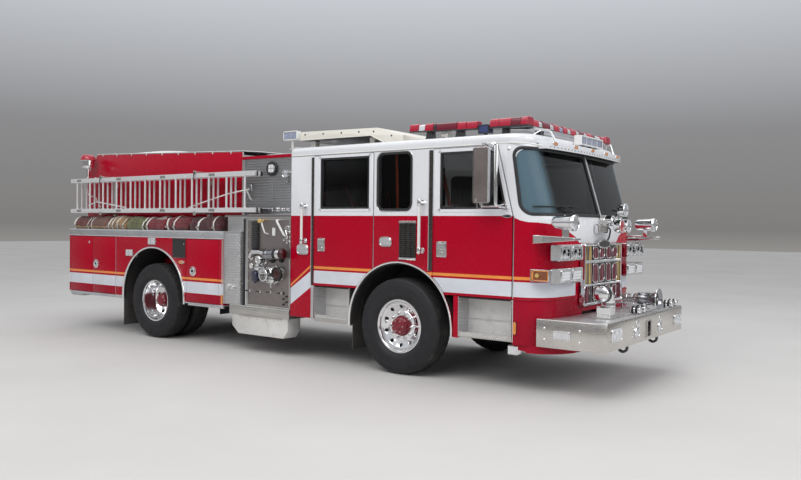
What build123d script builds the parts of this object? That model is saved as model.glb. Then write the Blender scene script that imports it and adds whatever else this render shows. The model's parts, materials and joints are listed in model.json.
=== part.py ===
from build123d import *
import math
import os

# Fire engine: a custom-cab pumper with lockers, ladders and a front suction.
# Frame: +X forward, +Y to the vehicle's left, +Z up, millimetres.
# The origin is on the ground under the middle of the whole vehicle.
os.makedirs("parts", exist_ok=True)

# ---------------------------------------------------------------- main sizes
HALF_W = 1220.0          # half width of cab and lockers
FRONT_X = 4505.0         # bumper face
REAR_X = -4505.0         # ladder ends
FRONT_AXLE_X = 2110.0
WHEELBASE = 4399.0
REAR_AXLE_X = FRONT_AXLE_X - WHEELBASE
TYRE_R = 538.0           # 22.5 inch rim, about 12 inch section
TYRE_W = 300.0
TWIN_W = 285.0
TRACK_HALF = 1065.0      # wheel centre, and outer twin's centre
TWIN_SPACING = 330.0
RIM_FLANGE_R = 300.0
RIM_SEAT_R = 286.0
KINGPIN_Y = 930.0
HUB_BORE_R = 40.5
SPINDLE_R = 40.0
REAR_BORE_R = 46.0
REAR_SPINDLE_R = 45.5

RAIL_Y = 432.0           # outside of frame rail
RAIL_Z0, RAIL_Z1 = 690.0, 950.0

CAB_REAR_X = 470.0
CAB_Z0 = 530.0           # lower edge behind the wheel
CAB_TOP_Z = 2600.0
ROOF_Z0 = 2505.0
WALL = 60.0              # cab side and door thickness
NOSE_Z0 = 480.0
SILL_Z = 1770.0          # bottom of the windscreen frame
SEAM_X0, SEAM_X1 = 3536.0, 3347.0    # door front seam at SILL_Z and at ROOF_Z0
ARCH_Z = 550.0
ARCH_R = 715.0
GAP = 6.0                # gap round every door

BODY_X0, BODY_X1 = -4460.0, -766.0
BODY_Z0, BODY_Z1 = 554.0, 1560.0
LOCKER_DEPTH_Y = 640.0   # inner face of lockers
REAR_ARCH_Z = 600.0
REAR_ARCH_R = 718.0
DOOR_T = 40.0            # locker door thickness

PANEL_X0, PANEL_X1 = -335.0, 450.0   # pump panel
PUMP_TOP_Z = 2570.0

RUNG_PITCH = 355.6
RUNG_X0 = -4344.0
LADDER_X0, LADDER_X1 = -4505.0, -225.0


# ---------------------------------------------------------------- helpers
def slab(x0, x1, y0, y1, z0, z1, mode=Mode.ADD):
    """A block between two corners, in the current part."""
    with Locations(((x0 + x1) / 2, (y0 + y1) / 2, (z0 + z1) / 2)):
        Box(abs(x1 - x0), abs(y1 - y0), abs(z1 - z0), mode=mode)


def rod(p, axis, r, length, mode=Mode.ADD):
    """A cylinder that starts at p and runs along an axis."""
    with Locations(Plane(origin=p, z_dir=axis).location):
        Cylinder(r, length, align=(Align.CENTER, Align.CENTER, Align.MIN), mode=mode)


def y_plane(y):
    """Sketch plane across the vehicle at y: sketch x is X, sketch y is Z.
    Extrusion with a positive amount goes towards -Y."""
    return Plane.XZ.offset(-y)


def side_span(s, outer, inner):
    """Plane and thickness of a plate between two half widths on side s."""
    return (y_plane(outer), outer - inner) if s > 0 else (y_plane(-inner), outer - inner)


def nose_outline(back_x, start_x, radius, centre_x, half):
    """Closed plan of the cab front: sides, corner arcs and a slightly bowed face."""
    side = Line((back_x, -half), (start_x, -half))
    corner = JernArc(start=side @ 1, tangent=side % 1, radius=radius, arc_size=83.5)
    tip = corner @ 1
    ThreePointArc(tip, (centre_x, 0), (tip.X, -tip.Y))
    corner2 = JernArc(start=(start_x, half), tangent=(1, 0), radius=radius, arc_size=-83.5)
    Line((start_x, half), (back_x, half))
    Line((back_x, half), (back_x, -half))


def out(part, name):
    part.label = name
    export_step(part, f"parts/{name}.step")


# plan of the nose at three levels: back x, start of corner x, corner radius, centre x
NOSE_LOW = dict(start_x=3600.0, radius=300.0, centre_x=3960.0)
NOSE_HIGH = dict(start_x=3425.0, radius=262.0, centre_x=3738.0)


def nose_at(level, back_x, inset):
    nose_outline(back_x, level["start_x"], level["radius"] - inset,
                 level["centre_x"] - inset, HALF_W - inset)


# ================================================================ chassis
with BuildPart() as frame_rails:
    for s in (1, -1):
        slab(-3990, 3880, s * (RAIL_Y - 80), s * RAIL_Y, RAIL_Z0, RAIL_Z1)
        slab(-3991, 3881, s * (RAIL_Y - 81), s * (RAIL_Y - 10), RAIL_Z0 + 10, RAIL_Z1 - 10, mode=Mode.SUBTRACT)
        # drop extension that carries the bumper
        slab(3560, 4480, s * (RAIL_Y - 80), s * RAIL_Y, 560, RAIL_Z0)
    # cross members: x start, x end
    for x0, x1 in ((-3990, -3910), (-3060, -2980), (-1640, -1560), (-560, -480), (1180, 1260), (3640, 3720)):
        slab(x0, x1, -(RAIL_Y - 9), RAIL_Y - 9, RAIL_Z0 + 20, RAIL_Z1 - 20)
    slab(4400, 4480, -(RAIL_Y - 79), RAIL_Y - 79, 570, 680)
out(frame_rails.part, "frame_rails")

SPRING_Y0, SPRING_Y1 = RAIL_Y - 80, RAIL_Y
with BuildPart() as front_axle:
    for s in (1, -1):
        with BuildSketch(Plane(origin=(FRONT_AXLE_X - 45, 0, 0), x_dir=(0, s, 0), z_dir=(s, 0, 0))):
            with BuildLine():
                Polyline((0, 330), (720, 330), (868, 470), (868, 485), (KINGPIN_Y, 485),
                         (KINGPIN_Y, 595), (850, 595), (700, 440), (0, 440), close=True)
            make_face()
        extrude(amount=90 * s)
        rod((FRONT_AXLE_X, s * KINGPIN_Y, 485), (0, 0, 1), 48, 110)
        rod((FRONT_AXLE_X, s * KINGPIN_Y, 300), (0, 0, 1), 22, 500, mode=Mode.SUBTRACT)
        # leaf pack and its hangers
        slab(FRONT_AXLE_X - 50, FRONT_AXLE_X + 50, s * SPRING_Y0, s * SPRING_Y1, 440, 500)
        for x0, x1, z0, z1 in ((-640, 640, 555, 575), (-500, 500, 535, 555), (-340, 340, 515, 535), (-180, 180, 495, 515)):
            slab(FRONT_AXLE_X + x0, FRONT_AXLE_X + x1, s * SPRING_Y0, s * SPRING_Y1, z0, z1)
        for x in (-640, 590):
            slab(FRONT_AXLE_X + x, FRONT_AXLE_X + x + 50, s * SPRING_Y0, s * SPRING_Y1, 575, RAIL_Z0)
out(front_axle.part, "front_axle")

with BuildPart() as rear_axle:
    rod((REAR_AXLE_X, -655, TYRE_R), (0, 1, 0), 70, 1310)
    rod((REAR_AXLE_X, -1010, TYRE_R), (0, 1, 0), REAR_SPINDLE_R, 2020)
    with Locations((REAR_AXLE_X, 0, TYRE_R)):
        Sphere(195)
    rod((REAR_AXLE_X + 100, 0, TYRE_R + 10), (1, 0, 0), 90, 250)
    for s in (1, -1):
        slab(REAR_AXLE_X - 60, REAR_AXLE_X + 60, s * SPRING_Y0, s * SPRING_Y1, 560, 625)
        for x0, x1, z0, z1 in ((-660, 660, 655, 670), (-540, 540, 640, 655), (-380, 380, 625, 640)):
            slab(REAR_AXLE_X + x0, REAR_AXLE_X + x1, s * SPRING_Y0, s * SPRING_Y1, z0, z1)
        for x in (-660, 610):
            slab(REAR_AXLE_X + x, REAR_AXLE_X + x + 50, s * SPRING_Y0, s * SPRING_Y1, 669, RAIL_Z0)
out(rear_axle.part, "rear_axle")

with BuildPart() as engine_block:
    slab(2250, 3250, -330, 330, 560, 1380)
out(engine_block.part, "engine_block")

with BuildPart() as driveline:
    slab(1560, 2250, -230, 230, 620, 1000 - 50)
    slab(-330, 350, -330, 330, 600, 940)
    rod((350, 0, 645), (1, 0, 0), 50, 1215)
    rod((REAR_AXLE_X + 350, 0, TYRE_R + 60), (1, 0, 0), 50, -330 - (REAR_AXLE_X + 350))
out(driveline.part, "driveline")

with BuildPart() as fuel_tank:
    with BuildSketch(Plane.YZ.offset(-3950)):
        RectangleRounded(720, 300, 60)
    extrude(amount=780)
fuel_tank.part = fuel_tank.part.moved(Location((0, 0, 530)))
out(fuel_tank.part, "fuel_tank")

# ================================================================ wheels
# tyre section, half: axial, radial (lines between bead points, arcs over wall and crown)
def tyre_section(plane_origin_y, s, width, axle_x):
    w = width / 2
    with BuildSketch(Plane(origin=(axle_x, plane_origin_y, TYRE_R), x_dir=(0, s, 0), z_dir=(s, 0, 0))) as k:
        with BuildLine():
            Polyline((-108.5, 286.6), (108.5, 286.6), (108.5, 304), (w - 26, 308))
            ThreePointArc((w - 26, 308), (w, 410), (w - 14, 500))
            Line((w - 14, 500), (w - 34, 530))
            ThreePointArc((w - 34, 530), (0, TYRE_R), (-w + 34, 530))
            Line((-w + 34, 530), (-w + 14, 500))
            ThreePointArc((-w + 14, 500), (-w, 410), (-w + 26, 308))
            Polyline((-w + 26, 308), (-108.5, 304), (-108.5, 286.6))
        make_face()
    return k.sketch


for side, s in (("left", 1), ("right", -1)):
    hub_plane = Plane(origin=(FRONT_AXLE_X, s * TRACK_HALF, TYRE_R), x_dir=(0, s, 0), z_dir=(s, 0, 0))
    axle_line = Axis((FRONT_AXLE_X, s * TRACK_HALF, TYRE_R), (0, 1, 0))
    with BuildPart() as front_rim:
        with BuildSketch(hub_plane):
            # polygons of the section: barrel, two flanges, disc, hub, cap (axial, radial)
            for pts in (((-120, 272), (120, 272), (120, 285.5), (-120, 285.5)),
                        ((-120, 280), (-109, 280), (-109, RIM_FLANGE_R), (-120, RIM_FLANGE_R)),
                        ((109, 280), (120, 280), (120, RIM_FLANGE_R), (109, RIM_FLANGE_R)),
                        ((30, 60), (58, 60), (70, 170), (92, 240), (92, 280), (74, 280), (74, 244), (54, 176), (30, 150)),
                        ((-48, HUB_BORE_R), (118, HUB_BORE_R), (118, 88), (96, 96), (-48, 96)),
                        ((90, 0), (150, 0), (150, 60), (140, 76), (90, 80))):
                with BuildLine():
                    Polyline(*pts, close=True)
                make_face()
        revolve(axis=axle_line, revolution_arc=360)
        with BuildSketch(Plane(origin=(FRONT_AXLE_X, s * (TRACK_HALF + 160), TYRE_R), x_dir=(1, 0, 0), z_dir=(0, -s, 0))):
            with PolarLocations(215, 10):
                Circle(24)
        extrude(amount=140, mode=Mode.SUBTRACT)
    out(front_rim.part, f"front_{side}_wheel")
    with BuildPart() as front_tyre:
        revolve(profiles=tyre_section(s * TRACK_HALF, s, TYRE_W, FRONT_AXLE_X), axis=axle_line, revolution_arc=360)
    out(front_tyre.part, f"front_{side}_tyre")

    with BuildPart() as knuckle:
        for z0, z1 in ((440, 479), (601, 640)):
            rod((FRONT_AXLE_X, s * KINGPIN_Y, z0), (0, 0, 1), 50, z1 - z0)
            slab(FRONT_AXLE_X - 50, FRONT_AXLE_X + 50, s * KINGPIN_Y, s * (KINGPIN_Y + 80), z0, z1)
        slab(FRONT_AXLE_X - 50, FRONT_AXLE_X + 50, s * (KINGPIN_Y + 55), s * (KINGPIN_Y + 80), 440, 640)
        rod((FRONT_AXLE_X, s * KINGPIN_Y, 479), (0, 0, 1), 21.6, 122)
        rod((FRONT_AXLE_X, s * (KINGPIN_Y + 80), TYRE_R), (0, s, 0), SPINDLE_R, 140)
    out(knuckle.part, f"{side}_knuckle")

    rear_line = Axis((REAR_AXLE_X, s * TRACK_HALF, TYRE_R), (0, 1, 0))
    rear_plane = Plane(origin=(REAR_AXLE_X, s * TRACK_HALF, TYRE_R), x_dir=(0, s, 0), z_dir=(s, 0, 0))
    with BuildPart() as rear_rims:
        with BuildSketch(rear_plane):
            for c, k in ((0.0, 1), (-TWIN_SPACING, -1)):
                for pts in (((c - 116, 272), (c + 116, 272), (c + 116, 285.5), (c - 116, 285.5)),
                            ((c - 116, 280), (c - 109, 280), (c - 109, RIM_FLANGE_R), (c - 116, RIM_FLANGE_R)),
                            ((c + 109, 280), (c + 116, 280), (c + 116, RIM_FLANGE_R), (c + 109, RIM_FLANGE_R)),
                            ((c - k * 60, 278), (c - k * 82, 278), (c - k * 165, 200), (c - k * 165, 60), (c - k * 150, 60), (c - k * 150, 190), (c - k * 74, 262))):
                    with BuildLine():
                        Polyline(*pts, close=True)
                    make_face()
            for pts in (((-395, REAR_BORE_R), (-40, REAR_BORE_R), (-40, 112), (-150, 120), (-395, 120)),
                        ((-50, 0), (40, 0), (40, 70), (20, 92), (-50, 96))):
                with BuildLine():
                    Polyline(*pts, close=True)
                make_face()
        revolve(axis=rear_line, revolution_arc=360)
        with BuildSketch(Plane(origin=(REAR_AXLE_X, s * TRACK_HALF, TYRE_R), x_dir=(1, 0, 0), z_dir=(0, -s, 0))):
            with PolarLocations(210, 10):
                Circle(24)
        extrude(amount=330, mode=Mode.SUBTRACT)
    out(rear_rims.part, f"rear_{side}_wheels")
    with BuildPart() as rear_tyres:
        for c in (0.0, TWIN_SPACING):
            revolve(profiles=tyre_section(s * (TRACK_HALF - c), s, TWIN_W, REAR_AXLE_X), axis=rear_line, revolution_arc=360)
    out(rear_tyres.part, f"rear_{side}_tyres")

# ================================================================ cab shell
def arch_cut(axle_x, z, r, y0, y1):
    """Wheel opening: a circle with straight legs to the ground."""
    with BuildSketch(y_plane(y1)) as k:
        with Locations((axle_x, z)):
            Circle(r)
        with Locations((axle_x, z - 500)):
            Rectangle(2 * r, 1000)
    extrude(to_extrude=k.sketch, amount=y1 - y0, mode=Mode.SUBTRACT)


CREW_DOOR = (855.0, 1752.0)          # x range
FRONT_DOOR_REAR_X = 2582.0
DOOR_Z0, DOOR_Z1 = 930.0, 2476.0
CREW_STEP = (861.0, 1410.0)
FRONT_STEP = (2899.0, 3531.0)
STEP_Z0, STEP_Z1 = 500.0, 924.0

with BuildPart() as cab_sides:
    for s in (1, -1):
        plane, t = side_span(s, HALF_W, HALF_W - WALL)
        with BuildSketch(plane):
            with BuildLine():
                Polyline((CAB_REAR_X, CAB_Z0), (3536, CAB_Z0), (SEAM_X0, SILL_Z), (SEAM_X1, ROOF_Z0), (CAB_REAR_X, ROOF_Z0), close=True)
            make_face()
        extrude(amount=t)
        y0, y1 = (HALF_W - WALL - 1, HALF_W + 1) if s > 0 else (-HALF_W - 1, -HALF_W + WALL + 1)
        # doorways, open at the bottom where the steps are
        slab(CREW_DOOR[0] - GAP, CREW_DOOR[1] + GAP, y0, y1, 900, DOOR_Z1 + GAP, mode=Mode.SUBTRACT)
        slab(CREW_DOOR[0] - GAP, CREW_DOOR[1] + GAP, y0, y1, CAB_Z0 - 10, 950, mode=Mode.SUBTRACT)
        slab(FRONT_DOOR_REAR_X - GAP, 3700, y0, y1, CAB_Z0 - 10, DOOR_Z1 + GAP, mode=Mode.SUBTRACT)
        arch_cut(FRONT_AXLE_X + 15, ARCH_Z, ARCH_R, y0, y1)
        # crew window
        with BuildSketch(y_plane(y1)):
            with Locations(((1828 + 2282) / 2, (1837 + 2458) / 2)):
                RectangleRounded(2282 - 1828, 2458 - 1837, 70)
        extrude(amount=y1 - y0, mode=Mode.SUBTRACT)
        # narrow skirts between arch and step
        slab(2846, FRONT_STEP[0], s * (HALF_W - WALL), s * HALF_W, 488, 924)
out(cab_sides.part, "cab_sides")

with BuildPart() as cab_back:
    slab(CAB_REAR_X, CAB_REAR_X + 50, -(HALF_W - WALL), HALF_W - WALL, 960, ROOF_Z0)
out(cab_back.part, "cab_back")


with BuildPart() as cab_nose:
    with BuildSketch(Plane.XY.offset(NOSE_Z0)):
        with BuildLine():
            nose_at(NOSE_LOW, SEAM_X0 + GAP, 0)
        make_face()
        with BuildLine():
            nose_at(NOSE_LOW, SEAM_X0 - 40, WALL)
        make_face(mode=Mode.SUBTRACT)
    extrude(amount=SILL_Z - NOSE_Z0)
    # windscreen frame, leaning back
    with BuildSketch(Plane.XY.offset(SILL_Z)):
        with BuildLine():
            nose_at(NOSE_LOW, SEAM_X0 + GAP, 0)
        make_face()
    with BuildSketch(Plane.XY.offset(ROOF_Z0)):
        with BuildLine():
            nose_at(NOSE_HIGH, SEAM_X1 + GAP, 0)
        make_face()
    loft(ruled=True)
    with BuildSketch(Plane.XY.offset(SILL_Z)):
        with BuildLine():
            nose_at(NOSE_LOW, SEAM_X0 - 60, WALL)
        make_face()
    with BuildSketch(Plane.XY.offset(ROOF_Z0)):
        with BuildLine():
            nose_at(NOSE_HIGH, SEAM_X1 - 60, WALL)
        make_face()
    loft(ruled=True, mode=Mode.SUBTRACT)
    for y0, y1 in ((-1300, -22), (22, 1300)):
        with BuildSketch(y_plane(y1)) as k:
            with BuildLine():
                Polyline((3636, 1796), (4200, 1796), (4200, 2436), (3530, 2436), close=True)
            make_face()
            fillet(k.vertices().filter_by(lambda v: v.X < 3700), radius=95)
        extrude(amount=y1 - y0, mode=Mode.SUBTRACT)
    # radiator opening behind the grille
    slab(3800, 4000, -490, 490, 900, 1470, mode=Mode.SUBTRACT)
    # room for the frame's bumper extension
    slab(3500, 4000, -RAIL_Y - 15, RAIL_Y + 15, 400, 780, mode=Mode.SUBTRACT)
out(cab_nose.part, "cab_nose")

with BuildPart() as cab_glass:
    with BuildSketch(Plane.XY.offset(SILL_Z)):
        with BuildLine():
            nose_at(NOSE_LOW, SEAM_X0 + 40, 10)
        make_face()
    with BuildSketch(Plane.XY.offset(ROOF_Z0)):
        with BuildLine():
            nose_at(NOSE_HIGH, SEAM_X1 + 40, 10)
        make_face()
    loft(ruled=True)
    with BuildSketch(Plane.XY.offset(SILL_Z)):
        with BuildLine():
            nose_at(NOSE_LOW, SEAM_X0 - 60, 18)
        make_face()
    with BuildSketch(Plane.XY.offset(ROOF_Z0)):
        with BuildLine():
            nose_at(NOSE_HIGH, SEAM_X1 - 60, 18)
        make_face()
    loft(ruled=True, mode=Mode.SUBTRACT)
    with BuildSketch(y_plane(1300)) as k:
        with BuildLine():
            Polyline((3637, 1797), (4200, 1797), (4200, 2435), (3531, 2435), close=True)
        make_face()
        fillet(k.vertices().filter_by(lambda v: v.X < 3700), radius=94)
    extrude(amount=2600, mode=Mode.INTERSECT)
    slab(3400, 4200, -23, 23, 1700, 2600, mode=Mode.SUBTRACT)
    # crew windows
    for s in (1, -1):
        plane, t = side_span(s, HALF_W - 12, HALF_W - 18)
        with BuildSketch(plane):
            with Locations(((1828 + 2282) / 2, (1837 + 2458) / 2)):
                RectangleRounded(2282 - 1828 - 2, 2458 - 1837 - 2, 69)
        extrude(amount=t)
out(cab_glass.part, "cab_glass")

with BuildPart() as cab_roof:
    with BuildSketch(Plane.XY.offset(ROOF_Z0)):
        with BuildLine():
            nose_at(NOSE_HIGH, CAB_REAR_X, 0)
        make_face()
    extrude(amount=CAB_TOP_Z - ROOF_Z0)
    fillet(cab_roof.faces().sort_by(Axis.Z)[-1].edges(), radius=55)
    # brow over the windscreen
    with BuildSketch(Plane.XY.offset(2446)):
        with BuildLine():
            a = ThreePointArc((3790, -1010), (3852, 0), (3790, 1010))
            b = ThreePointArc((3700, 1010), (3762, 0), (3700, -1010))
            Line(a @ 1, b @ 0)
            Line(b @ 1, a @ 0)
        make_face()
    extrude(amount=80)
    with BuildSketch(Plane.XY.offset(ROOF_Z0)):
        with BuildLine():
            a = ThreePointArc((3790, -1010), (3852, 0), (3790, 1010))
            Line(a @ 1, (3500, 1010))
            Line((3500, 1010), (3500, -1010))
            Line((3500, -1010), a @ 0)
        make_face()
    extrude(amount=21)
    # the brow meets the leaning windscreen frame
    with BuildSketch(Plane.XY.offset(SILL_Z)):
        with BuildLine():
            nose_at(NOSE_LOW, 3000, -0.5)
        make_face()
    with BuildSketch(Plane.XY.offset(ROOF_Z0)):
        with BuildLine():
            nose_at(NOSE_HIGH, 3000, -0.5)
        make_face()
    loft(ruled=True, mode=Mode.SUBTRACT)
out(cab_roof.part, "cab_roof")

WELL_X0, WELL_X1 = 1395.0, 2846.0
WELL_Y = 575.0
WELL_Z = 1300.0
FLOOR_Y = 1150.0         # floor edge, inside the doors
with BuildPart() as cab_floor:
    slab(CAB_REAR_X + 50, 1395, -FLOOR_Y, FLOOR_Y, 950.2, 1000)
    slab(1395, 2860, -WELL_Y, WELL_Y, 950.2, 1000)
    slab(2846, 3780, -FLOOR_Y, FLOOR_Y, 950.2, 1000)
    slab(3780, 3836, -860, 860, 950.2, 1000)
    for s in (1, -1):
        slab(WELL_X0, WELL_X1, s * (WELL_Y - 15), s * FLOOR_Y, WELL_Z - 15, WELL_Z)
        slab(WELL_X0, WELL_X1, s * (WELL_Y - 15), s * WELL_Y, 955, WELL_Z)
        slab(WELL_X0 - 15, WELL_X0, s * (WELL_Y - 15), s * FLOOR_Y, 955, WELL_Z)
        slab(WELL_X1, WELL_X1 + 15, s * (WELL_Y - 15), s * FLOOR_Y, 955, WELL_Z)
        # foot room over the steps
        slab(CREW_STEP[0] - 20, CREW_STEP[1] - 30, s * 1000, s * HALF_W, 940, 1010, mode=Mode.SUBTRACT)
        slab(FRONT_STEP[0] - 20, FRONT_STEP[1] - 5, s * 1000, s * HALF_W, 940, 1010, mode=Mode.SUBTRACT)
    # corners of the foot room follow the nose
    for s in (1, -1):
        with BuildSketch(Plane.XY.offset(940)):
            with BuildLine():
                Polyline((3560, s * 1165), (3800, s * 1165), (3800, s * 950), (3740, s * 1060), (3660, s * 1120), (3560, s * 1159), close=True)
            make_face()
        extrude(amount=80, mode=Mode.SUBTRACT)
    # engine tunnel
    slab(2190, 3420, -430, 430, 999, 1420)
    slab(2205, 3405, -415, 415, 900, 1405, mode=Mode.SUBTRACT)
out(cab_floor.part, "cab_floor")

with BuildPart() as cab_steps:
    for s in (1, -1):
        for x0, x1 in (CREW_STEP, FRONT_STEP):
            slab(x0, x1, s * 1000, s * (HALF_W - 6), STEP_Z0, STEP_Z1)
            slab(x0 + 8, x1 - 8, s * 1010, s * (HALF_W + 10), STEP_Z0 + 40, STEP_Z1 + 30, mode=Mode.SUBTRACT)
out(cab_steps.part, "cab_steps")

# door outlines in side view; the lower corner follows the wheel arch
DOORS = (
    # name, hinge x, polygon of the door, window polygon
    ("crew", CREW_DOOR[1],
     ((855, DOOR_Z0), (1752, DOOR_Z0), (1752, DOOR_Z1), (855, DOOR_Z1)),
     ((963, 1856), (1688, 1856), (1688, 2440), (963, 2440))),
    ("front", 3530.0,
     ((FRONT_DOOR_REAR_X, DOOR_Z0), (3530, DOOR_Z0), (3530, SILL_Z), (SEAM_X1 + 1, DOOR_Z1), (FRONT_DOOR_REAR_X, DOOR_Z1)),
     ((2672, 1846), (3452, 1846), (3316, 2430), (2672, 2430))),
)
for name, hinge_x, outline, window in DOORS:
    for side, s in (("left", 1), ("right", -1)):
        plane, t = side_span(s, HALF_W, HALF_W - WALL)
        glass_plane, glass_t = side_span(s, HALF_W - 20, HALF_W - 26)
        with BuildPart() as door:
            with BuildSketch(plane) as k:
                with BuildLine():
                    Polyline(*outline, close=True)
                make_face()
                with Locations((FRONT_AXLE_X + 15, ARCH_Z)):
                    Circle(ARCH_R + GAP, mode=Mode.SUBTRACT)
                with BuildLine():
                    Polyline(*window, close=True)
                make_face(mode=Mode.SUBTRACT)
            extrude(amount=t)
            # window pane, a solid of its own in the frame
            with BuildSketch(glass_plane) as g:
                with BuildLine():
                    Polyline(*window, close=True)
                make_face()
                offset(amount=-1.0, kind=Kind.INTERSECTION, mode=Mode.REPLACE)
            extrude(amount=glass_t)
        out(door.part, f"{name}_{side}_door")

# mirrors, on the front doors
for side, s in (("left", 1), ("right", -1)):
    with BuildPart() as mirror:
        slab(3190, 3365, s * 1385, s * 1430, 1890, 2450)
        for z in (1862, 2470):
            slab(3262, 3300, s * 1390, s * 1425, min(z, 1880), max(z, 1895)) if z < 2000 else slab(3262, 3300, s * 1390, s * 1425, 2445, 2495)
        slab(3262, 3460, s * 1395, s * 1420, 1840, 1865)
        slab(3262, 3460, s * 1395, s * 1420, 2470, 2495)
        slab(3435, 3460, s * 1395, s * 1420, 1840, 2495)
        slab(3435, 3460, s * (HALF_W + 0.2), s * 1420, 1840, 1865)
        slab(3300, 3325, s * (HALF_W + 0.2), s * 1420, 2440, 2465)
        slab(3300, 3325, s * 1395, s * 1420, 2440, 2495)
    out(mirror.part, f"{side}_mirror")

# white grab rails behind each door: x, z bottom, z top
GRAB_RAILS = ((712.0, 1440.0, 1905.0), (2442.0, 1370.0, 1930.0))
RAIL_REACH = 70.0        # rail centre out from the cab side
with BuildPart() as grab_rails:
    for s in (1, -1):
        for x, z0, z1 in GRAB_RAILS:
            rod((x, s * (HALF_W + RAIL_REACH), z0), (0, 0, 1), 17, z1 - z0)
            for z in (z0 + 30, z1 - 30):
                rod((x, s * (HALF_W + 0.2), z), (0, s, 0), 13, RAIL_REACH)
                rod((x, s * (HALF_W + 0.2), z), (0, s, 0), 28, 8)
out(grab_rails.part, "grab_rails")

# inside the cab
with BuildPart() as dashboard:
    with BuildSketch(y_plane(955)):
        with BuildLine():
            Polyline((3520, 1240), (3820, 1240), (3820, 1690), (3700, 1700), (3540, 1560), close=True)
        make_face()
    extrude(amount=1910)
    # steering column and wheel on the left
    with BuildSketch(Plane(origin=(3560, 690, 1380), z_dir=(-0.80, 0, 0.60))):
        Circle(30)
    extrude(amount=205)
    with BuildSketch(Plane(origin=(3560 - 0.80 * 200, 690, 1380 + 0.60 * 200), z_dir=(-0.80, 0, 0.60))):
        Circle(228)
        Circle(200, mode=Mode.SUBTRACT)
        Rectangle(40, 410)
        Rectangle(410, 40)
    extrude(amount=26)
out(dashboard.part, "dashboard")

# seats: x of the cushion's back edge, facing (+1 forward), y centre, cushion bottom z
SEATS = ((2640, 1, 745, 1302), (2640, 1, -745, 1302),
         (2420, -1, 800, 1302), (2420, -1, -800, 1302),
         (560, 1, 880, 1002), (560, 1, 0, 1002), (560, 1, -880, 1002))
with BuildPart() as seats:
    for x, f, y, z in SEATS:
        base = 300 if z < 1200 else 60
        slab(x, x + f * 500, y - 210, y + 210, z, z + base)
        slab(x, x + f * 520, y - 240, y + 240, z + base - 1, z + base + 130)
        slab(x, x + f * 120, y - 240, y + 240, z + base + 100, z + base + 860 if z < 1200 else 2300)
out(seats.part, "seats")

# ================================================================ front end
GRILLE_X = 3968.0
with BuildPart() as grille:
    slab(GRILLE_X - 22, GRILLE_X + 42, -520, 520, 850, 1495)
    for z0, z1 in ((880, 1060), (1095, 1280), (1320, 1465)):
        slab(GRILLE_X + 8, GRILLE_X + 50, -490, 490, z0, z1, mode=Mode.SUBTRACT)
    with BuildSketch(Plane.XY.offset(800)):
        with BuildLine():
            nose_at(NOSE_LOW, 3000, -0.5)
        make_face()
    extrude(amount=800, mode=Mode.SUBTRACT)
out(grille.part, "grille")

SPIN_X, SPIN_Z = 4195.0, 1735.0      # rotating light, turns about X
# lamp housings: z bottom, z top, y inner, side x start
with BuildPart() as front_lamps:
    for s in (1, -1):
        for z0, z1 in ((1328, 1487), (1105, 1254)):
            with BuildSketch(Plane.XY.offset(z0)):
                with BuildLine():
                    Polyline((3860, s * 1030), (3946, s * 1208), (3975, s * 1213), (4030, s * 1172), (4030, s * 620), (3860, s * 620), close=True)
                make_face()
            extrude(amount=z1 - z0)
        # turn signals
        slab(3736, 3943, s * 1080, s * 1234, 1123, 1242)
    for s in (1, -1):
        # tapered arm along the cab corner, with a shelf under the lamp
        with BuildSketch(y_plane(1262 if s > 0 else -1221)):
            with BuildLine():
                Polyline((3775, 1494), (3775, 1578), (4215, 1560), (4215, 1530), close=True)
            make_face()
        extrude(amount=41)
        slab(3990, 4215, s * 1120, s * 1262, 1530, 1560)
        slab(4040, 4100, s * 1120, s * 1180, 1559, 1640)
        rod((3938, s * 1150, 1702), (1, 0, 0), 80, 245)
    with BuildSketch(Plane.XY.offset(1000)):
        with BuildLine():
            nose_at(NOSE_LOW, 3000, -0.5)
        make_face()
    extrude(amount=730, mode=Mode.SUBTRACT)
    # motor of the rotating light
    rod((3961, 0, SPIN_Z), (1, 0, 0), 60, 164)
    rod((4124, 0, SPIN_Z), (1, 0, 0), 12, 51)
    slab(3961, 4020, -190, 90, 1600, 1700)
out(front_lamps.part, "front_lamps")

with BuildPart() as rotating_light:
    rod((SPIN_X - 60, 0, SPIN_Z), (1, 0, 0), 52, 60)
    with BuildSketch(Plane.YZ.offset(SPIN_X - 45)):
        with Locations((0, SPIN_Z)):
            with PolarLocations(115, 3, start_angle=90):
                Circle(72)
    extrude(amount=95)
    with BuildSketch(Plane.YZ.offset(SPIN_X - 45)):
        with Locations((0, SPIN_Z)):
            with PolarLocations(55, 3, start_angle=90):
                Rectangle(110, 40)
    extrude(amount=30)
    rod((SPIN_X - 65, 0, SPIN_Z), (1, 0, 0), 12.4, 50, mode=Mode.SUBTRACT)
out(rotating_light.part, "rotating_light")

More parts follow.
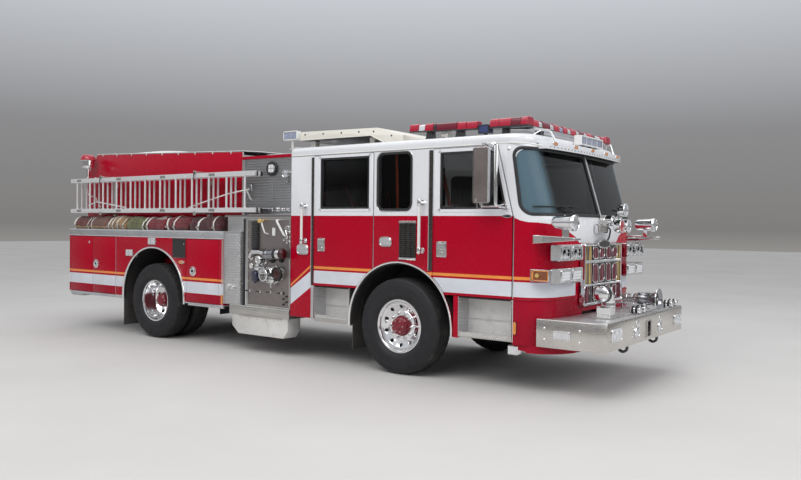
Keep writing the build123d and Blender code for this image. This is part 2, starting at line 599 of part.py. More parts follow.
# ---------------------------------------------------------------- bumper
BUMPER_X0 = 3808.0
BUMPER_Z0, BUMPER_Z1 = 485.0, 755.0
with BuildPart() as front_bumper:
    with BuildSketch(Plane.XY.offset(BUMPER_Z0)) as k:
        with BuildLine():
            Polyline((BUMPER_X0, -1218), (4420, -1218), (FRONT_X, -1150), (FRONT_X, 1150), (4420, 1218), (BUMPER_X0, 1218), close=True)
        make_face()
        with BuildLine():
            Polyline((BUMPER_X0 - 1, -1206), (4415, -1206), (FRONT_X - 12, -1144), (FRONT_X - 12, 1144), (4415, 1206), (BUMPER_X0 - 1, 1206), close=True)
        make_face(mode=Mode.SUBTRACT)
    extrude(amount=BUMPER_Z1 - BUMPER_Z0)
    with BuildSketch(Plane.XY.offset(BUMPER_Z1 - 12)):
        with BuildLine():
            Polyline((BUMPER_X0, -1215), (4418, -1215), (FRONT_X - 5, -1148), (FRONT_X - 5, 1148), (4418, 1215), (BUMPER_X0, 1215), close=True)
        make_face()
        with BuildLine():
            nose_at(NOSE_LOW, 3000, -14)
        make_face(mode=Mode.SUBTRACT)
    extrude(amount=12)
    # slot in the middle of the face
    slab(FRONT_X - 20, FRONT_X + 5, -40, 70, 525, 685, mode=Mode.SUBTRACT)
    # front brackets onto the frame extension
    for s in (1, -1):
        slab(4300, 4490, s * (RAIL_Y + 1), s * (RAIL_Y + 13), 500, 744)
        slab(4480.2, FRONT_X - 8, s * (RAIL_Y - 70), s * (RAIL_Y + 13), 500, 744)
out(front_bumper.part, "front_bumper")

TOW_EYE_R = 30.0
with BuildPart() as tow_eyes:
    for s in (1, -1):
        with BuildSketch(y_plane(471 if s > 0 else -446)):
            with Locations((4400, 450)):
                Circle(58)
            with Locations((4400, 500)):
                Rectangle(116, 100)
            with Locations((4400, 448)):
                Circle(TOW_EYE_R, mode=Mode.SUBTRACT)
        extrude(amount=25)
out(tow_eyes.part, "tow_eyes")

ELBOW_X, ELBOW_Y, ELBOW_Z = 4335.0, -682.0, 1005.0
ELBOW_AX, ELBOW_AY = -0.25, -0.968246
INTAKE_R = 57.0
with BuildPart() as suction_elbow:
    slab(4243, 4387, -787, -643, 755.2, 880)
    rod((ELBOW_X, ELBOW_Y, 878), (0, 0, 1), 60, 100)
    rod((ELBOW_X - 22 * ELBOW_AX, ELBOW_Y - 22 * ELBOW_AY, ELBOW_Z), (ELBOW_AX, ELBOW_AY, 0), 85, 180)
    rod((ELBOW_X + 38 * ELBOW_AX, ELBOW_Y + 38 * ELBOW_AY, ELBOW_Z), (ELBOW_AX, ELBOW_AY, 0), INTAKE_R, 140, mode=Mode.SUBTRACT)
out(suction_elbow.part, "suction_elbow")

SIREN_Z = 885.0
with BuildPart() as deck_fittings:
    # siren: motor, horn and pedestal
    slab(4250, 4420, 300, 420, 755.2, 780)
    rod((4335, 360, 779), (0, 0, 1), 40, 50)
    rod((4085, 360, SIREN_Z), (1, 0, 0), 52, 175)
    with BuildSketch(Plane(origin=(4255, 360, SIREN_Z), x_dir=(1, 0, 0), z_dir=(0, -1, 0))):
        with BuildLine():
            Polyline((0, 0), (0, 55), (60, 62), (150, 62), (215, 100), (240, 108), (240, 98), (215, 70), (215, 0), close=True)
        make_face()
    revolve(axis=Axis((4255, 360, SIREN_Z), (1, 0, 0)), revolution_arc=360)
    # capped discharge pairs on the deck: y centres
    for x, y in ((4400, -90), (4400, 60), (4435, 860), (4435, 1030)):
        rod((x - 60, y, 800), (1, 0, 0), 44, 120)
        slab(x - 30, x + 30, y - 30, y + 30, 755.2, 800)
out(deck_fittings.part, "deck_fittings")

# ---------------------------------------------------------------- roof
BEACON_X = -4228.0
with BuildPart() as warning_lights:
    # x0, x1, y0, y1, z0, z1 of bars and their feet on the roof
    rows = [(3480, 3620, -958, 958, 2660, 2765), (3520, 3590, -740, -650, 2600.2, 2661), (3520, 3590, 650, 740, 2600.2, 2661)]
    for s in (1, -1):
        # corner module, flood lamp behind it, side bar
        rows += [(3186, 3624, s * 957, s * 1110, 2668, 2774), (3300, 3380, s * 990, s * 1060, 2600.2, 2669),
                 (3042, 3172, s * 975, s * 1095, 2625, 2722), (3085, 3125, s * 1010, s * 1060, 2600.2, 2626),
                 (2165, 3035, s * 985, s * 1105, 2680, 2788), (2370, 2460, s * 1000, s * 1080, 2600.2, 2681), (2755, 2845, s * 1000, s * 1080, 2600.2, 2681)]
        # rear corner flood lamp on a post
        rows += [(206, 446, s * 1010, s * 1110, 2712, 2828), (300, 350, s * 1030, s * 1080, 2640, 2713), (300, 350, s * 880, s * 1080, 2600, 2641), (300, 350, s * 840, s * 890, 2570.2, 2641)]
    # flood lamp over the windscreen
    rows += [(3745, 3835, -250, 350, 2552, 2655), (3765, 3815, 20, 80, 2526.2, 2553)]
    for r in rows:
        slab(*r)
    for s in (1, -1):
        # rear beacon on an arm
        rod((BEACON_X, s * 1050, 2372), (0, 0, 1), 24, 165)
        rod((BEACON_X, s * 1050, 2535), (0, 0, 1), 95, 116)
        rod((BEACON_X, s * 1050, 2650), (0, 0, 1), 118, 95)
        slab(BEACON_X - 18, BEACON_X + 18, s * 900.2, s * 1050, 2372, 2400)
out(warning_lights.part, "warning_lights")

with BuildPart() as roof_box:
    with BuildSketch(y_plane(1080)):
        with BuildLine():
            Polyline((470, 2702), (500, 2808), (1690, 2784), (2060, 2682), (2060, 2600.2), (1800, 2600.2), (1600, 2696), close=True)
        make_face()
    extrude(amount=2160)
    for s in (1, -1):
        for x in (560, 1500):
            slab(x, x + 80, s * 900, s * 980, 2600.2, 2720)
out(roof_box.part, "roof_box")

# ================================================================ pump house
with BuildPart() as pump_house:
    slab(-766, 450, -1150, 1150, 955, 1751)
    for s in (1, -1):
        slab(-766, 450, s * (RAIL_Y + 13), s * 1150, 600, 956)
        slab(-766, -430, s * 1149, s * HALF_W, 600, 1560)
        slab(PANEL_X0, PANEL_X1, s * 1149, s * 1200, 600, 1750)
    slab(-766, 450, -1200, 1200, 1750, 1776)
    slab(-766, 450, -900, 900, 1775, PUMP_TOP_Z)
out(pump_house.part, "pump_house")

# valves on the side panels: x, z, radius, reach beyond the panel
INTAKE = (60.0, 1015.0)
with BuildPart() as pump_valves:
    for s in (1, -1):
        # large intake with its collar
        rod((INTAKE[0], s * 1200.2, INTAKE[1]), (0, s, 0), 105, 40)
        rod((INTAKE[0], s * 1240, INTAKE[1]), (0, s, 0), 78, 60)
        rod((INTAKE[0], s * 1200, INTAKE[1]), (0, s, 0), INTAKE_R, 110, mode=Mode.SUBTRACT)
        # capped discharges above and beside
        for x, z, r, reach in ((-60, 1205, 52, 110), (110, 1215, 52, 110), (270, 1200, 48, 90), (250, 985, 55, 70), (-150, 985, 55, 70)):
            rod((x, s * 1200.2, z), (0, s, 0), r, reach)
out(pump_valves.part, "pump_valves")

with BuildPart() as running_boards:
    for s in (1, -1):
        slab(-640, 450, s * 880, s * 1225, 480, 595)
        with BuildSketch(y_plane(1215 if s > 0 else -985)):
            with BuildLine():
                Polyline((-590, 480), (421, 480), (421, 330), (345, 232), (-470, 232), (-590, 330), close=True)
            make_face()
        extrude(amount=230)
out(running_boards.part, "running_boards")

# ================================================================ locker body
# locker openings on the outer face: x0, x1 of each door, hinge at the edge named
AFT, MID, FWD = "rear", "middle", "forward"
LOCKER_DOORS = (
    # name, x0, x1, hinge x
    (AFT, -4420.0, -3813.0, -4420.0),
    (MID, -3807.0, -3208.0, -3208.0),
    (FWD, -1536.0, -870.0, -870.0),
)
LOCKER_Z0, LOCKER_Z1 = 576.0, 1440.0
with BuildPart() as body_sides:
    for s in (1, -1):
        slab(BODY_X0, BODY_X1, s * LOCKER_DEPTH_Y, s * HALF_W, BODY_Z0, BODY_Z1)
        y0, y1 = sorted((s * (LOCKER_DEPTH_Y - 5), s * (HALF_W + 5)))
        arch_cut(REAR_AXLE_X, REAR_ARCH_Z, REAR_ARCH_R, y0, y1)
        # cavities behind the doors, with a frame round each opening
        for x0, x1 in ((-4420, -3208), (-1536, -870)):
            slab(x0 - GAP, x1 + GAP, s * (HALF_W - DOOR_T - 8), s * (HALF_W + 1), LOCKER_Z0 - GAP, LOCKER_Z1 + GAP, mode=Mode.SUBTRACT)
            slab(x0 + 20, x1 - 20, s * (LOCKER_DEPTH_Y + 20), s * (HALF_W - 10), LOCKER_Z0 + 16, LOCKER_Z1 - 16, mode=Mode.SUBTRACT)
out(body_sides.part, "body_sides")

for name, x0, x1, hinge_x in LOCKER_DOORS:
    for side, s in (("left", 1), ("right", -1)):
        with BuildPart() as locker_door:
            slab(x0, x1, s * (HALF_W - DOOR_T), s * HALF_W, LOCKER_Z0, LOCKER_Z1)
        out(locker_door.part, f"{name}_{side}_locker_door")

REAR_DOOR = (-560.0, 560.0, 720.0, 1480.0)
REAR_LOCKER_X = -4000.0
with BuildPart() as body_rear:
    yi = LOCKER_DEPTH_Y - 0.2
    slab(BODY_X0, REAR_LOCKER_X, -yi, yi, 690, BODY_Z1)
    slab(BODY_X0, BODY_X0 + 40, -yi, yi, BODY_Z0, 691)
    slab(BODY_X0 + DOOR_T + 8, REAR_LOCKER_X - 15, -yi + 15, yi - 15, 705, BODY_Z1 - 15, mode=Mode.SUBTRACT)
    slab(BODY_X0 - 1, BODY_X0 + DOOR_T + 9, REAR_DOOR[0] - GAP, REAR_DOOR[1] + GAP, REAR_DOOR[2] - GAP, REAR_DOOR[3] + GAP, mode=Mode.SUBTRACT)
    # tailboard
    slab(-4502, -4200, -1150, 1150, 490, BODY_Z0 - 0.2)
    slab(-4502, -4462, -640, 640, 490, BODY_Z0 + 20)
out(body_rear.part, "body_rear")

with BuildPart() as rear_locker_door:
    slab(BODY_X0, BODY_X0 + DOOR_T, REAR_DOOR[0], REAR_DOOR[1], REAR_DOOR[2], REAR_DOOR[3])
out(rear_locker_door.part, "rear_locker_door")

# hose bed: tank below, floor, sloped-top walls
BED_Y = 900.0
with BuildPart() as hose_bed:
    slab(REAR_LOCKER_X + 5, -790, -560, 560, 956, BODY_Z1 + 0.2)
    slab(BODY_X0, BODY_X1 - 4, -BED_Y, BED_Y, BODY_Z1 + 0.2, 1640)
    for s in (1, -1):
        with BuildSketch(y_plane(BED_Y if s > 0 else -BED_Y + 30)):
            with BuildLine():
                Polyline((BODY_X0, BODY_Z1 + 0.2), (BODY_X1 - 4, BODY_Z1 + 0.2), (BODY_X1 - 4, 2640), (-4196, 2750), (BODY_X0, 2440), close=True)
            make_face()
        extrude(amount=30)
    slab(BODY_X1 - 34, BODY_X1 - 4, -BED_Y, BED_Y, 1639, 2600)
out(hose_bed.part, "hose_bed")

with BuildPart() as hose_bed_cover:
    # stretched vinyl, low crown: loft of arched strips along the bed
    for x, edge, crown in ((-4190, 2752, 2784), (-3085, 2718, 2822), (-2300, 2693, 2742), (-776, 2644, 2668)):
        with BuildSketch(Plane(origin=(x, 0, 0), x_dir=(0, 1, 0), z_dir=(1, 0, 0))):
            with BuildLine():
                ThreePointArc((-BED_Y + 1, edge), (0, crown), (BED_Y - 1, edge))
                Line((BED_Y - 1, edge), (BED_Y - 1, edge + 6))
                ThreePointArc((BED_Y - 1, edge + 6), (0, crown + 6), (-BED_Y + 1, edge + 6))
                Line((-BED_Y + 1, edge + 6), (-BED_Y + 1, edge))
            make_face()
    loft(ruled=True)
    slab(-4474, -4462, -BED_Y, BED_Y, 1700, 2440)
    with BuildSketch(y_plane(BED_Y)):
        with BuildLine():
            Polyline((-4474, 2440), (-4462, 2440), (-4197, 2752), (-4190, 2752), (-4190, 2758), (-4202, 2758), close=True)
        make_face()
    extrude(amount=2 * BED_Y)
out(hose_bed_cover.part, "hose_bed_cover")

# ladders on edge, on the right: outer y, x range
LADDERS = ((1180, LADDER_X0, LADDER_X1), (1100, -4440, -280), (1020, -4440, -280))
LADDER_Z0, LADDER_Z1 = 1810.0, 2350.0
with BuildPart() as ladders:
    for y, x0, x1 in LADDERS:
        slab(x0, x1, -y, -y + 35, LADDER_Z0, LADDER_Z0 + 62)
        slab(x0, x1, -y, -y + 35, LADDER_Z1 - 62, LADDER_Z1)
        with BuildSketch(Plane.XY.offset(LADDER_Z0 + 61)):
            for i in range(12 if y > 1150 else 11):
                with Locations((RUNG_X0 + i * RUNG_PITCH, -y + 17.5)):
                    Circle(15)
        extrude(amount=LADDER_Z1 - LADDER_Z0 - 122)
    for x in (-3700, -1450):
        slab(x, x + 60, -940, -BED_Y - 0.2, LADDER_Z0 - 25, LADDER_Z1 + 24)
        slab(x, x + 60, -1185, -BED_Y - 0.2, LADDER_Z0 - 25, LADDER_Z0)
        slab(x, x + 60, -1185, -BED_Y - 0.2, LADDER_Z1, LADDER_Z1 + 24)
out(ladders.part, "ladders")

# folded hose bundles on the right lockers: x0, x1
BUNDLES = ((-4400, -3960), (-3940, -3480), (-3460, -3020), (-3000, -2560), (-2540, -2080), (-2060, -1560), (-1540, -900))
with BuildPart() as hose_bundles:
    for x0, x1 in BUNDLES:
        with BuildSketch(Plane(origin=(x0, 0, 0), x_dir=(0, 1, 0), z_dir=(1, 0, 0))):
            with BuildLine():
                Polyline((-1195, BODY_Z1 + 0.2), (-1195, 1650), (-1120, 1765), (-1000, 1770), (-925, 1690), (-925, BODY_Z1 + 0.2), close=True)
            make_face()
        extrude(amount=x1 - x0)
out(hose_bundles.part, "hose_bundles")

# hard suction hoses on the left lockers
with BuildPart() as suction_hoses:
    for y in (1000, 1125):
        rod((-4200, y, BODY_Z1 + 62), (1, 0, 0), 58, 3050)
    for x in (-4000, -2700, -1400):
        slab(x, x + 50, 930, 1195, BODY_Z1 + 0.2, BODY_Z1 + 40)
out(suction_hoses.part, "suction_hoses")

# mud flaps behind both axles
with BuildPart() as mudflaps:
    for s in (1, -1):
        slab(-3006.9, -2995, s * 645, s * 1205, 130, 600)
        slab(1410.1, 1420, s * 640, s * 1150, 200, 550)
out(mudflaps.part, "mudflaps")
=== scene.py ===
import json
import math
import random

import bmesh
import bpy
from mathutils import Matrix, Vector
from mathutils.geometry import tessellate_polygon

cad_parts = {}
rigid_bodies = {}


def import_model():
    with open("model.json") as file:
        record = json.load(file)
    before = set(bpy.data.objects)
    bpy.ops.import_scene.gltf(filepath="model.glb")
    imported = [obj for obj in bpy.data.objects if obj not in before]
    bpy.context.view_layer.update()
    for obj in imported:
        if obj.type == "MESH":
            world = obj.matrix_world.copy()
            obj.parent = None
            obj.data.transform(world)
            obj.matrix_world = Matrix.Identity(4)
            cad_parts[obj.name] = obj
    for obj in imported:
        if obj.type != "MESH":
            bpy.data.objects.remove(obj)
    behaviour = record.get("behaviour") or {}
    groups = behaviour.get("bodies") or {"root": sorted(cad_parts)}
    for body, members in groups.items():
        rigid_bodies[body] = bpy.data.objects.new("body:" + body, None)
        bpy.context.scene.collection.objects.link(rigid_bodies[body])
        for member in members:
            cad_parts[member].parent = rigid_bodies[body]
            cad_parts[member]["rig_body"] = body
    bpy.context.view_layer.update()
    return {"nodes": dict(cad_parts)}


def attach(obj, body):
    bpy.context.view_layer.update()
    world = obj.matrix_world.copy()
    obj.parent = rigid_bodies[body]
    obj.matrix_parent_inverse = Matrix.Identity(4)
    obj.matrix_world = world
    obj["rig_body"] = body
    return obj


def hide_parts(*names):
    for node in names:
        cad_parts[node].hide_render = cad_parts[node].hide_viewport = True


# Fire engine, looks. +X forward, +Y to the vehicle's left, +Z up.
# Numbers in the making of pieces are millimetres and are scaled at the end.
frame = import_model()
N = frame["nodes"]
rng = random.Random(11)
MM = 0.001
sides = (("right", -1), ("left", 1))


# ------------------------------------------------------------------ materials
def new_mat(name):
    m = bpy.data.materials.new(name)
    m.use_nodes = True
    nt = m.node_tree
    return m, nt, nt.nodes["Principled BSDF"]


def link(nt, a, b):
    nt.links.new(a, b)


def math_node(nt, op, a, b=None, c=None):
    n = nt.nodes.new("ShaderNodeMath")
    n.operation = op
    for i, x in enumerate((a, b, c)):
        if x is None:
            continue
        if isinstance(x, (int, float)):
            n.inputs[i].default_value = x
        else:
            nt.links.new(x, n.inputs[i])
    return n.outputs[0]


def noise(nt, co, scale, detail=3.0, rough=0.55):
    n = nt.nodes.new("ShaderNodeTexNoise")
    n.inputs["Scale"].default_value = scale
    n.inputs["Detail"].default_value = detail
    n.inputs["Roughness"].default_value = rough
    nt.links.new(co, n.inputs["Vector"])
    return n.outputs["Fac"]


def map_range(nt, x, a, b, c, d):
    n = nt.nodes.new("ShaderNodeMapRange")
    n.inputs["From Min"].default_value = a
    n.inputs["From Max"].default_value = b
    n.inputs["To Min"].default_value = c
    n.inputs["To Max"].default_value = d
    nt.links.new(x, n.inputs["Value"])
    return n.outputs["Result"]


def mix_color(nt, fac, a, b, blend="MIX"):
    n = nt.nodes.new("ShaderNodeMix")
    n.data_type = "RGBA"
    n.blend_type = blend
    for i, x in ((0, fac), (6, a), (7, b)):
        if isinstance(x, (int, float)):
            n.inputs[i].default_value = x
        elif isinstance(x, tuple):
            n.inputs[i].default_value = (*x[:3], 1.0)
        else:
            nt.links.new(x, n.inputs[i])
    return n.outputs[2]


def coords(nt):
    return nt.nodes.new("ShaderNodeTexCoord").outputs["Object"]


def split(nt, co):
    n = nt.nodes.new("ShaderNodeSeparateXYZ")
    nt.links.new(co, n.inputs[0])
    return n.outputs[0], n.outputs[1], n.outputs[2]


def add_bump(nt, bsdf, height, strength, distance):
    n = nt.nodes.new("ShaderNodeBump")
    n.inputs["Strength"].default_value = strength
    n.inputs["Distance"].default_value = distance
    nt.links.new(height, n.inputs["Height"])
    nt.links.new(n.outputs["Normal"], bsdf.inputs["Normal"])


def finish_mat(name, color, rough, metal=0.0, coat=0.0, coat_rough=0.03, var=0.06, var_scale=2.5,
               rvar=0.06, rscale=14.0, bump=0.0, bscale=90.0, bdist=0.001, trans=0.0, ior=1.5,
               dirt=0.0, stretch=None, sheen=0.0, dark=None):
    """Paints, metals, plastics and rubbers: colour and roughness vary over the surface."""
    m, nt, p = new_mat(name)
    co = coords(nt)
    src = co
    if stretch:
        mp = nt.nodes.new("ShaderNodeMapping")
        mp.inputs["Scale"].default_value = stretch
        link(nt, co, mp.inputs["Vector"])
        src = mp.outputs[0]
    lo = tuple(c * (1 - var) for c in color)
    hi = tuple(min(1.0, c * (1 + var)) for c in color)
    n1 = noise(nt, co, var_scale, 4.0)
    col = mix_color(nt, map_range(nt, n1, 0.3, 0.7, 0.0, 1.0), lo, hi)
    if dark:
        n3 = noise(nt, co, dark[1], 6.0, 0.7)
        col = mix_color(nt, map_range(nt, n3, 0.52, 0.72, 0.0, dark[2]), col, dark[0])
    if dirt:
        x, y, z = split(nt, co)
        low = map_range(nt, z, 1.2, 0.35, 0.0, dirt)
        low = math_node(nt, "MULTIPLY", low, noise(nt, co, 7.0, 5.0, 0.65))
        col = mix_color(nt, low, col, (0.30, 0.275, 0.25))
    link(nt, col, p.inputs["Base Color"])
    n2 = noise(nt, src, rscale, 5.0)
    link(nt, map_range(nt, n2, 0.25, 0.75, max(0.02, rough - rvar), min(1.0, rough + rvar)), p.inputs["Roughness"])
    p.inputs["Metallic"].default_value = metal
    p.inputs["Coat Weight"].default_value = coat
    p.inputs["Coat Roughness"].default_value = coat_rough
    p.inputs["Transmission Weight"].default_value = trans
    p.inputs["IOR"].default_value = ior
    p.inputs["Sheen Weight"].default_value = sheen
    if bump:
        add_bump(nt, p, noise(nt, src, bscale, 3.0), bump, bdist)
    return m


def wave_mat(name, color, rough, metal, axis, pitch, strength, dist, coat=0.0, trans=0.0, var=0.08, second=None, dark=0.35):
    """Ribbed surfaces: lens prisms, weaves, brushed or slatted faces; axis 0, 1 or 2 of the object."""
    m, nt, p = new_mat(name)
    co = coords(nt)
    xyz = split(nt, co)
    w = math_node(nt, "SINE", math_node(nt, "MULTIPLY", xyz[axis], 2 * math.pi / pitch))
    if second is not None:
        w2 = math_node(nt, "SINE", math_node(nt, "MULTIPLY", xyz[second[0]], 2 * math.pi / second[1]))
        w = math_node(nt, "MULTIPLY", w, w2) if second[2] else math_node(nt, "ADD", w, w2)
    n1 = noise(nt, co, 6.0, 4.0)
    lo = tuple(c * (1 - var) for c in color)
    hi = tuple(min(1.0, c * (1 + var)) for c in color)
    col = mix_color(nt, map_range(nt, n1, 0.3, 0.7, 0.0, 1.0), lo, hi)
    # the troughs of the ribs are darkened towards a third of the colour: painted shade in the grooves
    col = mix_color(nt, map_range(nt, w, -1.0, 0.2, dark, 0.0), col, tuple(c * 0.35 for c in color))
    link(nt, col, p.inputs["Base Color"])
    link(nt, map_range(nt, noise(nt, co, 30.0), 0.3, 0.7, max(0.03, rough - 0.06), rough + 0.06), p.inputs["Roughness"])
    p.inputs["Metallic"].default_value = metal
    p.inputs["Coat Weight"].default_value = coat
    p.inputs["Transmission Weight"].default_value = trans
    add_bump(nt, p, w, strength, dist)
    return m


def tread_mat(name, ax_u, ax_v, cell=0.034, color=(0.62, 0.62, 0.63), rough=0.30):
    """Aluminium tread plate: raised lozenges that lie left and right in turn."""
    m, nt, p = new_mat(name)
    co = coords(nt)
    xyz = split(nt, co)
    u = math_node(nt, "DIVIDE", xyz[ax_u], cell)
    v = math_node(nt, "DIVIDE", xyz[ax_v], cell)
    iu, iv = math_node(nt, "FLOOR", u), math_node(nt, "FLOOR", v)
    fu = math_node(nt, "SUBTRACT", math_node(nt, "SUBTRACT", u, iu), 0.5)
    fv = math_node(nt, "SUBTRACT", math_node(nt, "SUBTRACT", v, iv), 0.5)
    par = math_node(nt, "PINGPONG", math_node(nt, "ADD", iu, iv), 1.0)
    sg = math_node(nt, "SUBTRACT", math_node(nt, "MULTIPLY", par, 2.0), 1.0)
    sv = math_node(nt, "MULTIPLY", sg, fv)
    a = math_node(nt, "ADD", fu, sv)
    b = math_node(nt, "SUBTRACT", fu, sv)
    ea = math_node(nt, "POWER", math_node(nt, "DIVIDE", math_node(nt, "ABSOLUTE", a), 0.62), 2.0)
    eb = math_node(nt, "POWER", math_node(nt, "DIVIDE", math_node(nt, "ABSOLUTE", b), 0.20), 2.0)
    h = map_range(nt, math_node(nt, "ADD", ea, eb), 1.15, 0.55, 0.0, 1.0)
    n1 = noise(nt, co, 5.0, 4.0)
    base = mix_color(nt, map_range(nt, n1, 0.3, 0.7, 0.0, 1.0), tuple(c * 0.82 for c in color), tuple(c * 0.98 for c in color))
    col = mix_color(nt, h, base, tuple(min(1.0, c * 1.35) for c in color))
    link(nt, col, p.inputs["Base Color"])
    link(nt, map_range(nt, h, 0.0, 1.0, rough + 0.14, rough - 0.06), p.inputs["Roughness"])
    p.inputs["Metallic"].default_value = 0.92
    add_bump(nt, p, h, 0.7, 0.0025)
    return m


RED = finish_mat("red_paint", (0.43, 0.0, 0.018), 0.27, coat=0.10, var=0.03, var_scale=1.2, rvar=0.04, bump=0.04, bscale=220, bdist=0.0006, dirt=0.01)
# the same red paint made darker for the low panels, the lip and the skirt: painted shade low down
RED_SHADED = finish_mat("red_paint_shaded_low", (0.36, 0.0, 0.018), 0.30, coat=0.10, var=0.06, var_scale=2.0, rvar=0.06, bump=0.05, bscale=180, bdist=0.0006, dirt=0.02)
WHITE = finish_mat("white_paint", (0.80, 0.815, 0.85), 0.25, coat=0.8, var=0.02, var_scale=1.2, rvar=0.05, bump=0.03, bscale=220, bdist=0.0006, dirt=0.05)
REFLECT_WHITE = finish_mat("white_reflective_film", (0.70, 0.73, 0.80), 0.36, coat=0.35, var=0.05, var_scale=5, rvar=0.08, bump=0.05, bscale=600, bdist=0.0004, dirt=0.18)
REFLECT_ORANGE = finish_mat("orange_reflective_film", (0.86, 0.30, 0.05), 0.36, coat=0.35, var=0.08, var_scale=6, rvar=0.06, bump=0.05, bscale=600, bdist=0.0004)
CHROME = finish_mat("chrome", (0.80, 0.80, 0.81), 0.09, metal=1.0, var=0.05, var_scale=9, rvar=0.05, rscale=22, bump=0.02, bscale=60, bdist=0.0006)
STEEL = finish_mat("brushed_stainless", (0.60, 0.585, 0.56), 0.33, metal=1.0, var=0.07, var_scale=3, rvar=0.10, rscale=60, stretch=(0.25, 0.25, 6.0), bump=0.10, bscale=120, bdist=0.0004)
STEEL_PANEL = finish_mat("panel_stainless", (0.42, 0.405, 0.39), 0.38, metal=0.95, var=0.12, var_scale=3.5, rvar=0.10, rscale=40, stretch=(6.0, 0.25, 0.25), bump=0.10, bscale=90, bdist=0.0004, dark=((0.20, 0.19, 0.18), 9, 0.35))
ALU = finish_mat("satin_aluminium", (0.66, 0.67, 0.69), 0.36, metal=0.95, var=0.08, var_scale=4, rvar=0.10, rscale=40, bump=0.06, bscale=160, bdist=0.0005, dark=((0.36, 0.36, 0.37), 11, 0.35))
ALU_BRIGHT = finish_mat("polished_aluminium", (0.83, 0.83, 0.84), 0.13, metal=1.0, var=0.06, var_scale=8, rvar=0.06, rscale=30, bump=0.03, bscale=70, bdist=0.0006)
WHITE_PLAIN = finish_mat("white_powder_coat", (0.80, 0.80, 0.78), 0.42, coat=0.1, var=0.04, var_scale=6, rvar=0.08, bump=0.15, bscale=500, bdist=0.0003)
IVORY = finish_mat("ivory_paint", (0.80, 0.775, 0.70), 0.36, coat=0.4, var=0.04, var_scale=3, rvar=0.07, bump=0.06, bscale=260, bdist=0.0005)
BLACK = finish_mat("black_plastic", (0.018, 0.018, 0.020), 0.42, var=0.25, var_scale=8, rvar=0.12, bump=0.20, bscale=500, bdist=0.0004)
BLACK_GLOSS = finish_mat("black_gloss", (0.012, 0.012, 0.014), 0.16, coat=0.5, var=0.2, var_scale=5, rvar=0.05, bump=0.02, bscale=200, bdist=0.0004)
SEAL = finish_mat("rubber_seal", (0.020, 0.020, 0.022), 0.55, var=0.25, var_scale=9, rvar=0.12, bump=0.15, bscale=300, bdist=0.0005)
CHASSIS = finish_mat("chassis_black", (0.022, 0.022, 0.023), 0.50, coat=0.1, var=0.35, var_scale=5, rvar=0.15, bump=0.20, bscale=140, bdist=0.0008, dirt=0.35)
IRON = finish_mat("cast_iron", (0.060, 0.058, 0.055), 0.62, metal=0.5, var=0.3, var_scale=8, rvar=0.15, bump=0.45, bscale=160, bdist=0.0015, dirt=0.3)
LINER = finish_mat("arch_liner", (0.014, 0.013, 0.013), 0.78, var=0.3, var_scale=6, rvar=0.12, bump=0.35, bscale=120, bdist=0.0012, dirt=0.25)
TYRE = finish_mat("tyre_rubber", (0.010, 0.0105, 0.013), 0.62, var=0.25, var_scale=6, rvar=0.10, bump=0.25, bscale=300, bdist=0.0006, dark=((0.028, 0.026, 0.025), 5, 0.35))
TYRE_TREAD = finish_mat("tyre_tread", (0.020, 0.020, 0.020), 0.80, var=0.25, var_scale=9, rvar=0.10, bump=0.5, bscale=220, bdist=0.0008, dark=((0.085, 0.078, 0.068), 7, 0.7))
RUBBER_FLAP = finish_mat("flap_rubber", (0.016, 0.016, 0.017), 0.70, var=0.3, var_scale=5, rvar=0.12, bump=0.3, bscale=160, bdist=0.0008, dirt=0.3)
GLASS = finish_mat("window_glass", (0.11, 0.13, 0.135), 0.03, var=0.03, rvar=0.012, trans=1.0, ior=1.22, coat=0.0)
GLASS_DARK = finish_mat("tinted_glass", (0.34, 0.345, 0.35), 0.03, var=0.03, rvar=0.012, trans=1.0, ior=1.24, coat=0.0)
LENS_CLEAR = wave_mat("clear_lens", (0.78, 0.80, 0.83), 0.12, 0.55, 1, 0.022, 0.5, 0.003, coat=1.0)
LENS_CLEAR_X = wave_mat("clear_lens_side", (0.78, 0.80, 0.83), 0.12, 0.55, 0, 0.022, 0.5, 0.003, coat=1.0)
LENS_RED = wave_mat("red_lens", (0.50, 0.010, 0.022), 0.16, 0.0, 1, 0.018, 0.5, 0.003, coat=1.0)
LENS_RED_X = wave_mat("red_lens_side", (0.50, 0.010, 0.022), 0.16, 0.0, 0, 0.018, 0.5, 0.003, coat=1.0)
LENS_AMBER = wave_mat("amber_lens", (0.80, 0.27, 0.03), 0.16, 0.0, 2, 0.012, 0.5, 0.003, coat=1.0)
LENS_BLUE = wave_mat("blue_lens", (0.05, 0.07, 0.20), 0.14, 0.1, 0, 0.016, 0.5, 0.003, coat=1.0)
LENS_BLUE_GREY = wave_mat("flood_lens", (0.42, 0.46, 0.62), 0.14, 0.45, 2, 0.011, 0.5, 0.003, coat=1.0, second=(0, 0.03, False))
FLOOR_MAT = finish_mat("floor_rubber", (0.018, 0.018, 0.019), 0.75, var=0.25, var_scale=7, rvar=0.1, bump=0.5, bscale=120, bdist=0.001)
INTERIOR = finish_mat("interior_trim", (0.020, 0.020, 0.023), 0.62, var=0.15, var_scale=4, rvar=0.1, bump=0.35, bscale=260, bdist=0.0006)
SEAT = wave_mat("seat_fabric", (0.020, 0.021, 0.027), 0.82, 0.0, 1, 0.006, 0.35, 0.0008, second=(2, 0.006, True), dark=0.5)
BELT = wave_mat("belt_webbing", (0.85, 0.13, 0.035), 0.70, 0.0, 2, 0.004, 0.3, 0.0005, dark=0.3)
TREAD_XY = tread_mat("tread_plate_top", 0, 1)
TREAD_XZ = tread_mat("tread_plate_side", 0, 2)
TREAD_YZ = tread_mat("tread_plate_end", 1, 2)
SLAT = finish_mat("slat_aluminium", (0.50, 0.505, 0.52), 0.40, metal=0.85, var=0.08, var_scale=3, rvar=0.10, rscale=30, stretch=(0.4, 1, 6), bump=0.08, bscale=90, bdist=0.0005)
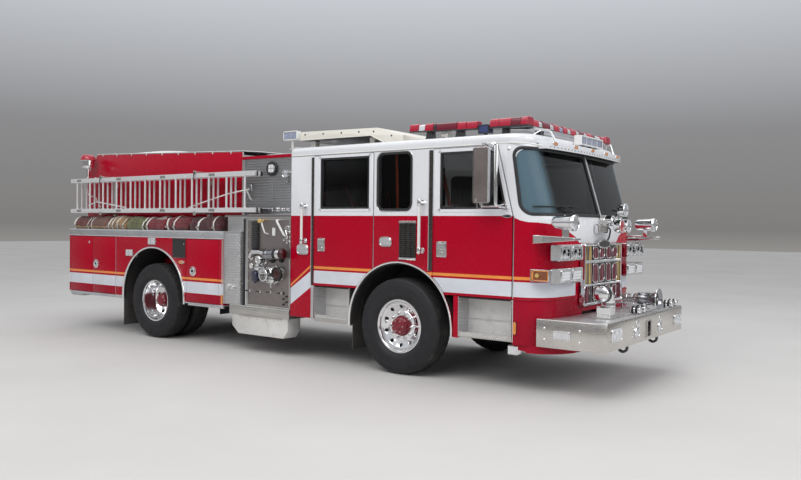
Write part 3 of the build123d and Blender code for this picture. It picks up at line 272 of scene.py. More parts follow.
VINYL = finish_mat("white_vinyl", (0.76, 0.76, 0.755), 0.50, var=0.04, var_scale=3, rvar=0.10, bump=0.25, bscale=420, bdist=0.0005, sheen=0.15, dark=((0.62, 0.61, 0.58), 4, 0.4))
NAVY = finish_mat("navy_plastic", (0.02, 0.03, 0.10), 0.30, coat=0.4, var=0.2, var_scale=8, rvar=0.08, bump=0.05, bscale=200, bdist=0.0004)
STRAP = wave_mat("strap_webbing", (0.72, 0.70, 0.66), 0.75, 0.0, 0, 0.005, 0.4, 0.0006, dark=0.35, second=(2, 0.005, True))
GOLD = finish_mat("gold_film", (0.72, 0.50, 0.16), 0.38, metal=0.4, coat=0.3, var=0.1, var_scale=20, rvar=0.08, bump=0.03, bscale=300, bdist=0.0003)
STAR_BLUE = finish_mat("blue_film", (0.03, 0.05, 0.26), 0.36, coat=0.3, var=0.1, var_scale=12, rvar=0.08, bump=0.03, bscale=300, bdist=0.0003)


def hose_mat(name, color):
    """Woven jacket: crossed ribs with faded patches."""
    m, nt, p = new_mat(name)
    co = coords(nt)
    x, y, z = split(nt, co)
    w = math_node(nt, "MULTIPLY", math_node(nt, "SINE", math_node(nt, "MULTIPLY", x, 2 * math.pi / 0.007)),
                  math_node(nt, "SINE", math_node(nt, "MULTIPLY", math_node(nt, "ADD", y, z), 2 * math.pi / 0.007)))
    n1, n2 = noise(nt, co, 9.0, 5.0, 0.6), noise(nt, co, 30.0, 4.0, 0.6)
    col = mix_color(nt, map_range(nt, n1, 0.35, 0.68, 0.0, 1.0), tuple(c * 0.62 for c in color), tuple(min(1, c * 1.3) for c in color))
    col = mix_color(nt, map_range(nt, n2, 0.56, 0.75, 0.0, 0.35), col, (0.34, 0.30, 0.25))
    # the weave's troughs are darkened towards a third of the colour: painted shade between the threads
    col = mix_color(nt, map_range(nt, w, -1, 1, 0.28, 0.0), col, tuple(c * 0.3 for c in color))
    link(nt, col, p.inputs["Base Color"])
    link(nt, map_range(nt, n2, 0.3, 0.7, 0.72, 0.92), p.inputs["Roughness"])
    p.inputs["Sheen Weight"].default_value = 0.2
    add_bump(nt, p, w, 0.6, 0.0012)
    return m


HOSE_MAROON = hose_mat("hose_maroon", (0.20, 0.020, 0.030))
HOSE_TAN = hose_mat("hose_tan", (0.36, 0.22, 0.11))
HOSE_OLIVE = hose_mat("hose_olive", (0.16, 0.17, 0.07))
HOSE_BROWN = hose_mat("hose_brown", (0.20, 0.09, 0.07))


# ------------------------------------------------------------------ mesh making
def rounded(points, radius, n=6):
    """Closed polygon with its corners rounded; radius is one number or one for each corner."""
    out = []
    k = len(points)
    rs = radius if isinstance(radius, (list, tuple)) else [radius] * k
    for i in range(k):
        p, a, b = Vector(points[i]), Vector(points[i - 1]), Vector(points[(i + 1) % k])
        if rs[i] <= 0:
            out.append(tuple(p))
            continue
        u, w = (a - p).normalized(), (b - p).normalized()
        half = math.acos(max(-1, min(1, u.dot(w)))) / 2
        r = min(rs[i], 0.49 * min((a - p).length, (b - p).length) * math.tan(half))
        d = r / math.tan(half)
        c = p + (u + w).normalized() * (r / math.sin(half))
        s, e = p + u * d - c, p + w * d - c
        a0 = math.atan2(s.y, s.x)
        da = math.atan2(e.y, e.x) - a0
        while da > math.pi:
            da -= 2 * math.pi
        while da < -math.pi:
            da += 2 * math.pi
        for j in range(n + 1):
            t = a0 + da * j / n
            out.append((c.x + r * math.cos(t), c.y + r * math.sin(t)))
    return out


def inset(points, d):
    """Closed polygon moved inward by d, corner by corner."""
    k = len(points)
    area = sum(points[i - 1][0] * points[i][1] - points[i][0] * points[i - 1][1] for i in range(k))
    sg = 1 if area > 0 else -1
    out = []
    for i in range(k):
        p, a, b = Vector(points[i]), Vector(points[i - 1]), Vector(points[(i + 1) % k])
        e1, e2 = (p - a).normalized(), (b - p).normalized()
        n1, n2 = Vector((-e1.y, e1.x)) * sg, Vector((-e2.y, e2.x)) * sg
        m = n1 + n2
        q = m.length_squared
        m = n1 if q < 0.05 else m * (2 / q)
        out.append(tuple(p + m * d))
    return out


def circle(cx, cy, r, n=32, start=0.0):
    return [(cx + r * math.cos(start + 2 * math.pi * i / n), cy + r * math.sin(start + 2 * math.pi * i / n)) for i in range(n)]


def bent(points, radius, n=5):
    """Open path in space with its corners rounded."""
    pts = [Vector(p) for p in points]
    out = [pts[0]]
    for i in range(1, len(pts) - 1):
        p, a, b = pts[i], pts[i - 1], pts[i + 1]
        u, w = (a - p).normalized(), (b - p).normalized()
        ang = math.acos(max(-1, min(1, u.dot(w))))
        if ang > math.pi - 0.02:
            out.append(p)
            continue
        r = min(radius, 0.45 * min((a - p).length, (b - p).length) * math.tan(ang / 2))
        d = r / math.tan(ang / 2)
        s, e = p + u * d, p + w * d
        for j in range(n + 1):
            t = j / n
            out.append((1 - t) ** 2 * s + 2 * t * (1 - t) * p + t * t * e)
    out.append(pts[-1])
    return out


class Piece:
    """Gathers the faces of one piece, in millimetres, each with its material."""

    def __init__(self):
        self.v, self.f, self.m, self.mats = [], [], [], []

    def add(self, verts, faces, mat):
        o = len(self.v)
        self.v += [tuple(p) for p in verts]
        if mat not in self.mats:
            self.mats.append(mat)
        k = self.mats.index(mat)
        for f in faces:
            self.f.append([o + i for i in f])
            self.m.append(k)
        return self

    def box(self, x0, x1, y0, y1, z0, z1, mat, bev=2.0, turn=None, at=None):
        """Block with chamfered edges; turn is a rotation matrix about at."""
        x0, x1 = min(x0, x1), max(x0, x1)
        y0, y1 = min(y0, y1), max(y0, y1)
        z0, z1 = min(z0, z1), max(z0, z1)
        b = min(bev, 0.3 * min(x1 - x0, y1 - y0, z1 - z0))
        V, idx, F = [], {}, []
        for i, x in enumerate((x0, x1)):
            for j, y in enumerate((y0, y1)):
                for k, z in enumerate((z0, z1)):
                    dx, dy, dz = (b if i == 0 else -b), (b if j == 0 else -b), (b if k == 0 else -b)
                    idx[i, j, k] = (len(V), len(V) + 1, len(V) + 2)
                    V += [(x, y + dy, z + dz), (x + dx, y, z + dz), (x + dx, y + dy, z)]
        for i in (0, 1):
            F.append([idx[i, 0, 0][0], idx[i, 1, 0][0], idx[i, 1, 1][0], idx[i, 0, 1][0]])
            F.append([idx[0, i, 0][1], idx[1, i, 0][1], idx[1, i, 1][1], idx[0, i, 1][1]])
            F.append([idx[0, 0, i][2], idx[1, 0, i][2], idx[1, 1, i][2], idx[0, 1, i][2]])
        for a in (0, 1):
            for c in (0, 1):
                F.append([idx[0, a, c][1], idx[1, a, c][1], idx[1, a, c][2], idx[0, a, c][2]])
                F.append([idx[a, 0, c][0], idx[a, 1, c][0], idx[a, 1, c][2], idx[a, 0, c][2]])
                F.append([idx[a, c, 0][0], idx[a, c, 1][0], idx[a, c, 1][1], idx[a, c, 0][1]])
                for e in (0, 1):
                    F.append(list(idx[a, c, e]))
        if turn is not None:
            at = Vector(at)
            V = [turn @ (Vector(p) - at) + at for p in V]
        return self.add(V, F, mat)

    def lathe(self, origin, axis, pts, mat, n=32, closed=False, ref=None):
        """Turned shape; pts are (along the axis, radius). A radius of 0 closes the end."""
        o, a = Vector(origin), Vector(axis).normalized()
        r0 = Vector(ref) if ref else (Vector((0, 0, 1)) if abs(a.z) < 0.9 else Vector((1, 0, 0)))
        u = (r0 - a * r0.dot(a)).normalized()
        w = a.cross(u)
        V, F, rings = [], [], []
        for t, r in pts:
            if r <= 1e-6:
                rings.append([len(V)])
                V.append(o + a * t)
            else:
                rings.append(list(range(len(V), len(V) + n)))
                for i in range(n):
                    c = 2 * math.pi * i / n
                    V.append(o + a * t + (u * math.cos(c) + w * math.sin(c)) * r)
        pairs = list(zip(rings, rings[1:]))
        if closed:
            pairs.append((rings[-1], rings[0]))
        for A, C in pairs:
            if len(A) == 1 and len(C) == 1:
                continue
            for i in range(n):
                j = (i + 1) % n
                if len(A) == 1:
                    F.append([A[0], C[i], C[j]])
                elif len(C) == 1:
                    F.append([A[i], A[j], C[0]])
                else:
                    F.append([A[i], A[j], C[j], C[i]])
        return self.add(V, F, mat)

    def cyl(self, p, axis, r, length, mat, n=24, bev=1.5, r2=None):
        r2 = r if r2 is None else r2
        b = min(bev, 0.3 * length, 0.3 * min(r, r2)) if bev else 0
        pts = [(0, 0), (0, r - b), (b, r), (length - b, r2), (length, r2 - b), (length, 0)] if b else [(0, 0), (0, r), (length, r2), (length, 0)]
        return self.lathe(p, axis, pts, mat, n)

    def tube(self, path, r, mat, n=10, caps=True, closed=False, squash=1.0):
        P = [Vector(p) for p in path]
        k = len(P)
        V, F = [], []
        t0 = (P[1] - P[0]).normalized()
        up = Vector((0, 0, 1)) if abs(t0.z) < 0.9 else Vector((1, 0, 0))
        u = (up - t0 * up.dot(t0)).normalized()
        for i in range(k):
            if closed:
                t = (P[(i + 1) % k] - P[i - 1]).normalized()
            else:
                t = (P[min(i + 1, k - 1)] - P[max(i - 1, 0)]).normalized()
            u = (u - t * u.dot(t)).normalized()
            w = t.cross(u)
            rr = r[i] if isinstance(r, (list, tuple)) else r
            for j in range(n):
                c = 2 * math.pi * j / n
                V.append(P[i] + u * math.cos(c) * rr * squash + w * math.sin(c) * rr)
        for i in range(k - 1 + (1 if closed else 0)):
            a, b = i * n, ((i + 1) % k) * n
            for j in range(n):
                F.append([a + j, a + (j + 1) % n, b + (j + 1) % n, b + j])
        if caps and not closed:
            F.append(list(range(n))[::-1])
            F.append(list(range((k - 1) * n, k * n)))
        return self.add(V, F, mat)

    def prism(self, poly, axis, a0, a1, mat, bev=1.5, holes=(), cap_mat=None):
        """Plate: a polygon pushed along an axis from a0 to a1, edges chamfered. Holes are polygons too."""
        a0, a1 = min(a0, a1), max(a0, a1)
        put = {"x": lambda p, t: (t, p[0], p[1]), "y": lambda p, t: (p[0], t, p[1]), "z": lambda p, t: (p[0], p[1], t)}[axis]
        b = min(bev, 0.3 * (a1 - a0))
        loops = [list(poly)] + [list(h) for h in holes]
        ins = [inset(loops[0], b)] + [inset(h, -b) for h in loops[1:]] if b else loops
        for li, (L, I) in enumerate(zip(loops, ins)):
            k = len(L)
            rows = [(I, a0), (L, a0 + b), (L, a1 - b), (I, a1)] if b else [(L, a0), (L, a1)]
            V = [put(p, t) for ring, t in rows for p in ring]
            F = []
            for r in range(len(rows) - 1):
                for i in range(k):
                    j = (i + 1) % k
                    F.append([r * k + i, r * k + j, (r + 1) * k + j, (r + 1) * k + i])
            self.add(V, F, mat)
        flat = [[Vector((p[0], p[1], 0)) for p in I] for I in ins]
        allp = [p for I in ins for p in I]
        if holes:
            tris = [list(t) for t in tessellate_polygon(flat)]
        else:
            tris = [list(range(len(allp)))]
        for t in (a0, a1):
            self.add([put(p, t) for p in allp], tris, cap_mat or mat)
        return self

    def frame(self, poly, width, axis, a0, a1, mat, bev=1.0):
        """Ring along a polygon, outward edge on the polygon, of one width."""
        inner = inset(poly, width)
        b = min(bev, 0.3 * abs(a1 - a0), 0.3 * abs(width))
        put = {"x": lambda p, t: (t, p[0], p[1]), "y": lambda p, t: (p[0], t, p[1]), "z": lambda p, t: (p[0], p[1], t)}[axis]
        sg = 1 if a1 > a0 else -1
        bb = b * (1 if width > 0 else -1)
        rows = [(poly, a0), (poly, a1 - sg * b), (inset(poly, bb), a1), (inset(inner, -bb), a1), (inner, a1 - sg * b), (inner, a0)]
        k = len(poly)
        V = [put(p, t) for ring, t in rows for p in ring]
        F = []
        for r in range(len(rows)):
            s = (r + 1) % len(rows)
            for i in range(k):
                j = (i + 1) % k
                F.append([r * k + i, r * k + j, s * k + j, s * k + i])
        return self.add(V, F, mat)

    def mirror_y(self):
        """The same faces again on the other side."""
        v, f, m = list(self.v), [list(x) for x in self.f], list(self.m)
        o = len(self.v)
        self.v += [(x, -y, z) for x, y, z in v]
        self.f += [[o + i for i in x][::-1] for x in f]
        self.m += m
        return self

    def done(self, name, body, slot=None, smooth=34, keep_normals=False):
        me = bpy.data.meshes.new(name)
        me.from_pydata([(x * MM, y * MM, z * MM) for x, y, z in self.v], [], self.f)
        for mt in self.mats:
            me.materials.append(mt)
        me.polygons.foreach_set("material_index", self.m)
        bm = bmesh.new()
        bm.from_mesh(me)
        bmesh.ops.remove_doubles(bm, verts=bm.verts, dist=1e-6)
        tidy(bm, smooth, keep_normals)
        bm.to_mesh(me)
        bm.free()
        return place(me, name, body)


def tidy(bm, smooth=34, keep_normals=False):
    if not keep_normals:
        bmesh.ops.recalc_face_normals(bm, faces=bm.faces)
    lim = math.radians(smooth)
    for f in bm.faces:
        f.smooth = True
    for e in bm.edges:
        e.smooth = len(e.link_faces) == 2 and e.calc_face_angle(0.0) < lim


def place(me, name, body):
    me.update()
    o = bpy.data.objects.new(name, me)
    bpy.context.scene.collection.objects.link(o)
    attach(o, body)
    return o


def body_of_node(node):
    return N[node]["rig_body"]


def copy_node(node, name, paint, mats, planes=(), bevel=2.5, smooth=34, drop=None):
    """A CAD node's own shape with softened edges, cut along paint lines; paint(c, n) gives the material's number
    for a face centre in millimetres. planes are (point, normal, test), where test picks the faces to cut."""
    bm = bmesh.new()
    bm.from_mesh(N[node].data)
    bmesh.ops.remove_doubles(bm, verts=bm.verts, dist=3e-5)
    bmesh.ops.dissolve_limit(bm, angle_limit=math.radians(0.5), verts=bm.verts, edges=bm.edges)
    if drop:
        bmesh.ops.delete(bm, geom=[f for f in bm.faces if drop(f.calc_center_median() * 1000, f.normal)], context="FACES")
    if bevel:
        es = [e for e in bm.edges if len(e.link_faces) == 2 and e.calc_face_angle(0.0) > math.radians(28)]
        bmesh.ops.bevel(bm, geom=es, offset=bevel * MM, segments=2, profile=0.5, affect="EDGES", clamp_overlap=True)
    for point, normal, test in planes:
        fs = [f for f in bm.faces if test is None or test(f.calc_center_median() * 1000)]
        geom = list({g for f in fs for g in (*f.verts, *f.edges, f)})
        bmesh.ops.bisect_plane(bm, geom=geom, plane_co=Vector(point) * MM, plane_no=Vector(normal), dist=1e-6)
    for f in bm.faces:
        f.material_index = paint(f.calc_center_median() * 1000, f.normal)
    tidy(bm, smooth, True)
    me = bpy.data.meshes.new(name)
    bm.to_mesh(me)
    bm.free()
    for mt in mats:
        me.materials.append(mt)
    o = place(me, name, body_of_node(node))
    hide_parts(node)
    return o


def finish_node(node, *mats):
    """A CAD node that stays as it is gets its finish."""
    o = N[node]
    o.data.materials.clear()
    for mt in mats:
        o.data.materials.append(mt)


# ------------------------------------------------------------------ camera, light, floor
cam = bpy.data.cameras.new("camera")
cam_o = bpy.data.objects.new("camera", cam)
bpy.context.scene.collection.objects.link(cam_o)
yaw, pitch, roll = math.radians(36.332), math.radians(-0.963), math.radians(0.663)
cam_o.location = (7.2246, -8.1247, 1.6431)
look = Vector((-math.sin(yaw) * math.cos(pitch), math.cos(yaw) * math.cos(pitch), math.sin(pitch)))
right = Vector((math.cos(yaw), math.sin(yaw), 0.0))
up = right.cross(look)
r2 = right * math.cos(roll) + up * math.sin(roll)
u2 = up * math.cos(roll) - right * math.sin(roll)
cam_o.rotation_mode = "QUATERNION"
cam_o.rotation_quaternion = Matrix((r2, u2, -look)).transposed().to_quaternion()
cam.sensor_width = 36.0
cam.lens = 775.96 / 801 * 36.0
cam.clip_end = 200.0
bpy.context.scene.camera = cam_o
bpy.context.scene.view_settings.view_transform = "Standard"

world = bpy.data.worlds.new("studio")
world.use_nodes = True
wt = world.node_tree
wbg = wt.nodes["Background"]
wz = split(wt, wt.nodes.new("ShaderNodeTexCoord").outputs["Generated"])[2]
ramp = wt.nodes.new("ShaderNodeValToRGB")
ramp.color_ramp.elements[0].position = 0.0
ramp.color_ramp.elements[0].color = (0.62, 0.60, 0.58, 1)
ramp.color_ramp.elements[1].position = 1.0
ramp.color_ramp.elements[1].color = (1.0, 1.0, 1.0, 1)
for pos, c in ((0.47, (0.55, 0.54, 0.52)), (0.50, (0.30, 0.29, 0.28)), (0.56, (0.36, 0.36, 0.37)), (0.64, (0.80, 0.83, 0.88))):
    e = ramp.color_ramp.elements.new(pos)
    e.color = (*c, 1)
link(wt, map_range(wt, wz, -1.0, 1.0, 0.0, 1.0), ramp.inputs["Fac"])
link(wt, ramp.outputs["Color"], wbg.inputs["Color"])
wbg.inputs["Strength"].default_value = 0.72
bpy.context.scene.world = world


def area_light(name, loc, target, size, power, color=(1, 1, 1)):
    d = bpy.data.lights.new(name, "AREA")
    d.shape, d.size, d.size_y, d.energy, d.color = "RECTANGLE", size[0], size[1], power, color
    o = bpy.data.objects.new(name, d)
    o.location = loc
    o.rotation_mode = "QUATERNION"
    o.rotation_quaternion = (Vector(target) - Vector(loc)).to_track_quat("-Z", "Y")
    bpy.context.scene.collection.objects.link(o)


area_light("key", (3.0, -9.0, 11.0), (0.5, 0.0, 1.0), (12, 8), 820, (1.0, 0.99, 0.97))
area_light("top", (0.0, 3.0, 13.0), (0.0, 0.0, 1.0), (14, 10), 420, (0.97, 0.98, 1.0))
area_light("front", (14.0, -1.0, 6.0), (3.0, 0.0, 1.4), (8, 6), 380, (1.0, 1.0, 1.0))

floor_m, floor_nt, floor_p = new_mat("studio_floor")
fco = coords(floor_nt)
link(floor_nt, mix_color(floor_nt, map_range(floor_nt, noise(floor_nt, fco, 0.35, 4.0), 0.3, 0.7, 0.0, 1.0), (0.56, 0.55, 0.54), (0.62, 0.61, 0.60)), floor_p.inputs["Base Color"])
floor_p.inputs["Roughness"].default_value = 0.8
add_bump(floor_nt, floor_p, noise(floor_nt, fco, 60.0, 4.0), 0.08, 0.002)
fm = bpy.data.meshes.new("studio_floor")
fm.from_pydata([(-60, -60, 0), (60, -60, 0), (60, 60, 0), (-60, 60, 0)], [], [(0, 1, 2, 3)])
fm.materials.append(floor_m)
floor = bpy.data.objects.new("studio_floor", fm)
bpy.context.scene.collection.objects.link(floor)

# ------------------------------------------------------------------ painted shells
TWO_TONE = 1766.0
BAND = (958.0, 1108.0)          # white band, cab
LINE = (1130.0, 1160.0)         # orange line, cab
BODY_BAND = (701.0, 856.0)      # white band, locker body
BODY_LINE = (884.0, 914.0)
CAB_PAINT = [RED, WHITE, REFLECT_WHITE, REFLECT_ORANGE, INTERIOR, RED_SHADED, GLASS_DARK, SEAL, STEEL, GLASS]
P_RED, P_WHITE, P_BAND, P_LINE, P_IN, P_SHADED, P_GLASS, P_SEAL, P_STEEL, P_WIND = range(10)


def band_planes(levels, test=None):
    return [((0, 0, z), (0, 0, 1), test) for z in levels]


# two diagonal stripes on the rear corner panel: height at x 470 and at x 811
DIAG = {"line": ((896, 1150), (921, 1176)), "band": ((672, 906), (872, 1102))}


def diag_z(row, x):
    a, b = row
    return a + (b - a) * (x - 470.0) / 341.0


def cab_side_paint(c, n):
    if abs(c.y) < 1165 and abs(n.y) > 0.7 and n.y * c.y < 0:
        return P_IN
    if c.z > TWO_TONE:
        return P_WHITE
    if 470 < c.x < 812 and abs(c.y) > 1150:
        for k, out in (("band", P_BAND), ("line", P_LINE)):
            if diag_z(DIAG[k][0], c.x) < c.z < diag_z(DIAG[k][1], c.x):
                return out
        return P_RED
    if c.x > 2500 and BAND[0] < c.z < BAND[1] or LINE[0] < c.z < LINE[1] and c.x > 860:
        return P_BAND if c.z < 1120 else P_LINE
    return P_RED


def in_corner(c):
    return 470 <= c.x < 830


diag_planes = [((811, 0, 0), (1, 0, 0), lambda c: c.x < 870)]
for rows in DIAG.values():
    for a, b in rows:
        diag_planes.append(((470, 0, a), (-(b - a), 0, 341), lambda c: 470 <= c.x <= 811))
cab_sides = copy_node("cab_sides", "cab_side_panels", cab_side_paint, CAB_PAINT,
                      planes=band_planes((TWO_TONE,)) + diag_planes + band_planes((*LINE, *BAND), lambda c: c.x > 812), bevel=3.0)


def door_paint(c, n):
    y = abs(c.y)
    if 1193.5 < y < 1200.5 and 1800 < c.z < 2470:
        edge = abs(n.y) < 0.5
        return P_GLASS if not edge else P_SEAL
    if y < 1163 and n.y * c.y < 0:
        return P_IN
    if c.z > TWO_TONE:
        return P_WHITE
    if BAND[0] < c.z < BAND[1]:
        return P_BAND
    if LINE[0] < c.z < LINE[1]:
        return P_LINE
    return P_RED


for side, s in sides:
    for d in ("crew", "front"):
        copy_node(f"{d}_{side}_door", f"{d}_{side}_door_panel", door_paint, CAB_PAINT,
                  planes=band_planes((TWO_TONE, *LINE, *BAND)), bevel=2.0)

# nose: the white runs down in a V below the windscreen to the grille
NOSE_EDGE = ((3330, 1766), (3545, 1752), (3620, 1722), (3700, 1706), (3850, 1700))


def nose_level(c):
    """Height of the white paint's edge at a point of the nose."""
    y = abs(c.y)
    if y > 1150 or c.x < 3700:
        pts = NOSE_EDGE
        for (a, za), (b, zb) in zip(pts, pts[1:]):
            if c.x <= b:
                return za + (zb - za) * max(0.0, c.x - a) / (b - a)
        return pts[-1][1]
    for (a, za), (b, zb) in zip(((1150, 1700), (900, 1672), (600, 1560), (520, 1500)), ((900, 1672), (600, 1560), (520, 1500), (0, 1490))):
        if y >= b:
            return za + (zb - za) * (a - y) / (a - b)
    return 1490.0


def nose_paint(c, n):
    plan = Vector((n.x, n.y, 0))
    out = Vector((c.x - 3300, c.y, 0))
    if plan.length > 0.5 and plan.dot(out) < 0:
        return P_IN
    if c.z > nose_level(c):
        return P_WHITE
    if BAND[0] < c.z < BAND[1] and (abs(c.y) > 590):
        return P_BAND
    if LINE[0] < c.z < LINE[1] and c.x < 3735 and abs(c.y) > 1000:
        return P_LINE
    # below the lip the nose takes the darker red: painted shade low down
    return P_RED if c.z > 925 else P_SHADED


def nose_shell():
    """The nose with its paint edge cut along a rising and falling line."""
    bm = bmesh.new()
    bm.from_mesh(N["cab_nose"].data)
    bmesh.ops.remove_doubles(bm, verts=bm.verts, dist=3e-5)
    bmesh.ops.dissolve_limit(bm, angle_limit=math.radians(0.35), verts=bm.verts, edges=bm.edges)
    es = [e for e in bm.edges if len(e.link_faces) == 2 and e.calc_face_angle(0.0) > math.radians(40)]
    bmesh.ops.bevel(bm, geom=es, offset=0.003, segments=2, profile=0.5, affect="EDGES", clamp_overlap=True)

    def cut(p, q, test=None):
        fs = [f for f in bm.faces if test is None or test(f.calc_center_median() * 1000)]
        geom = list({g for f in fs for g in (*f.verts, *f.edges, f)})
        bmesh.ops.bisect_plane(bm, geom=geom, plane_co=Vector(p) * MM, plane_no=Vector(q), dist=1e-6)

    for z in (*LINE, *BAND, 925.0, 1480.0, 1772.0):
        cut((0, 0, z), (0, 0, 1))
    for y in (1150, 900, 590, 520):
        for s in (1, -1):
            cut((0, s * y, 0), (0, 1, 0), lambda c: c.z > 850)
    for x in (3545, 3620, 3700, 3735):
        cut((x, 0, 0), (1, 0, 0), lambda c: c.z > 900)
    # the paint edge: planes through each stretch of the line
    for (a, za), (b, zb) in zip(NOSE_EDGE[1:], NOSE_EDGE[2:]):
        cut((a, 0, za), (-(zb - za), 0, b - a), lambda c, a=a, b=b: a - 1 < c.x < b + 1 and abs(c.y) > 1150 or (c.x < 3700 and a - 1 < c.x < b + 1))
    for (a, za), (b, zb) in zip(((1150, 1700), (900, 1672), (600, 1560), (520, 1500)), ((900, 1672), (600, 1560), (520, 1500), (0, 1490))):
        for s in (1, -1):
            cut((0, s * a, za), (0, -s * (zb - za), -(a - b)), lambda c, a=a, b=b, s=s: b - 1 < s * c.y < a + 1 and c.x >= 3700)
    for f in bm.faces:
        f.material_index = nose_paint(f.calc_center_median() * 1000, f.normal)
    tidy(bm, 34, True)
    me = bpy.data.meshes.new("cab_nose_panel")
    bm.to_mesh(me)
    bm.free()
    for mt in CAB_PAINT:
        me.materials.append(mt)
    o = place(me, "cab_nose_panel", "chassis")
    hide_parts("cab_nose")
    return o


nose_shell()


def roof_paint(c, n):
    return 0 if c.z > ROOF_SPLIT or n.z > -0.5 else 1


ROOF_SPLIT = 2506.0
copy_node("cab_roof", "cab_roof_shell", roof_paint, [WHITE, INTERIOR], bevel=2.0, smooth=40)
copy_node("cab_back", "cab_back_wall", lambda c, n: 1 if n.x > 0.5 else 0, [WHITE, INTERIOR], bevel=3.0)


def body_paint(c, n):
    y = abs(c.y)
    if y < 1166 and abs(n.y) > 0.5 or (y < 1215 and n.length and (abs(n.x) > 0.5 or abs(n.z) > 0.5) and y > 660 and -4440 < c.x < -3190 and 560 < c.z < 1452) or (-1556 < c.x < -850 and y < 1215 and y > 650 and 560 < c.z < 1452):
        return 4
    r = math.hypot(c.x + 2289, max(0.0, c.z - 600))
    if r < 719.5 and y < 1218:
        return 5
    if c.z > 1450:
        return 3
    if c.z < 572:
        return 3
    if BODY_BAND[0] < c.z < BODY_BAND[1] and y > 1215:
        return 1
    if BODY_LINE[0] < c.z < BODY_LINE[1] and y > 1215:
        return 2
    # below the white band the sides take the darker red: painted shade low down
    return 0 if c.z > BODY_BAND[0] else 6


BODY_MATS = [RED, REFLECT_WHITE, REFLECT_ORANGE, ALU, STEEL, LINER, RED_SHADED]
copy_node("body_sides", "body_side_panels", body_paint, BODY_MATS, planes=band_planes((1450, 572, *BODY_BAND, *BODY_LINE)), bevel=3.0)


def locker_paint(c, n):
    if abs(c.y) < 1182 and n.y * c.y < 0:
        return 4
    if BODY_BAND[0] < c.z < BODY_BAND[1]:
        return 1
    if BODY_LINE[0] < c.z < BODY_LINE[1]:
        return 2
    # below the white band the locker doors take the darker red: painted shade low down
    return 0 if c.z > BODY_BAND[0] else 6


for side, s in sides:
    for d in ("rear", "middle", "forward"):
        copy_node(f"{d}_{side}_locker_door", f"{d}_{side}_locker_panel", locker_paint, BODY_MATS,
                  planes=band_planes((*BODY_BAND, *BODY_LINE)), bevel=3.0)


def rear_paint(c, n):
    if c.z < 556:
        return 7
    if c.x > -4455 and -4440 < c.x and abs(c.y) < 640 and c.z > 690:
        return 4
    return 0


copy_node("body_rear", "body_rear_panels", rear_paint, BODY_MATS + [TREAD_XY], bevel=3.0)
copy_node("rear_locker_door", "rear_locker_panel", lambda c, n: 4 if n.x > 0.5 else 0, BODY_MATS, bevel=3.0)
copy_node("hose_bed", "hose_bed_walls", lambda c, n: (3 if c.z > 2400 and n.z > 0.3 or (c.z > 2400 and c.x < -4180 and n.x < -0.3 and abs(n.y) < 0.3) else (4 if abs(c.y) < 890 and c.z > 1600 else 0)), BODY_MATS, bevel=3.0)

# ------------------------------------------------------------------ nodes that keep their shape
finish_node("frame_rails", CHASSIS)
finish_node("front_axle", CHASSIS)
finish_node("rear_axle", IRON)
finish_node("engine_block", IRON)
finish_node("driveline", IRON)
finish_node("fuel_tank", CHASSIS)
finish_node("left_knuckle", IRON)
finish_node("right_knuckle", IRON)
finish_node("cab_glass", GLASS)
finish_node("cab_floor", FLOOR_MAT)
finish_node("dashboard", INTERIOR)
finish_node("mudflaps", RUBBER_FLAP)

# ------------------------------------------------------------------ wheels and tyres
def interp(table, r):
    for (a, fa), (b, fb) in zip(table, table[1:]):
        if r <= b:
            return fa + (fb - fa) * max(0.0, r - a) / (b - a)
    return table[-1][1]


def holed_ring(P, at, sy, face, back, r0, r1, rc, rh, count, mat, wall, arc=8):
    """Round plate about the axle with a ring of round holes; face and back are (radius, distance along the axle)."""
    o = Vector(at)

    def pt(rad, ang, a):
        return (o.x + rad * math.cos(ang), o.y + sy * a, o.z + rad * math.sin(ang))

    half = math.pi / count
    for k in range(count):
        c0 = 2 * math.pi * k / count + half
        edge = [(r0, c0 + half * (2 * t / arc - 1)) for t in range(arc + 1)] + [(r0 + (r1 - r0) * t / 4, c0 + half) for t in (1, 2, 3)]
        edge += [(r1, c0 + half * (1 - 2 * t / arc)) for t in range(arc + 1)] + [(r0 + (r1 - r0) * t / 4, c0 - half) for t in (3, 2, 1)]
        th = [math.radians(-135 + 90 * t / arc) for t in range(arc + 1)] + [math.radians(a) for a in (-22.5, 0, 22.5)]
        th += [math.radians(45 + 90 * t / arc) for t in range(arc + 1)] + [math.radians(a) for a in (157.5, 180, 202.5)]
        m = len(edge)

        def hole(rad):
            return [(math.hypot(rc + rad * math.sin(t), rad * math.cos(t)), c0 + math.atan2(rad * math.cos(t), rc + rad * math.sin(t))) for t in th]

        rings = [[pt(r, a, interp(face, r)) for r, a in edge], [pt(r, a, interp(face, r)) for r, a in hole(rh + 4)],
                 [pt(r, a, interp(face, r) - 3) for r, a in hole(rh)], [pt(r, a, interp(back, r)) for r, a in hole(rh)],
                 [pt(r, a, interp(back, r)) for r, a in edge]]
        for q, mt in ((0, mat), (1, mat), (2, wall), (3, wall)):
            P.add(rings[q] + rings[q + 1], [[i, (i + 1) % m, m + (i + 1) % m, m + i] for i in range(m)], mt)


def nuts(P, at, s, ring_r, count, base, mat, length=42.0, r=17.0):
    for k in range(count):
        a = 2 * math.pi * (k + 0.5) / count + 0.31
        p = (at[0] + ring_r * math.cos(a), at[1] + s * base, at[2] + ring_r * math.sin(a))
        P.lathe(p, (0, s, 0), [(0, r + 4), (5, r + 4), (6, r), (10, r), (12, r - 3), (length - 8, r - 5), (length - 2, r - 9), (length, 0)], mat, 12)


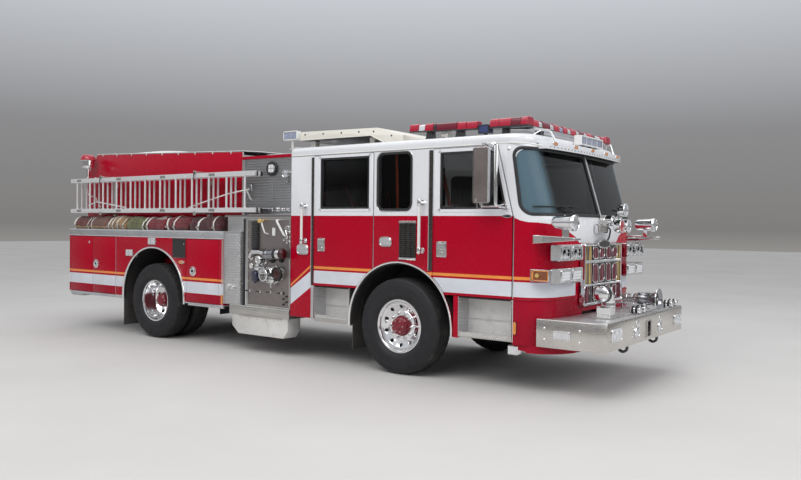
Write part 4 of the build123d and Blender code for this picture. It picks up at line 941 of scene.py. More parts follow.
def front_wheel(side, s):
    P = Piece()
    at = (2110.0, s * 1065.0, 538.0)
    face = ((90, 46), (120, 48), (172, 56), (186, 62), (246, 90))
    back = [(r, a - 13) for r, a in face]
    n = 80
    P.lathe(at, (0, s, 0), [(interp(face, 244), 244), (93, 252), (93, 258), (84, 264), (84, 268), (100, 272), (112, 277), (119, 284), (121, 293), (119, 300), (113, 302), (108, 300), (106, 293), (105, 286)], ALU_BRIGHT, n)
    P.lathe(at, (0, s, 0), [(-105, 286), (-106, 294), (-112, 301), (-119, 298), (-120, 290), (-112, 276), (-60, 270), (60, 268), (74, 258), (interp(back, 244), 244)], ALU, n)
    P.lathe(at, (0, s, 0), [(interp(face, 186), 186), (57, 174), (60, 170), (60, 116), (56, 112), (48, 104), (34, 104), (34, 120), (43, 172), (interp(back, 186), 186)], ALU_BRIGHT, n)
    holed_ring(P, at, s, face, back, 186, 244, 215, 21, 10, ALU_BRIGHT, BLACK)
    nuts(P, at, s, 143, 10, 59, CHROME)
    P.lathe(at, (0, s, 0), [(30, 110), (62, 110), (68, 107), (72, 100), (72, 94), (128, 92), (136, 88), (141, 80), (142, 58), (138, 52), (138, 40), (147, 34), (149, 24), (149, 0)], HUB_RED, 48)
    for k in range(6):
        a = 2 * math.pi * k / 6
        P.lathe((at[0] + 66 * math.cos(a), at[1] + s * 140, at[2] + 66 * math.sin(a)), (0, s, 0), [(0, 8), (5, 8), (6, 6), (6, 0)], STEEL, 6)
    P.lathe(at, (0, s, 0), [(-60, 112), (-60, 150), (34, 150), (34, 100)], IRON, 32)
    o = P.done(f"front_{side}_wheel_rim", body_of_node(f"front_{side}_wheel"), "polished_aluminium", smooth=30)
    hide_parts(f"front_{side}_wheel")


def rear_wheels(side, s):
    P = Piece()
    at = (-2289.0, s * 1065.0, 538.0)
    face = ((110, -146), (190, -146), (206, -140), (250, -104), (262, -84))
    back = [(r, a - 13) for r, a in face]
    n = 80
    P.lathe(at, (0, s, 0), [(interp(face, 250), 250), (-86, 260), (-78, 266), (-50, 270), (40, 272), (84, 273), (100, 277), (112, 281), (116, 290), (115, 299), (110, 302), (107, 299), (106, 286),
                            (-106, 286), (-108, 299), (-114, 300), (-116, 290), (-110, 276), (-100, 268), (interp(back, 250), 250)], ALU_BRIGHT, n)
    P.lathe(at, (0, s, 0), [(interp(face, 196), 196), (-146, 186), (-142, 180), (-142, 122), (-146, 116), (-164, 116), (-164, 180), (interp(back, 196), 196)], ALU_BRIGHT, n)
    holed_ring(P, at, s, face, back, 196, 250, 224, 21, 10, ALU_BRIGHT, BLACK)
    nuts(P, at, s, 143, 10, -143, CHROME)
    P.lathe(at, (0, s, 0), [(-150, 118), (-138, 116), (-132, 112), (-60, 110), (-54, 108), (-50, 100), (2, 98), (8, 96), (8, 84), (14, 80), (34, 62), (38, 50), (39, 0)], HUB_RED, 48)
    for k in range(8):
        a = 2 * math.pi * k / 8
        P.lathe((at[0] + 88 * math.cos(a), at[1] + s * 7, at[2] + 88 * math.sin(a)), (0, s, 0), [(0, 9), (9, 9), (11, 7), (11, 0)], STEEL, 6)
    # inner rim of the pair
    P.lathe(at, (0, s, 0), [(-214, 276), (-222, 290), (-221, 300), (-216, 302), (-213, 287), (-430, 287), (-437, 300), (-444, 298), (-446, 288), (-438, 272), (-260, 270), (-180, 205), (-176, 120), (-164, 120), (-164, 198), (-240, 262)], ALU, 64, closed=True)
    P.lathe(at, (0, s, 0), [(-395, 60), (-395, 126), (-200, 126), (-170, 118), (-166, 60)], IRON, 32)
    o = P.done(f"rear_{side}_wheel_rims", body_of_node(f"rear_{side}_wheels"), "polished_aluminium", smooth=30)
    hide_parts(f"rear_{side}_wheels")


def tyre_mesh(P, at, s, width, lug):
    """Radial truck tyre: sidewall rings, shoulder ribs and a grooved crown with slots."""
    w = width / 2
    e = w - 32
    wall = [(-108, 287, 0), (-(w - 27), 305, 0), (-(w - 20), 318, 0), (-(w - 12), 330, 0), (-(w - 9), 333, 0), (-(w - 7), 341, 0), (-(w - 4), 346, 0), (-(w - 1), 372, 0), (-w, 402, 0),
            (-(w - 1), 432, 0), (-(w - 3), 448, 0), (-(w - 1), 451, 0), (-(w - 3), 461, 0), (-(w - 8), 478, 0), (-(w - 13), 494, 0), (-(w - 14), 500, 0), (-(w - 22), 517, 0), (-(w - 25), 521, 0)]
    crown = [(-e, 528.5, 1)]
    for g in (-0.62, -0.21, 0.21, 0.62):
        a = g * e
        r = 538 - 8.0 * (a / e) ** 2
        crown += [(a - 6, r, 2), (a - 4.5, r - 13, 3), (a + 4.5, r - 13, 3), (a + 6, r, 2)]
    crown += [(e, 528.5, 1)]
    prof = wall + crown + [(-a, r, k) for a, r, k in reversed(wall)]
    n = 132
    V = []
    for i in range(n):
        c = 2 * math.pi * i / n
        zig = 3.2 if (i // 2) % 2 else -3.2
        slot = lug and i % 4 == 0
        for j, (a, r, k) in enumerate(prof):
            if k >= 2:
                a += zig
            if slot and k in (1, 2) and (abs(a) > 0.55 * e or k == 1):
                r -= 11
            elif slot and k == 0 and r > 515:
                r -= 5
            elif not lug and i % 3 == 0 and k == 1:
                r -= 3
            if k == 2 and not slot and i % 6 == 1 and not lug:
                r -= 2
            V.append((at[0] + r * math.cos(c), at[1] + s * a, at[2] + r * math.sin(c)))
    m = len(prof)
    tread, flank = [], []
    for i in range(n):
        for j in range(m - 1):
            f = [i * m + j, i * m + j + 1, ((i + 1) % n) * m + j + 1, ((i + 1) % n) * m + j]
            (tread if prof[j][2] + prof[j + 1][2] > 0 else flank).append(f)
    P.add(V, flank, TYRE)
    P.add(V, tread, TYRE_TREAD)


HUB_RED = finish_mat("hub_red", (0.20, 0.006, 0.019), 0.36, coat=0.35, var=0.12, var_scale=9, rvar=0.08, bump=0.05, bscale=180, bdist=0.0005, dark=((0.16, 0.012, 0.016), 16, 0.4))
for side, s in sides:
    front_wheel(side, s)
    rear_wheels(side, s)
    for node, xs, ys, wd, lug in ((f"front_{side}_tyre", 2110.0, (1065.0,), 300.0, False), (f"rear_{side}_tyres", -2289.0, (1065.0, 735.0), 285.0, True)):
        P = Piece()
        for y in ys:
            tyre_mesh(P, (xs, s * y, 538.0), s, wd, lug)
        o = P.done(node + "_rubber", body_of_node(node), "tyre_rubber", smooth=38)
        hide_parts(node)


# ------------------------------------------------------------------ wheel arches
def arc_band(P, cx, cz, prof, mat, leg=0.0, a0=180.0, a1=0.0, n=56):
    """Moulding round a wheel opening, with straight legs; prof is a closed section of (radius, y)."""
    frames = [(0.0, a0, -leg)] if leg else []
    frames += [(0.0, a0 + (a1 - a0) * i / n, 0.0) for i in range(n + 1)]
    if leg:
        frames.append((0.0, a1, -leg))
    k = len(prof)
    V = []
    for _, a, dz in frames:
        c = math.radians(a)
        V += [(cx + r * math.cos(c), y, cz + r * math.sin(c) + dz) for r, y in prof]
    F = [[i * k + j, i * k + (j + 1) % k, (i + 1) * k + (j + 1) % k, (i + 1) * k + j] for i in range(len(frames) - 1) for j in range(k)]
    F += [list(range(k)), list(range((len(frames) - 1) * k, len(frames) * k))]
    P.add(V, F, mat)


for side, s in sides:
    P = Piece()
    arc_band(P, 2125, 550, [(716, s * 1207), (716, s * 1228), (712, s * 1235), (704, s * 1236), (694, s * 1232), (688, s * 1222), (686, s * 1207)], ALU_BRIGHT, leg=58)
    arc_band(P, 2125, 550, [(686, s * 1204), (686, s * 1218), (680, s * 1218), (678, s * 1204)], SEAL, leg=58)
    arc_band(P, 2125, 550, [(714, s * 1156), (714, s * 1208), (686, s * 1208), (686, s * 1202), (708, s * 1200), (708, s * 1156)], LINER, leg=56)
    P.done(f"front_{side}_arch_moulding", "chassis", "polished_aluminium")
    P = Piece()
    arc_band(P, 2125, 550, [(713, s * 1157), (713, s * 578), (707, s * 578), (707, s * 1157)], LINER, leg=40)
    for y in (700, 860, 1020):
        arc_band(P, 2125, 550, [(707.5, s * (y - 10)), (707.5, s * (y + 10)), (702, s * (y + 6)), (702, s * (y - 6))], LINER, leg=40)
    P.done(f"front_{side}_arch_liner", "chassis", "chassis_black")
    P = Piece()
    arc_band(P, -2289, 600, [(726, s * 1220.2), (726, s * 1227), (720, s * 1236), (708, s * 1237), (698, s * 1232), (693, s * 1222), (692, s * 1196), (698, s * 1196), (700, s * 1215), (714, s * 1220.2)], ALU_BRIGHT, leg=64)
    arc_band(P, -2289, 600, [(717, s * 1215), (717, s * 650), (711, s * 650), (711, s * 1215)], LINER, leg=46)
    P.done(f"rear_{side}_arch_moulding", "chassis", "polished_aluminium")


# ------------------------------------------------------------------ glazing
def outline_at(z):
    """Plan of the cab front at a height: start of the corner, its radius and the middle's x."""
    t = max(0.0, min(1.0, (z - 1770.0) / 735.0))
    return 3600 - 175 * t, 300 - 38 * t, 3960 - 222 * t


CORNER, FACE = 410.0, 955.0


def on_nose(u, z, off=0.0, s=-1):
    """Point on the cab's front skin: u runs forward along the side from the corner's start, round it and in to the middle."""
    st, r, cxm = outline_at(z)
    if u < 0:
        x, y, nx, ny = st + u, 1220.0, 0.0, 1.0
    elif u <= CORNER:
        a = math.radians(83.5) * u / CORNER
        x, y, nx, ny = st + r * math.sin(a), 1220 - r + r * math.cos(a), math.sin(a), math.cos(a)
    else:
        a = math.radians(83.5)
        tx, ty = st + r * math.sin(a), 1220 - r + r * math.cos(a)
        w = min(1.0, (u - CORNER) / FACE)
        y = ty * (1 - w)
        sag = cxm - tx
        rad = (ty * ty + sag * sag) / (2 * sag)
        x = cxm - rad + math.sqrt(max(0.0, rad * rad - y * y))
        d = Vector((x - (cxm - rad), y))
        d.normalize()
        nx, ny = d.x, d.y
    nz = 0.29 * nx if z > 1771 else 0.0
    nn = Vector((nx, ny, nz)).normalized()
    return (x + nn.x * off, s * (y + nn.y * off), z + nn.z * off)


def densify(poly, step):
    out = []
    for i in range(len(poly)):
        a, b = Vector(poly[i]), Vector(poly[(i + 1) % len(poly)])
        k = max(1, int((b - a).length / step))
        out += [tuple(a + (b - a) * j / k) for j in range(k)]
    return out


SCREEN = rounded([(39, 1796), (1337, 1796), (1337, 2436), (96, 2436)], [95, 26, 26, 95], 8)
for side, s in sides:
    P = Piece()
    base = densify(SCREEN, 45)
    loops = [[on_nose(u, z, h, s) for u, z in inset(base, d)] for d, h in ((7, -9), (4, 4), (-2, 8), (-14, 8), (-26, 5), (-28, 0))]
    k = len(base)
    for a, b in zip(loops, loops[1:]):
        P.add(a + b, [[i, (i + 1) % k, k + (i + 1) % k, k + i] for i in range(k)], SEAL)
    P.done(f"windscreen_{side}_seal", "chassis", "dark_plastic", smooth=50)
    # wiper: arm, blade and spindle cap
    P = Piece()
    blade = [on_nose(u, 1858 + 0.022 * (u - 150), 16, s) for u in range(150, 801, 50)]
    P.tube(blade, 6, BLACK, 6)
    P.tube([on_nose(u, 1852 + 0.022 * (u - 150), 11, s) for u in range(160, 791, 45)], [3] * 15, SEAL, 5)
    arm = [on_nose(720, 1778, 18, s), on_nose(700, 1800, 26, s), on_nose(600, 1842, 30, s), on_nose(470, 1866, 24, s)]
    P.tube(arm, [9, 8, 6, 5], BLACK, 8)
    p = Vector(on_nose(720, 1776, 2, s))
    P.cyl(p, Vector(on_nose(720, 1776, 30, s)) - p, 17, 26, BLACK_GLOSS, 16)
    P.done(f"{side}_wiper", "chassis", "dark_plastic")
# centre post
P = Piece()
low, high = on_nose(1365, 1786), on_nose(1365, 2452)
for y0, y1, d, mt in ((-24, 24, 4, SEAL), (-15, 15, 10, ALU)):
    P.prism([(low[0] - 30, 1784), (low[0] + d, 1784), (high[0] + d, 2450), (high[0] - 30, 2450)], "y", y0, y1, mt, 2)
P.done("windscreen_centre_post", "chassis", "polished_aluminium")

DOOR_WINDOWS = {"crew": [(963, 1856), (1688, 1856), (1688, 2440), (963, 2440)], "front": [(2672, 1846), (3452, 1846), (3316, 2430), (2672, 2430)]}
for side, s in sides:
    for d, win in DOOR_WINDOWS.items():
        P = Piece()
        P.frame(rounded(inset(win, -10), 16), 24, "y", s * 1206, s * 1221.6, SEAL, 2)
        P.frame(rounded(inset(win, -40), 26), 30, "y", s * 1219.6, s * 1224.5, WHITE, 2)
        P.done(f"{d}_{side}_window_frame", body_of_node(f"{d}_{side}_door"), "white_paint")
    P = Piece()
    win = [(1828, 1837), (2282, 1837), (2282, 2458), (1828, 2458)]
    P.frame(rounded(inset(win, -16), 84, 8), 26, "y", s * 1204, s * 1223, SEAL, 3)
    P.frame(rounded(inset(win, -25), 92, 8), 9, "y", s * 1219.8, s * 1226, ALU_BRIGHT, 2)
    P.done(f"{side}_crew_window_seal", "chassis", "dark_plastic")

# ------------------------------------------------------------------ cab sides and doors
DARK_STEEL = finish_mat("dark_steel", (0.085, 0.078, 0.074), 0.30, metal=0.8, var=0.2, var_scale=5, rvar=0.1, rscale=30, bump=0.05, bscale=120, bdist=0.0005)
LATCHES = {"crew": (916, 1032, 1341, 1499), "front": (2627, 2754, 1326, 1494)}
for side, s in sides:
    for d, (x0, x1, z0, z1) in LATCHES.items():
        P = Piece()
        pl = [(x0, z0), (x1, z0), (x1, z1), (x0, z1)]
        P.frame(rounded(pl, 14), 10, "y", s * 1219.8, s * 1228, CHROME, 2)
        P.prism(rounded(inset(pl, 9), 8), "y", s * 1219.8, s * 1222, STEEL, 0.5)
        zm = z0 + 0.42 * (z1 - z0)
        P.prism(rounded([(x0 + 17, zm + 8), (x1 - 17, zm + 8), (x1 - 17, z1 - 16), (x0 + 17, z1 - 16)], 8), "y", s * 1221.5, s * 1235, CHROME, 4)
        P.cyl(((x0 + x1) / 2, s * 1221, z0 + 0.24 * (z1 - z0)), (0, s, 0), 17, 8, CHROME, 20, 2)
        P.cyl(((x0 + x1) / 2, s * 1228.5, z0 + 0.24 * (z1 - z0)), (0, s, 0), 6, 1.5, BLACK, 12, 0.3)
        P.done(f"{d}_{side}_door_latch", body_of_node(f"{d}_{side}_door"), "chrome")
    P = Piece()
    # channels behind the doors, hinges in front of them
    for x0, x1, z0, z1 in ((812, 848, 934, 2466), (2522, 2572, 1176, 2470)):
        P.box(x0, x1, s * 1219.8, s * 1226, z0, z1, DARK_STEEL, 2)
        P.box(x0 - 5, x0 + 4, s * 1219.8, s * 1229, z0, z1, ALU, 2)
    P.box(812, 858, s * 1219.8, s * 1225, 506, 928, ALU, 2)
    for x0, x1, z0, z1 in ((1761, 1769, 1140, 2476), (3544, 3552, 500, 1768)):
        P.box(x0, x1, s * 1219.5, s * 1224, z0, z1, ALU_BRIGHT, 1)
    # oval lamps
    for x0, x1, z0, z1 in ((581, 773, 1294, 1419), (1857, 2032, 1422, 1531)):
        pl = [(x0, z0), (x1, z0), (x1, z1), (x0, z1)]
        P.frame(rounded(pl, [40, 40, 52, 40], 6), 17, "y", s * 1219.8, s * 1238, CHROME, 4)
        P.prism(rounded(inset(pl, 14), [30, 30, 40, 30], 6), "y", s * 1219.8, s * 1240, LENS_CLEAR_X, 7)
    # engine air louvre
    x0, x1, z0, z1 = 2136, 2353, 1290, 1706
    pl = [(x0, z0), (x1, z0), (x1, z1), (x0, z1)]
    P.prism(inset(pl, 5), "y", s * 1219.6, s * 1220.8, BLACK, 0.2)
    for i in range(17):
        z = z0 + 26 + i * (z1 - z0 - 50) / 16
        P.prism([(s * 1220, z - 6), (s * 1230, z - 10), (s * 1231, z - 8), (s * 1221, z + 4)], "x", x0 + 8, x1 - 8, DARK_STEEL, 0.4)
    for a, b in ((x0 + 70, x0 + 76), (x1 - 76, x1 - 70)):
        P.box(a, b, s * 1221, s * 1232, z0 + 8, z1 - 8, DARK_STEEL, 0.6)
    P.box(x0 - 8, x1 + 8, s * 1219.8, s * 1234, z1 - 20, z1 + 4, ALU_BRIGHT, 3)
    P.box(x0 - 8, x1 + 8, s * 1219.8, s * 1234, z0 - 6, z0 + 14, ALU_BRIGHT, 3)
    for a, b in ((x0 - 4, x0 + 8), (x1 - 8, x1 + 4)):
        P.box(a, b, s * 1219.8, s * 1231, z0, z1, DARK_STEEL, 2)
    # amber side marker, lamp box below the seam
    pl = rounded([(3553, 578), (3596, 578), (3596, 712), (3553, 712)], 20, 6)
    P.prism(pl, "y", s * 1219.8, s * 1229, BLACK, 2)
    P.prism(inset(pl, 4), "y", s * 1226, s * 1236, LENS_AMBER, 4)
    P.box(3482, 3598, s * 1118, s * 1202, 372, 468, CHROME, 8)
    P.box(3494, 3586, s * 1200, s * 1208, 384, 456, LENS_CLEAR_X, 4)
    P.box(3520, 3560, s * 1140, s * 1180, 466, 492, CHASSIS, 3)
    P.done(f"{side}_cab_side_trim", "chassis", "chrome")

# grab rails with their clamps
P = Piece()
for s in (1, -1):
    for x, z0, z1 in ((712.0, 1440.0, 1905.0), (2442.0, 1370.0, 1930.0)):
        P.tube(bent([(x, s * 1290, z0), (x, s * 1290, z1)], 10), 16.5, WHITE_PLAIN, 16)
        for z, up_ in ((z0 + 22, -1), (z1 - 22, 1)):
            P.lathe((x, s * 1290, z - 34), (0, 0, 1), [(0, 17), (0, 21), (4, 23), (64, 23), (68, 21), (68, 17)], CHROME, 20)
            P.tube([(x, s * 1288, z), (x, s * 1220, z)], 13, CHROME, 12)
            P.cyl((x, s * 1219.8, z), (0, s, 0), 31, 9, CHROME, 24, 2.5)
            P.cyl((x, s * 1290, z + up_ * 30), (0, 0, up_), 19, 9, CHROME, 20, 4)
    for x, z in ((2442.0, 1905.0), (712.0, 1880.0)):
        P.tube([(x + 8, s * 1272, z), (x + 64, s * 1250, z + 6)], 8, CHROME, 8)
o = P.done("cab_grab_rails", "chassis", "white_paint")
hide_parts("grab_rails")

# ------------------------------------------------------------------ steps in the cab sides
STEP_LIGHT = finish_mat("step_aluminium", (0.80, 0.79, 0.77), 0.45, metal=0.30, var=0.06, var_scale=3, rvar=0.1, rscale=20, bump=0.06, bscale=120, bdist=0.0005, dark=((0.40, 0.385, 0.36), 4, 0.4))
P = Piece()
for s in (1, -1):
    for x0, x1 in ((861, 1410), (2899, 3531)):
        P.box(x0, x1, s * 1000, s * 1010, 500, 924, STEP_LIGHT, 1)
        P.box(x0, x0 + 8, s * 1008, s * 1213, 500, 924, TREAD_YZ, 1)
        P.box(x1 - 8, x1, s * 1008, s * 1213, 500, 924, TREAD_YZ, 1)
        P.box(x0 + 6, x1 - 6, s * 1008, s * 1206, 500, 540, TREAD_XY, 2)
        for zz in (668, 680):
            P.box(x0 + 8, x1 - 8, s * 1009, s * 1014, zz, zz + 4, ALU, 1)
        # rolled lip with grip rows
        z1 = 584 if x0 < 2000 else 556
        P.box(x0 + 2, x1 - 2, s * 1196, s * 1213.5, 500, z1, STEEL, 5)
        for i in range(int((x1 - x0 - 60) / 24)):
            x = x0 + 36 + i * 24
            P.cyl((x, s * 1213, z1 - 34), (0, s, 0), 6.5, 3.0, ALU_BRIGHT, 8, 1.0)
            P.cyl((x + 12, s * 1213, z1 - 18), (0, s, 0), 6.5, 3.0, ALU_BRIGHT, 8, 1.0)
        for i in range(int((x1 - x0 - 60) / 40)):
            for y in (1050, 1090, 1130, 1170):
                P.lathe((x0 + 40 + i * 40, s * y, 539), (0, 0, 1), [(0, 11), (3, 10), (4, 7), (1, 6)], ALU_BRIGHT, 8)
        # kick plate under the door
        P.box(x0 + 2, x1 - 2, s * 1150, s * 1206, 908, 924, BLACK, 2)
o = P.done("cab_side_steps", "chassis", "tread_plate")
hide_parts("cab_steps")

# ------------------------------------------------------------------ nose and front lamps
P = Piece()
for s in (1, -1):
    # rolled lip under the white band, round the nose, in the darker red: a painted shadow line under the band
    P.tube([on_nose(u, 934, 3, s) for u in [-56] + list(range(-40, 760, 32)) + [770]], 8, RED_SHADED, 8)
    # skirt below the bumper's ends, in the darker red: painted shade low down
    path = [(3546, 1196), (3700, 1192), (3850, 1170), (3980, 1110), (4080, 1020), (4140, 900), (4160, 740)]
    path = [(p.x, p.y) for p in bent([(x, y, 0) for x, y in path], 400, 4)]
    V, k = [], len(path)
    for i, (x, y) in enumerate(path):
        t = i / (k - 1)
        low = 404 + 34 * t * t + (26 * (1 - min(1.0, i / 3.0)))
        V += [(x, s * y, low), (x, s * y, 484), (x - 5, s * (y - 7), 484), (x - 5, s * (y - 7), low)]
    P.add(V, [[i * 4 + j, i * 4 + (j + 1) % 4, (i + 1) * 4 + (j + 1) % 4, (i + 1) * 4 + j] for i in range(k - 1) for j in range(4)] + [[0, 1, 2, 3], [(k - 1) * 4 + j for j in range(4)]], RED_SHADED)
P.done("nose_lip_and_skirt", "chassis", "red_paint")

LENS_PLAIN = finish_mat("lamp_glass", (0.70, 0.74, 0.78), 0.06, metal=0.75, var=0.18, var_scale=24, rvar=0.03, bump=0.25, bscale=90, bdist=0.002, coat=1.0)
LENS_DEEP_AMBER = wave_mat("deep_amber_lens", (0.22, 0.050, 0.002), 0.30, 0.0, 2, 0.012, 0.5, 0.003, coat=0.1)
LENS_WHITE = wave_mat("white_lens", (0.86, 0.87, 0.90), 0.14, 0.0, 2, 0.030, 0.5, 0.003, coat=0.8)
SIREN_METAL = finish_mat("siren_metal", (0.34, 0.34, 0.365), 0.15, metal=1.0, var=0.12, var_scale=14, rvar=0.05, rscale=30, bump=0.05, bscale=90, bdist=0.0008)
P = Piece()
for s in (1, -1):
    for row, (z0, z1) in enumerate(((1105, 1254), (1328, 1487))):
        plan = [(3862, s * 1032), (3940, s * 1203), (3952, s * 1211), (3975, s * 1212), (4018, s * 1184), (4030, s * 1166), (4030, s * 624), (3866, s * 622)]
        P.prism(plan, "z", z0, z1, CHROME, 7)
        for q, yc in enumerate((1042, 776)):
            pl = [(s * (yc - 116), z0 + 13), (s * (yc + 116), z0 + 13), (s * (yc + 116), z1 - 13), (s * (yc - 116), z1 - 13)]
            P.frame(rounded(pl, 16, 4), 13, "x", 4026, 4042, CHROME, 3)
            P.prism(rounded(inset(pl, 10), 12, 4), "x", 4026, 4031, BLACK, 0.5)
            inner = inset(pl, 14)
            ym, zm = s * yc, (z0 + z1) / 2
            hw, hh = 98, (z1 - z0) / 2 - 28
            if row == 1:
                # crowned glass with its reflector bowl
                ring = rounded([(ym - hw, zm - hh), (ym + hw, zm - hh), (ym + hw, zm + hh), (ym - hw, zm + hh)], 10, 3)
                for a, b in ((0, 12), (12, 26), (26, 44)):
                    A, B = inset(ring, a) if a else ring, inset(ring, b)
                    xa, xb = 4032 + 5 * (a / 44) ** 0.6, 4032 + 5 * (b / 44) ** 0.6
                    P.add([(xa, y, z) for y, z in A] + [(xb, y, z) for y, z in B], [[i, (i + 1) % len(A), len(A) + (i + 1) % len(A), len(A) + i] for i in range(len(A))], LENS_PLAIN)
                B = inset(ring, 44)
                P.add([(4037, y, z) for y, z in B], [list(range(len(B)))], LENS_PLAIN)
                if row == 1:
                    P.lathe((4036, ym, zm), (1, 0, 0), [(0, 30), (3, 30), (4, 26), (3, 22), (3, 0)], CHROME, 20)
            else:
                P.prism(rounded([(ym - hw, zm - hh), (ym + hw, zm - hh), (ym + hw, zm + hh), (ym - hw, zm + hh)], 10, 3), "x", 4031, 4038, LENS_WHITE, 2)
    # turn signal on the corner
    P.prism([(3738, s * 1190), (3738, s * 1226), (3942, s * 1226), (3942, s * 1000), (3905, s * 985), (3860, s * 1075), (3800, s * 1150)], "z", 1123, 1242, CHROME, 5)
    P.frame(rounded([(3740, 1126), (3941, 1126), (3941, 1239), (3740, 1239)], 10, 3), 9, "y", s * 1224, s * 1234, CHROME, 2)
    P.prism(rounded([(3750, 1135), (3931, 1135), (3931, 1230), (3750, 1230)], 8, 3), "y", s * 1224, s * 1232, LENS_DEEP_AMBER, 3)
    P.frame(rounded([(3746, 1131), (3935, 1131), (3935, 1234), (3746, 1234)], 10, 3), 9, "y", s * 1228, s * 1236, LENS_AMBER, 2)
    P.prism([(3746, 1131), (3776, 1131), (3776, 1234), (3746, 1234)], "y", s * 1228, s * 1236, LENS_AMBER, 2)
    P.lathe((3812, s * 1231, 1183), (0, s, 0), [(0, 22), (3, 20), (3, 0)], GOLD, 20)
    # arm along the corner and the shelf for the bucket lamp
    P.prism([(3775, 1496), (3775, 1576), (3800, 1578), (4206, 1560), (4214, 1552), (4214, 1536), (4206, 1531)], "y", s * 1222, s * 1261, CHROME, 5)
    P.box(3790, 3880, s * 1260, s * 1264, 1508, 1566, STEEL, 2)
    P.prism([(3778, s * 1230), (3800, s * 1140), (3862, s * 1066), (3905, s * 990), (3990, s * 1090), (4214, s * 1118), (4214, s * 1232)], "z", 1532, 1556, CHROME, 4)
    P.box(4040, 4100, s * 1122, s * 1178, 1552, 1650, CHROME, 8)
    P.lathe((3938, s * 1150, 1702), (1, 0, 0), [(0, 0), (0, 34), (4, 46), (16, 57), (44, 65), (150, 70), (196, 73), (200, 78), (206, 80), (238, 80), (244, 77), (245, 72), (236, 69)], CHROME, 40)
    P.lathe((3938, s * 1150, 1702), (1, 0, 0), [(232, 70), (236, 56), (239, 34), (240, 0)], LENS_PLAIN, 32)
    for zz in (-1, 1):
        P.lathe((4060, s * 1150, 1702 + zz * 71), (0, 0, zz), [(-6, 10), (4, 10), (6, 7), (6, 0)], STEEL, 10)
# motor and bracket of the rotating light
P.box(3961, 4016, -188, 88, 1602, 1700, CHROME, 9)
P.box(3980, 4020, -176, 76, 1614, 1688, STEEL, 6)
P.lathe((3958, 0, 1735), (1, 0, 0), [(0, 0), (0, 50), (8, 59), (60, 60), (66, 52), (74, 52), (80, 59), (140, 59), (150, 52), (160, 40), (164, 14), (214, 11), (216, 0)], CHROME, 36)
for i in range(6):
    P.lathe((3974 + i * 8, 0, 1735), (1, 0, 0), [(0, 60), (2, 62), (4, 60)], STEEL, 36)
P.tube(bent([(4000, 40, 1690), (4040, 90, 1640), (4010, 130, 1560), (3985, 120, 1500)], 40), 9, BLACK, 8)
o = P.done("front_lamp_group", "chassis", "chrome")
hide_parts("front_lamps")

P = Piece()
SX, SZ = 4195.0, 1735.0
P.lathe((SX - 58, 0, SZ), (1, 0, 0), [(0, 14), (0, 44), (5, 51), (26, 51), (32, 40), (36, 40), (52, 46), (58, 40), (62, 20), (62, 0)], CHROME, 32)
for k in range(3):
    a = math.radians(90 + 120 * k)
    cy, cz = 115 * math.cos(a), 115 * math.sin(a)
    turn = Matrix.Rotation(a, 3, "X")
    P.box(SX - 40, SX - 18, 20, 96, SZ - 18, SZ + 18, CHROME, 4, turn=turn, at=(SX, 0, SZ))
    P.lathe((SX - 45, cy, SZ + cz), (1, 0, 0), [(0, 0), (0, 30), (6, 48), (22, 62), (50, 69), (74, 70), (80, 72), (92, 72), (95, 69), (93, 64), (86, 63)], CHROME, 36)
    lens = LENS_RED if k == 1 else LENS_PLAIN
    P.lathe((SX - 45, cy, SZ + cz), (1, 0, 0), [(84, 66), (87, 62), (91, 44), (94, 22), (95, 0)], lens, 32)
    for q in range(6):
        b = 2 * math.pi * q / 6
        P.lathe((SX + 48, cy + 67.5 * math.cos(b), SZ + cz + 67.5 * math.sin(b)), (1, 0, 0), [(-2, 4), (1.5, 4), (2, 0)], STEEL, 6)
o = P.done("rotating_light_head", "rotating_light", "chrome")
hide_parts("rotating_light")

# ------------------------------------------------------------------ grille
P = Piece()
PAT_RED = finish_mat("grille_red", (0.13, 0.0, 0.016), 0.45, coat=0.0, var=0.14, var_scale=8, rvar=0.08, bump=0.05, bscale=160, bdist=0.0005)
for z0, z1, hw0, hw1 in ((1062, 1284, 500, 506), (1314, 1466, 506, 506), (872, 1040, 520, 504)):
    # backing, stripes and fields of a plain heraldic pattern
    P.box(3958, 3970, -hw0 - 6, hw0 + 6, z0 - 6, z1 + 6, BLACK_GLOSS, 1)
    zm = (z0 + z1) / 2
    if z0 > 1000:
        for sg in (1, -1):
            for i, mt in enumerate((GOLD, BLACK_GLOSS, GOLD, BLACK_GLOSS, GOLD)):
                y = 486 - i * 38
                if sg > 0 and i > 1:
                    continue
                P.prism([(sg * (y - 34), z0), (sg * y, z0), (sg * (y - (10 if z0 > 1300 else -8)), z1), (sg * (y - 34 - (10 if z0 > 1300 else -8)), z1)], "x", 3968, 3976 - (i % 2) * 3, mt, 1)
    else:
        for sg in (1, -1):
            P.prism(rounded([(sg * 510, z0), (sg * 330, z0), (sg * 330, z1), (sg * 500, z1)], 20, 3), "x", 3968, 3977, PAT_RED, 2)
    # rounded red fields with bright borders
    xs = (-255, -75, 120, 300) if z0 > 1000 else (-235, -60, 115, 280)
    for i, y0 in enumerate(xs):
        y1 = y0 + 150
        rise = 12 if i % 2 else -12
        pl = rounded([(y0, z0 + 10), (y1 - 6, z0 + 10 + rise * 0.4), (y1, z1 - 12), (y0 + 12, z1 - 12 - rise * 0.6)], [16, 46, 22, 54] if i % 2 else [46, 18, 56, 18], 5)
        P.prism(pl, "x", 3969, 3979, PAT_RED, 2)
        P.frame(pl, 9, "x", 3974, 3986, CHROME, 2)
    # upright flutes
    for i in range(9):
        y = -400 + i * 100
        P.box(3978, 3988, y - 2, y + 2, z0 - 4, z1 + 4, CHROME, 1)
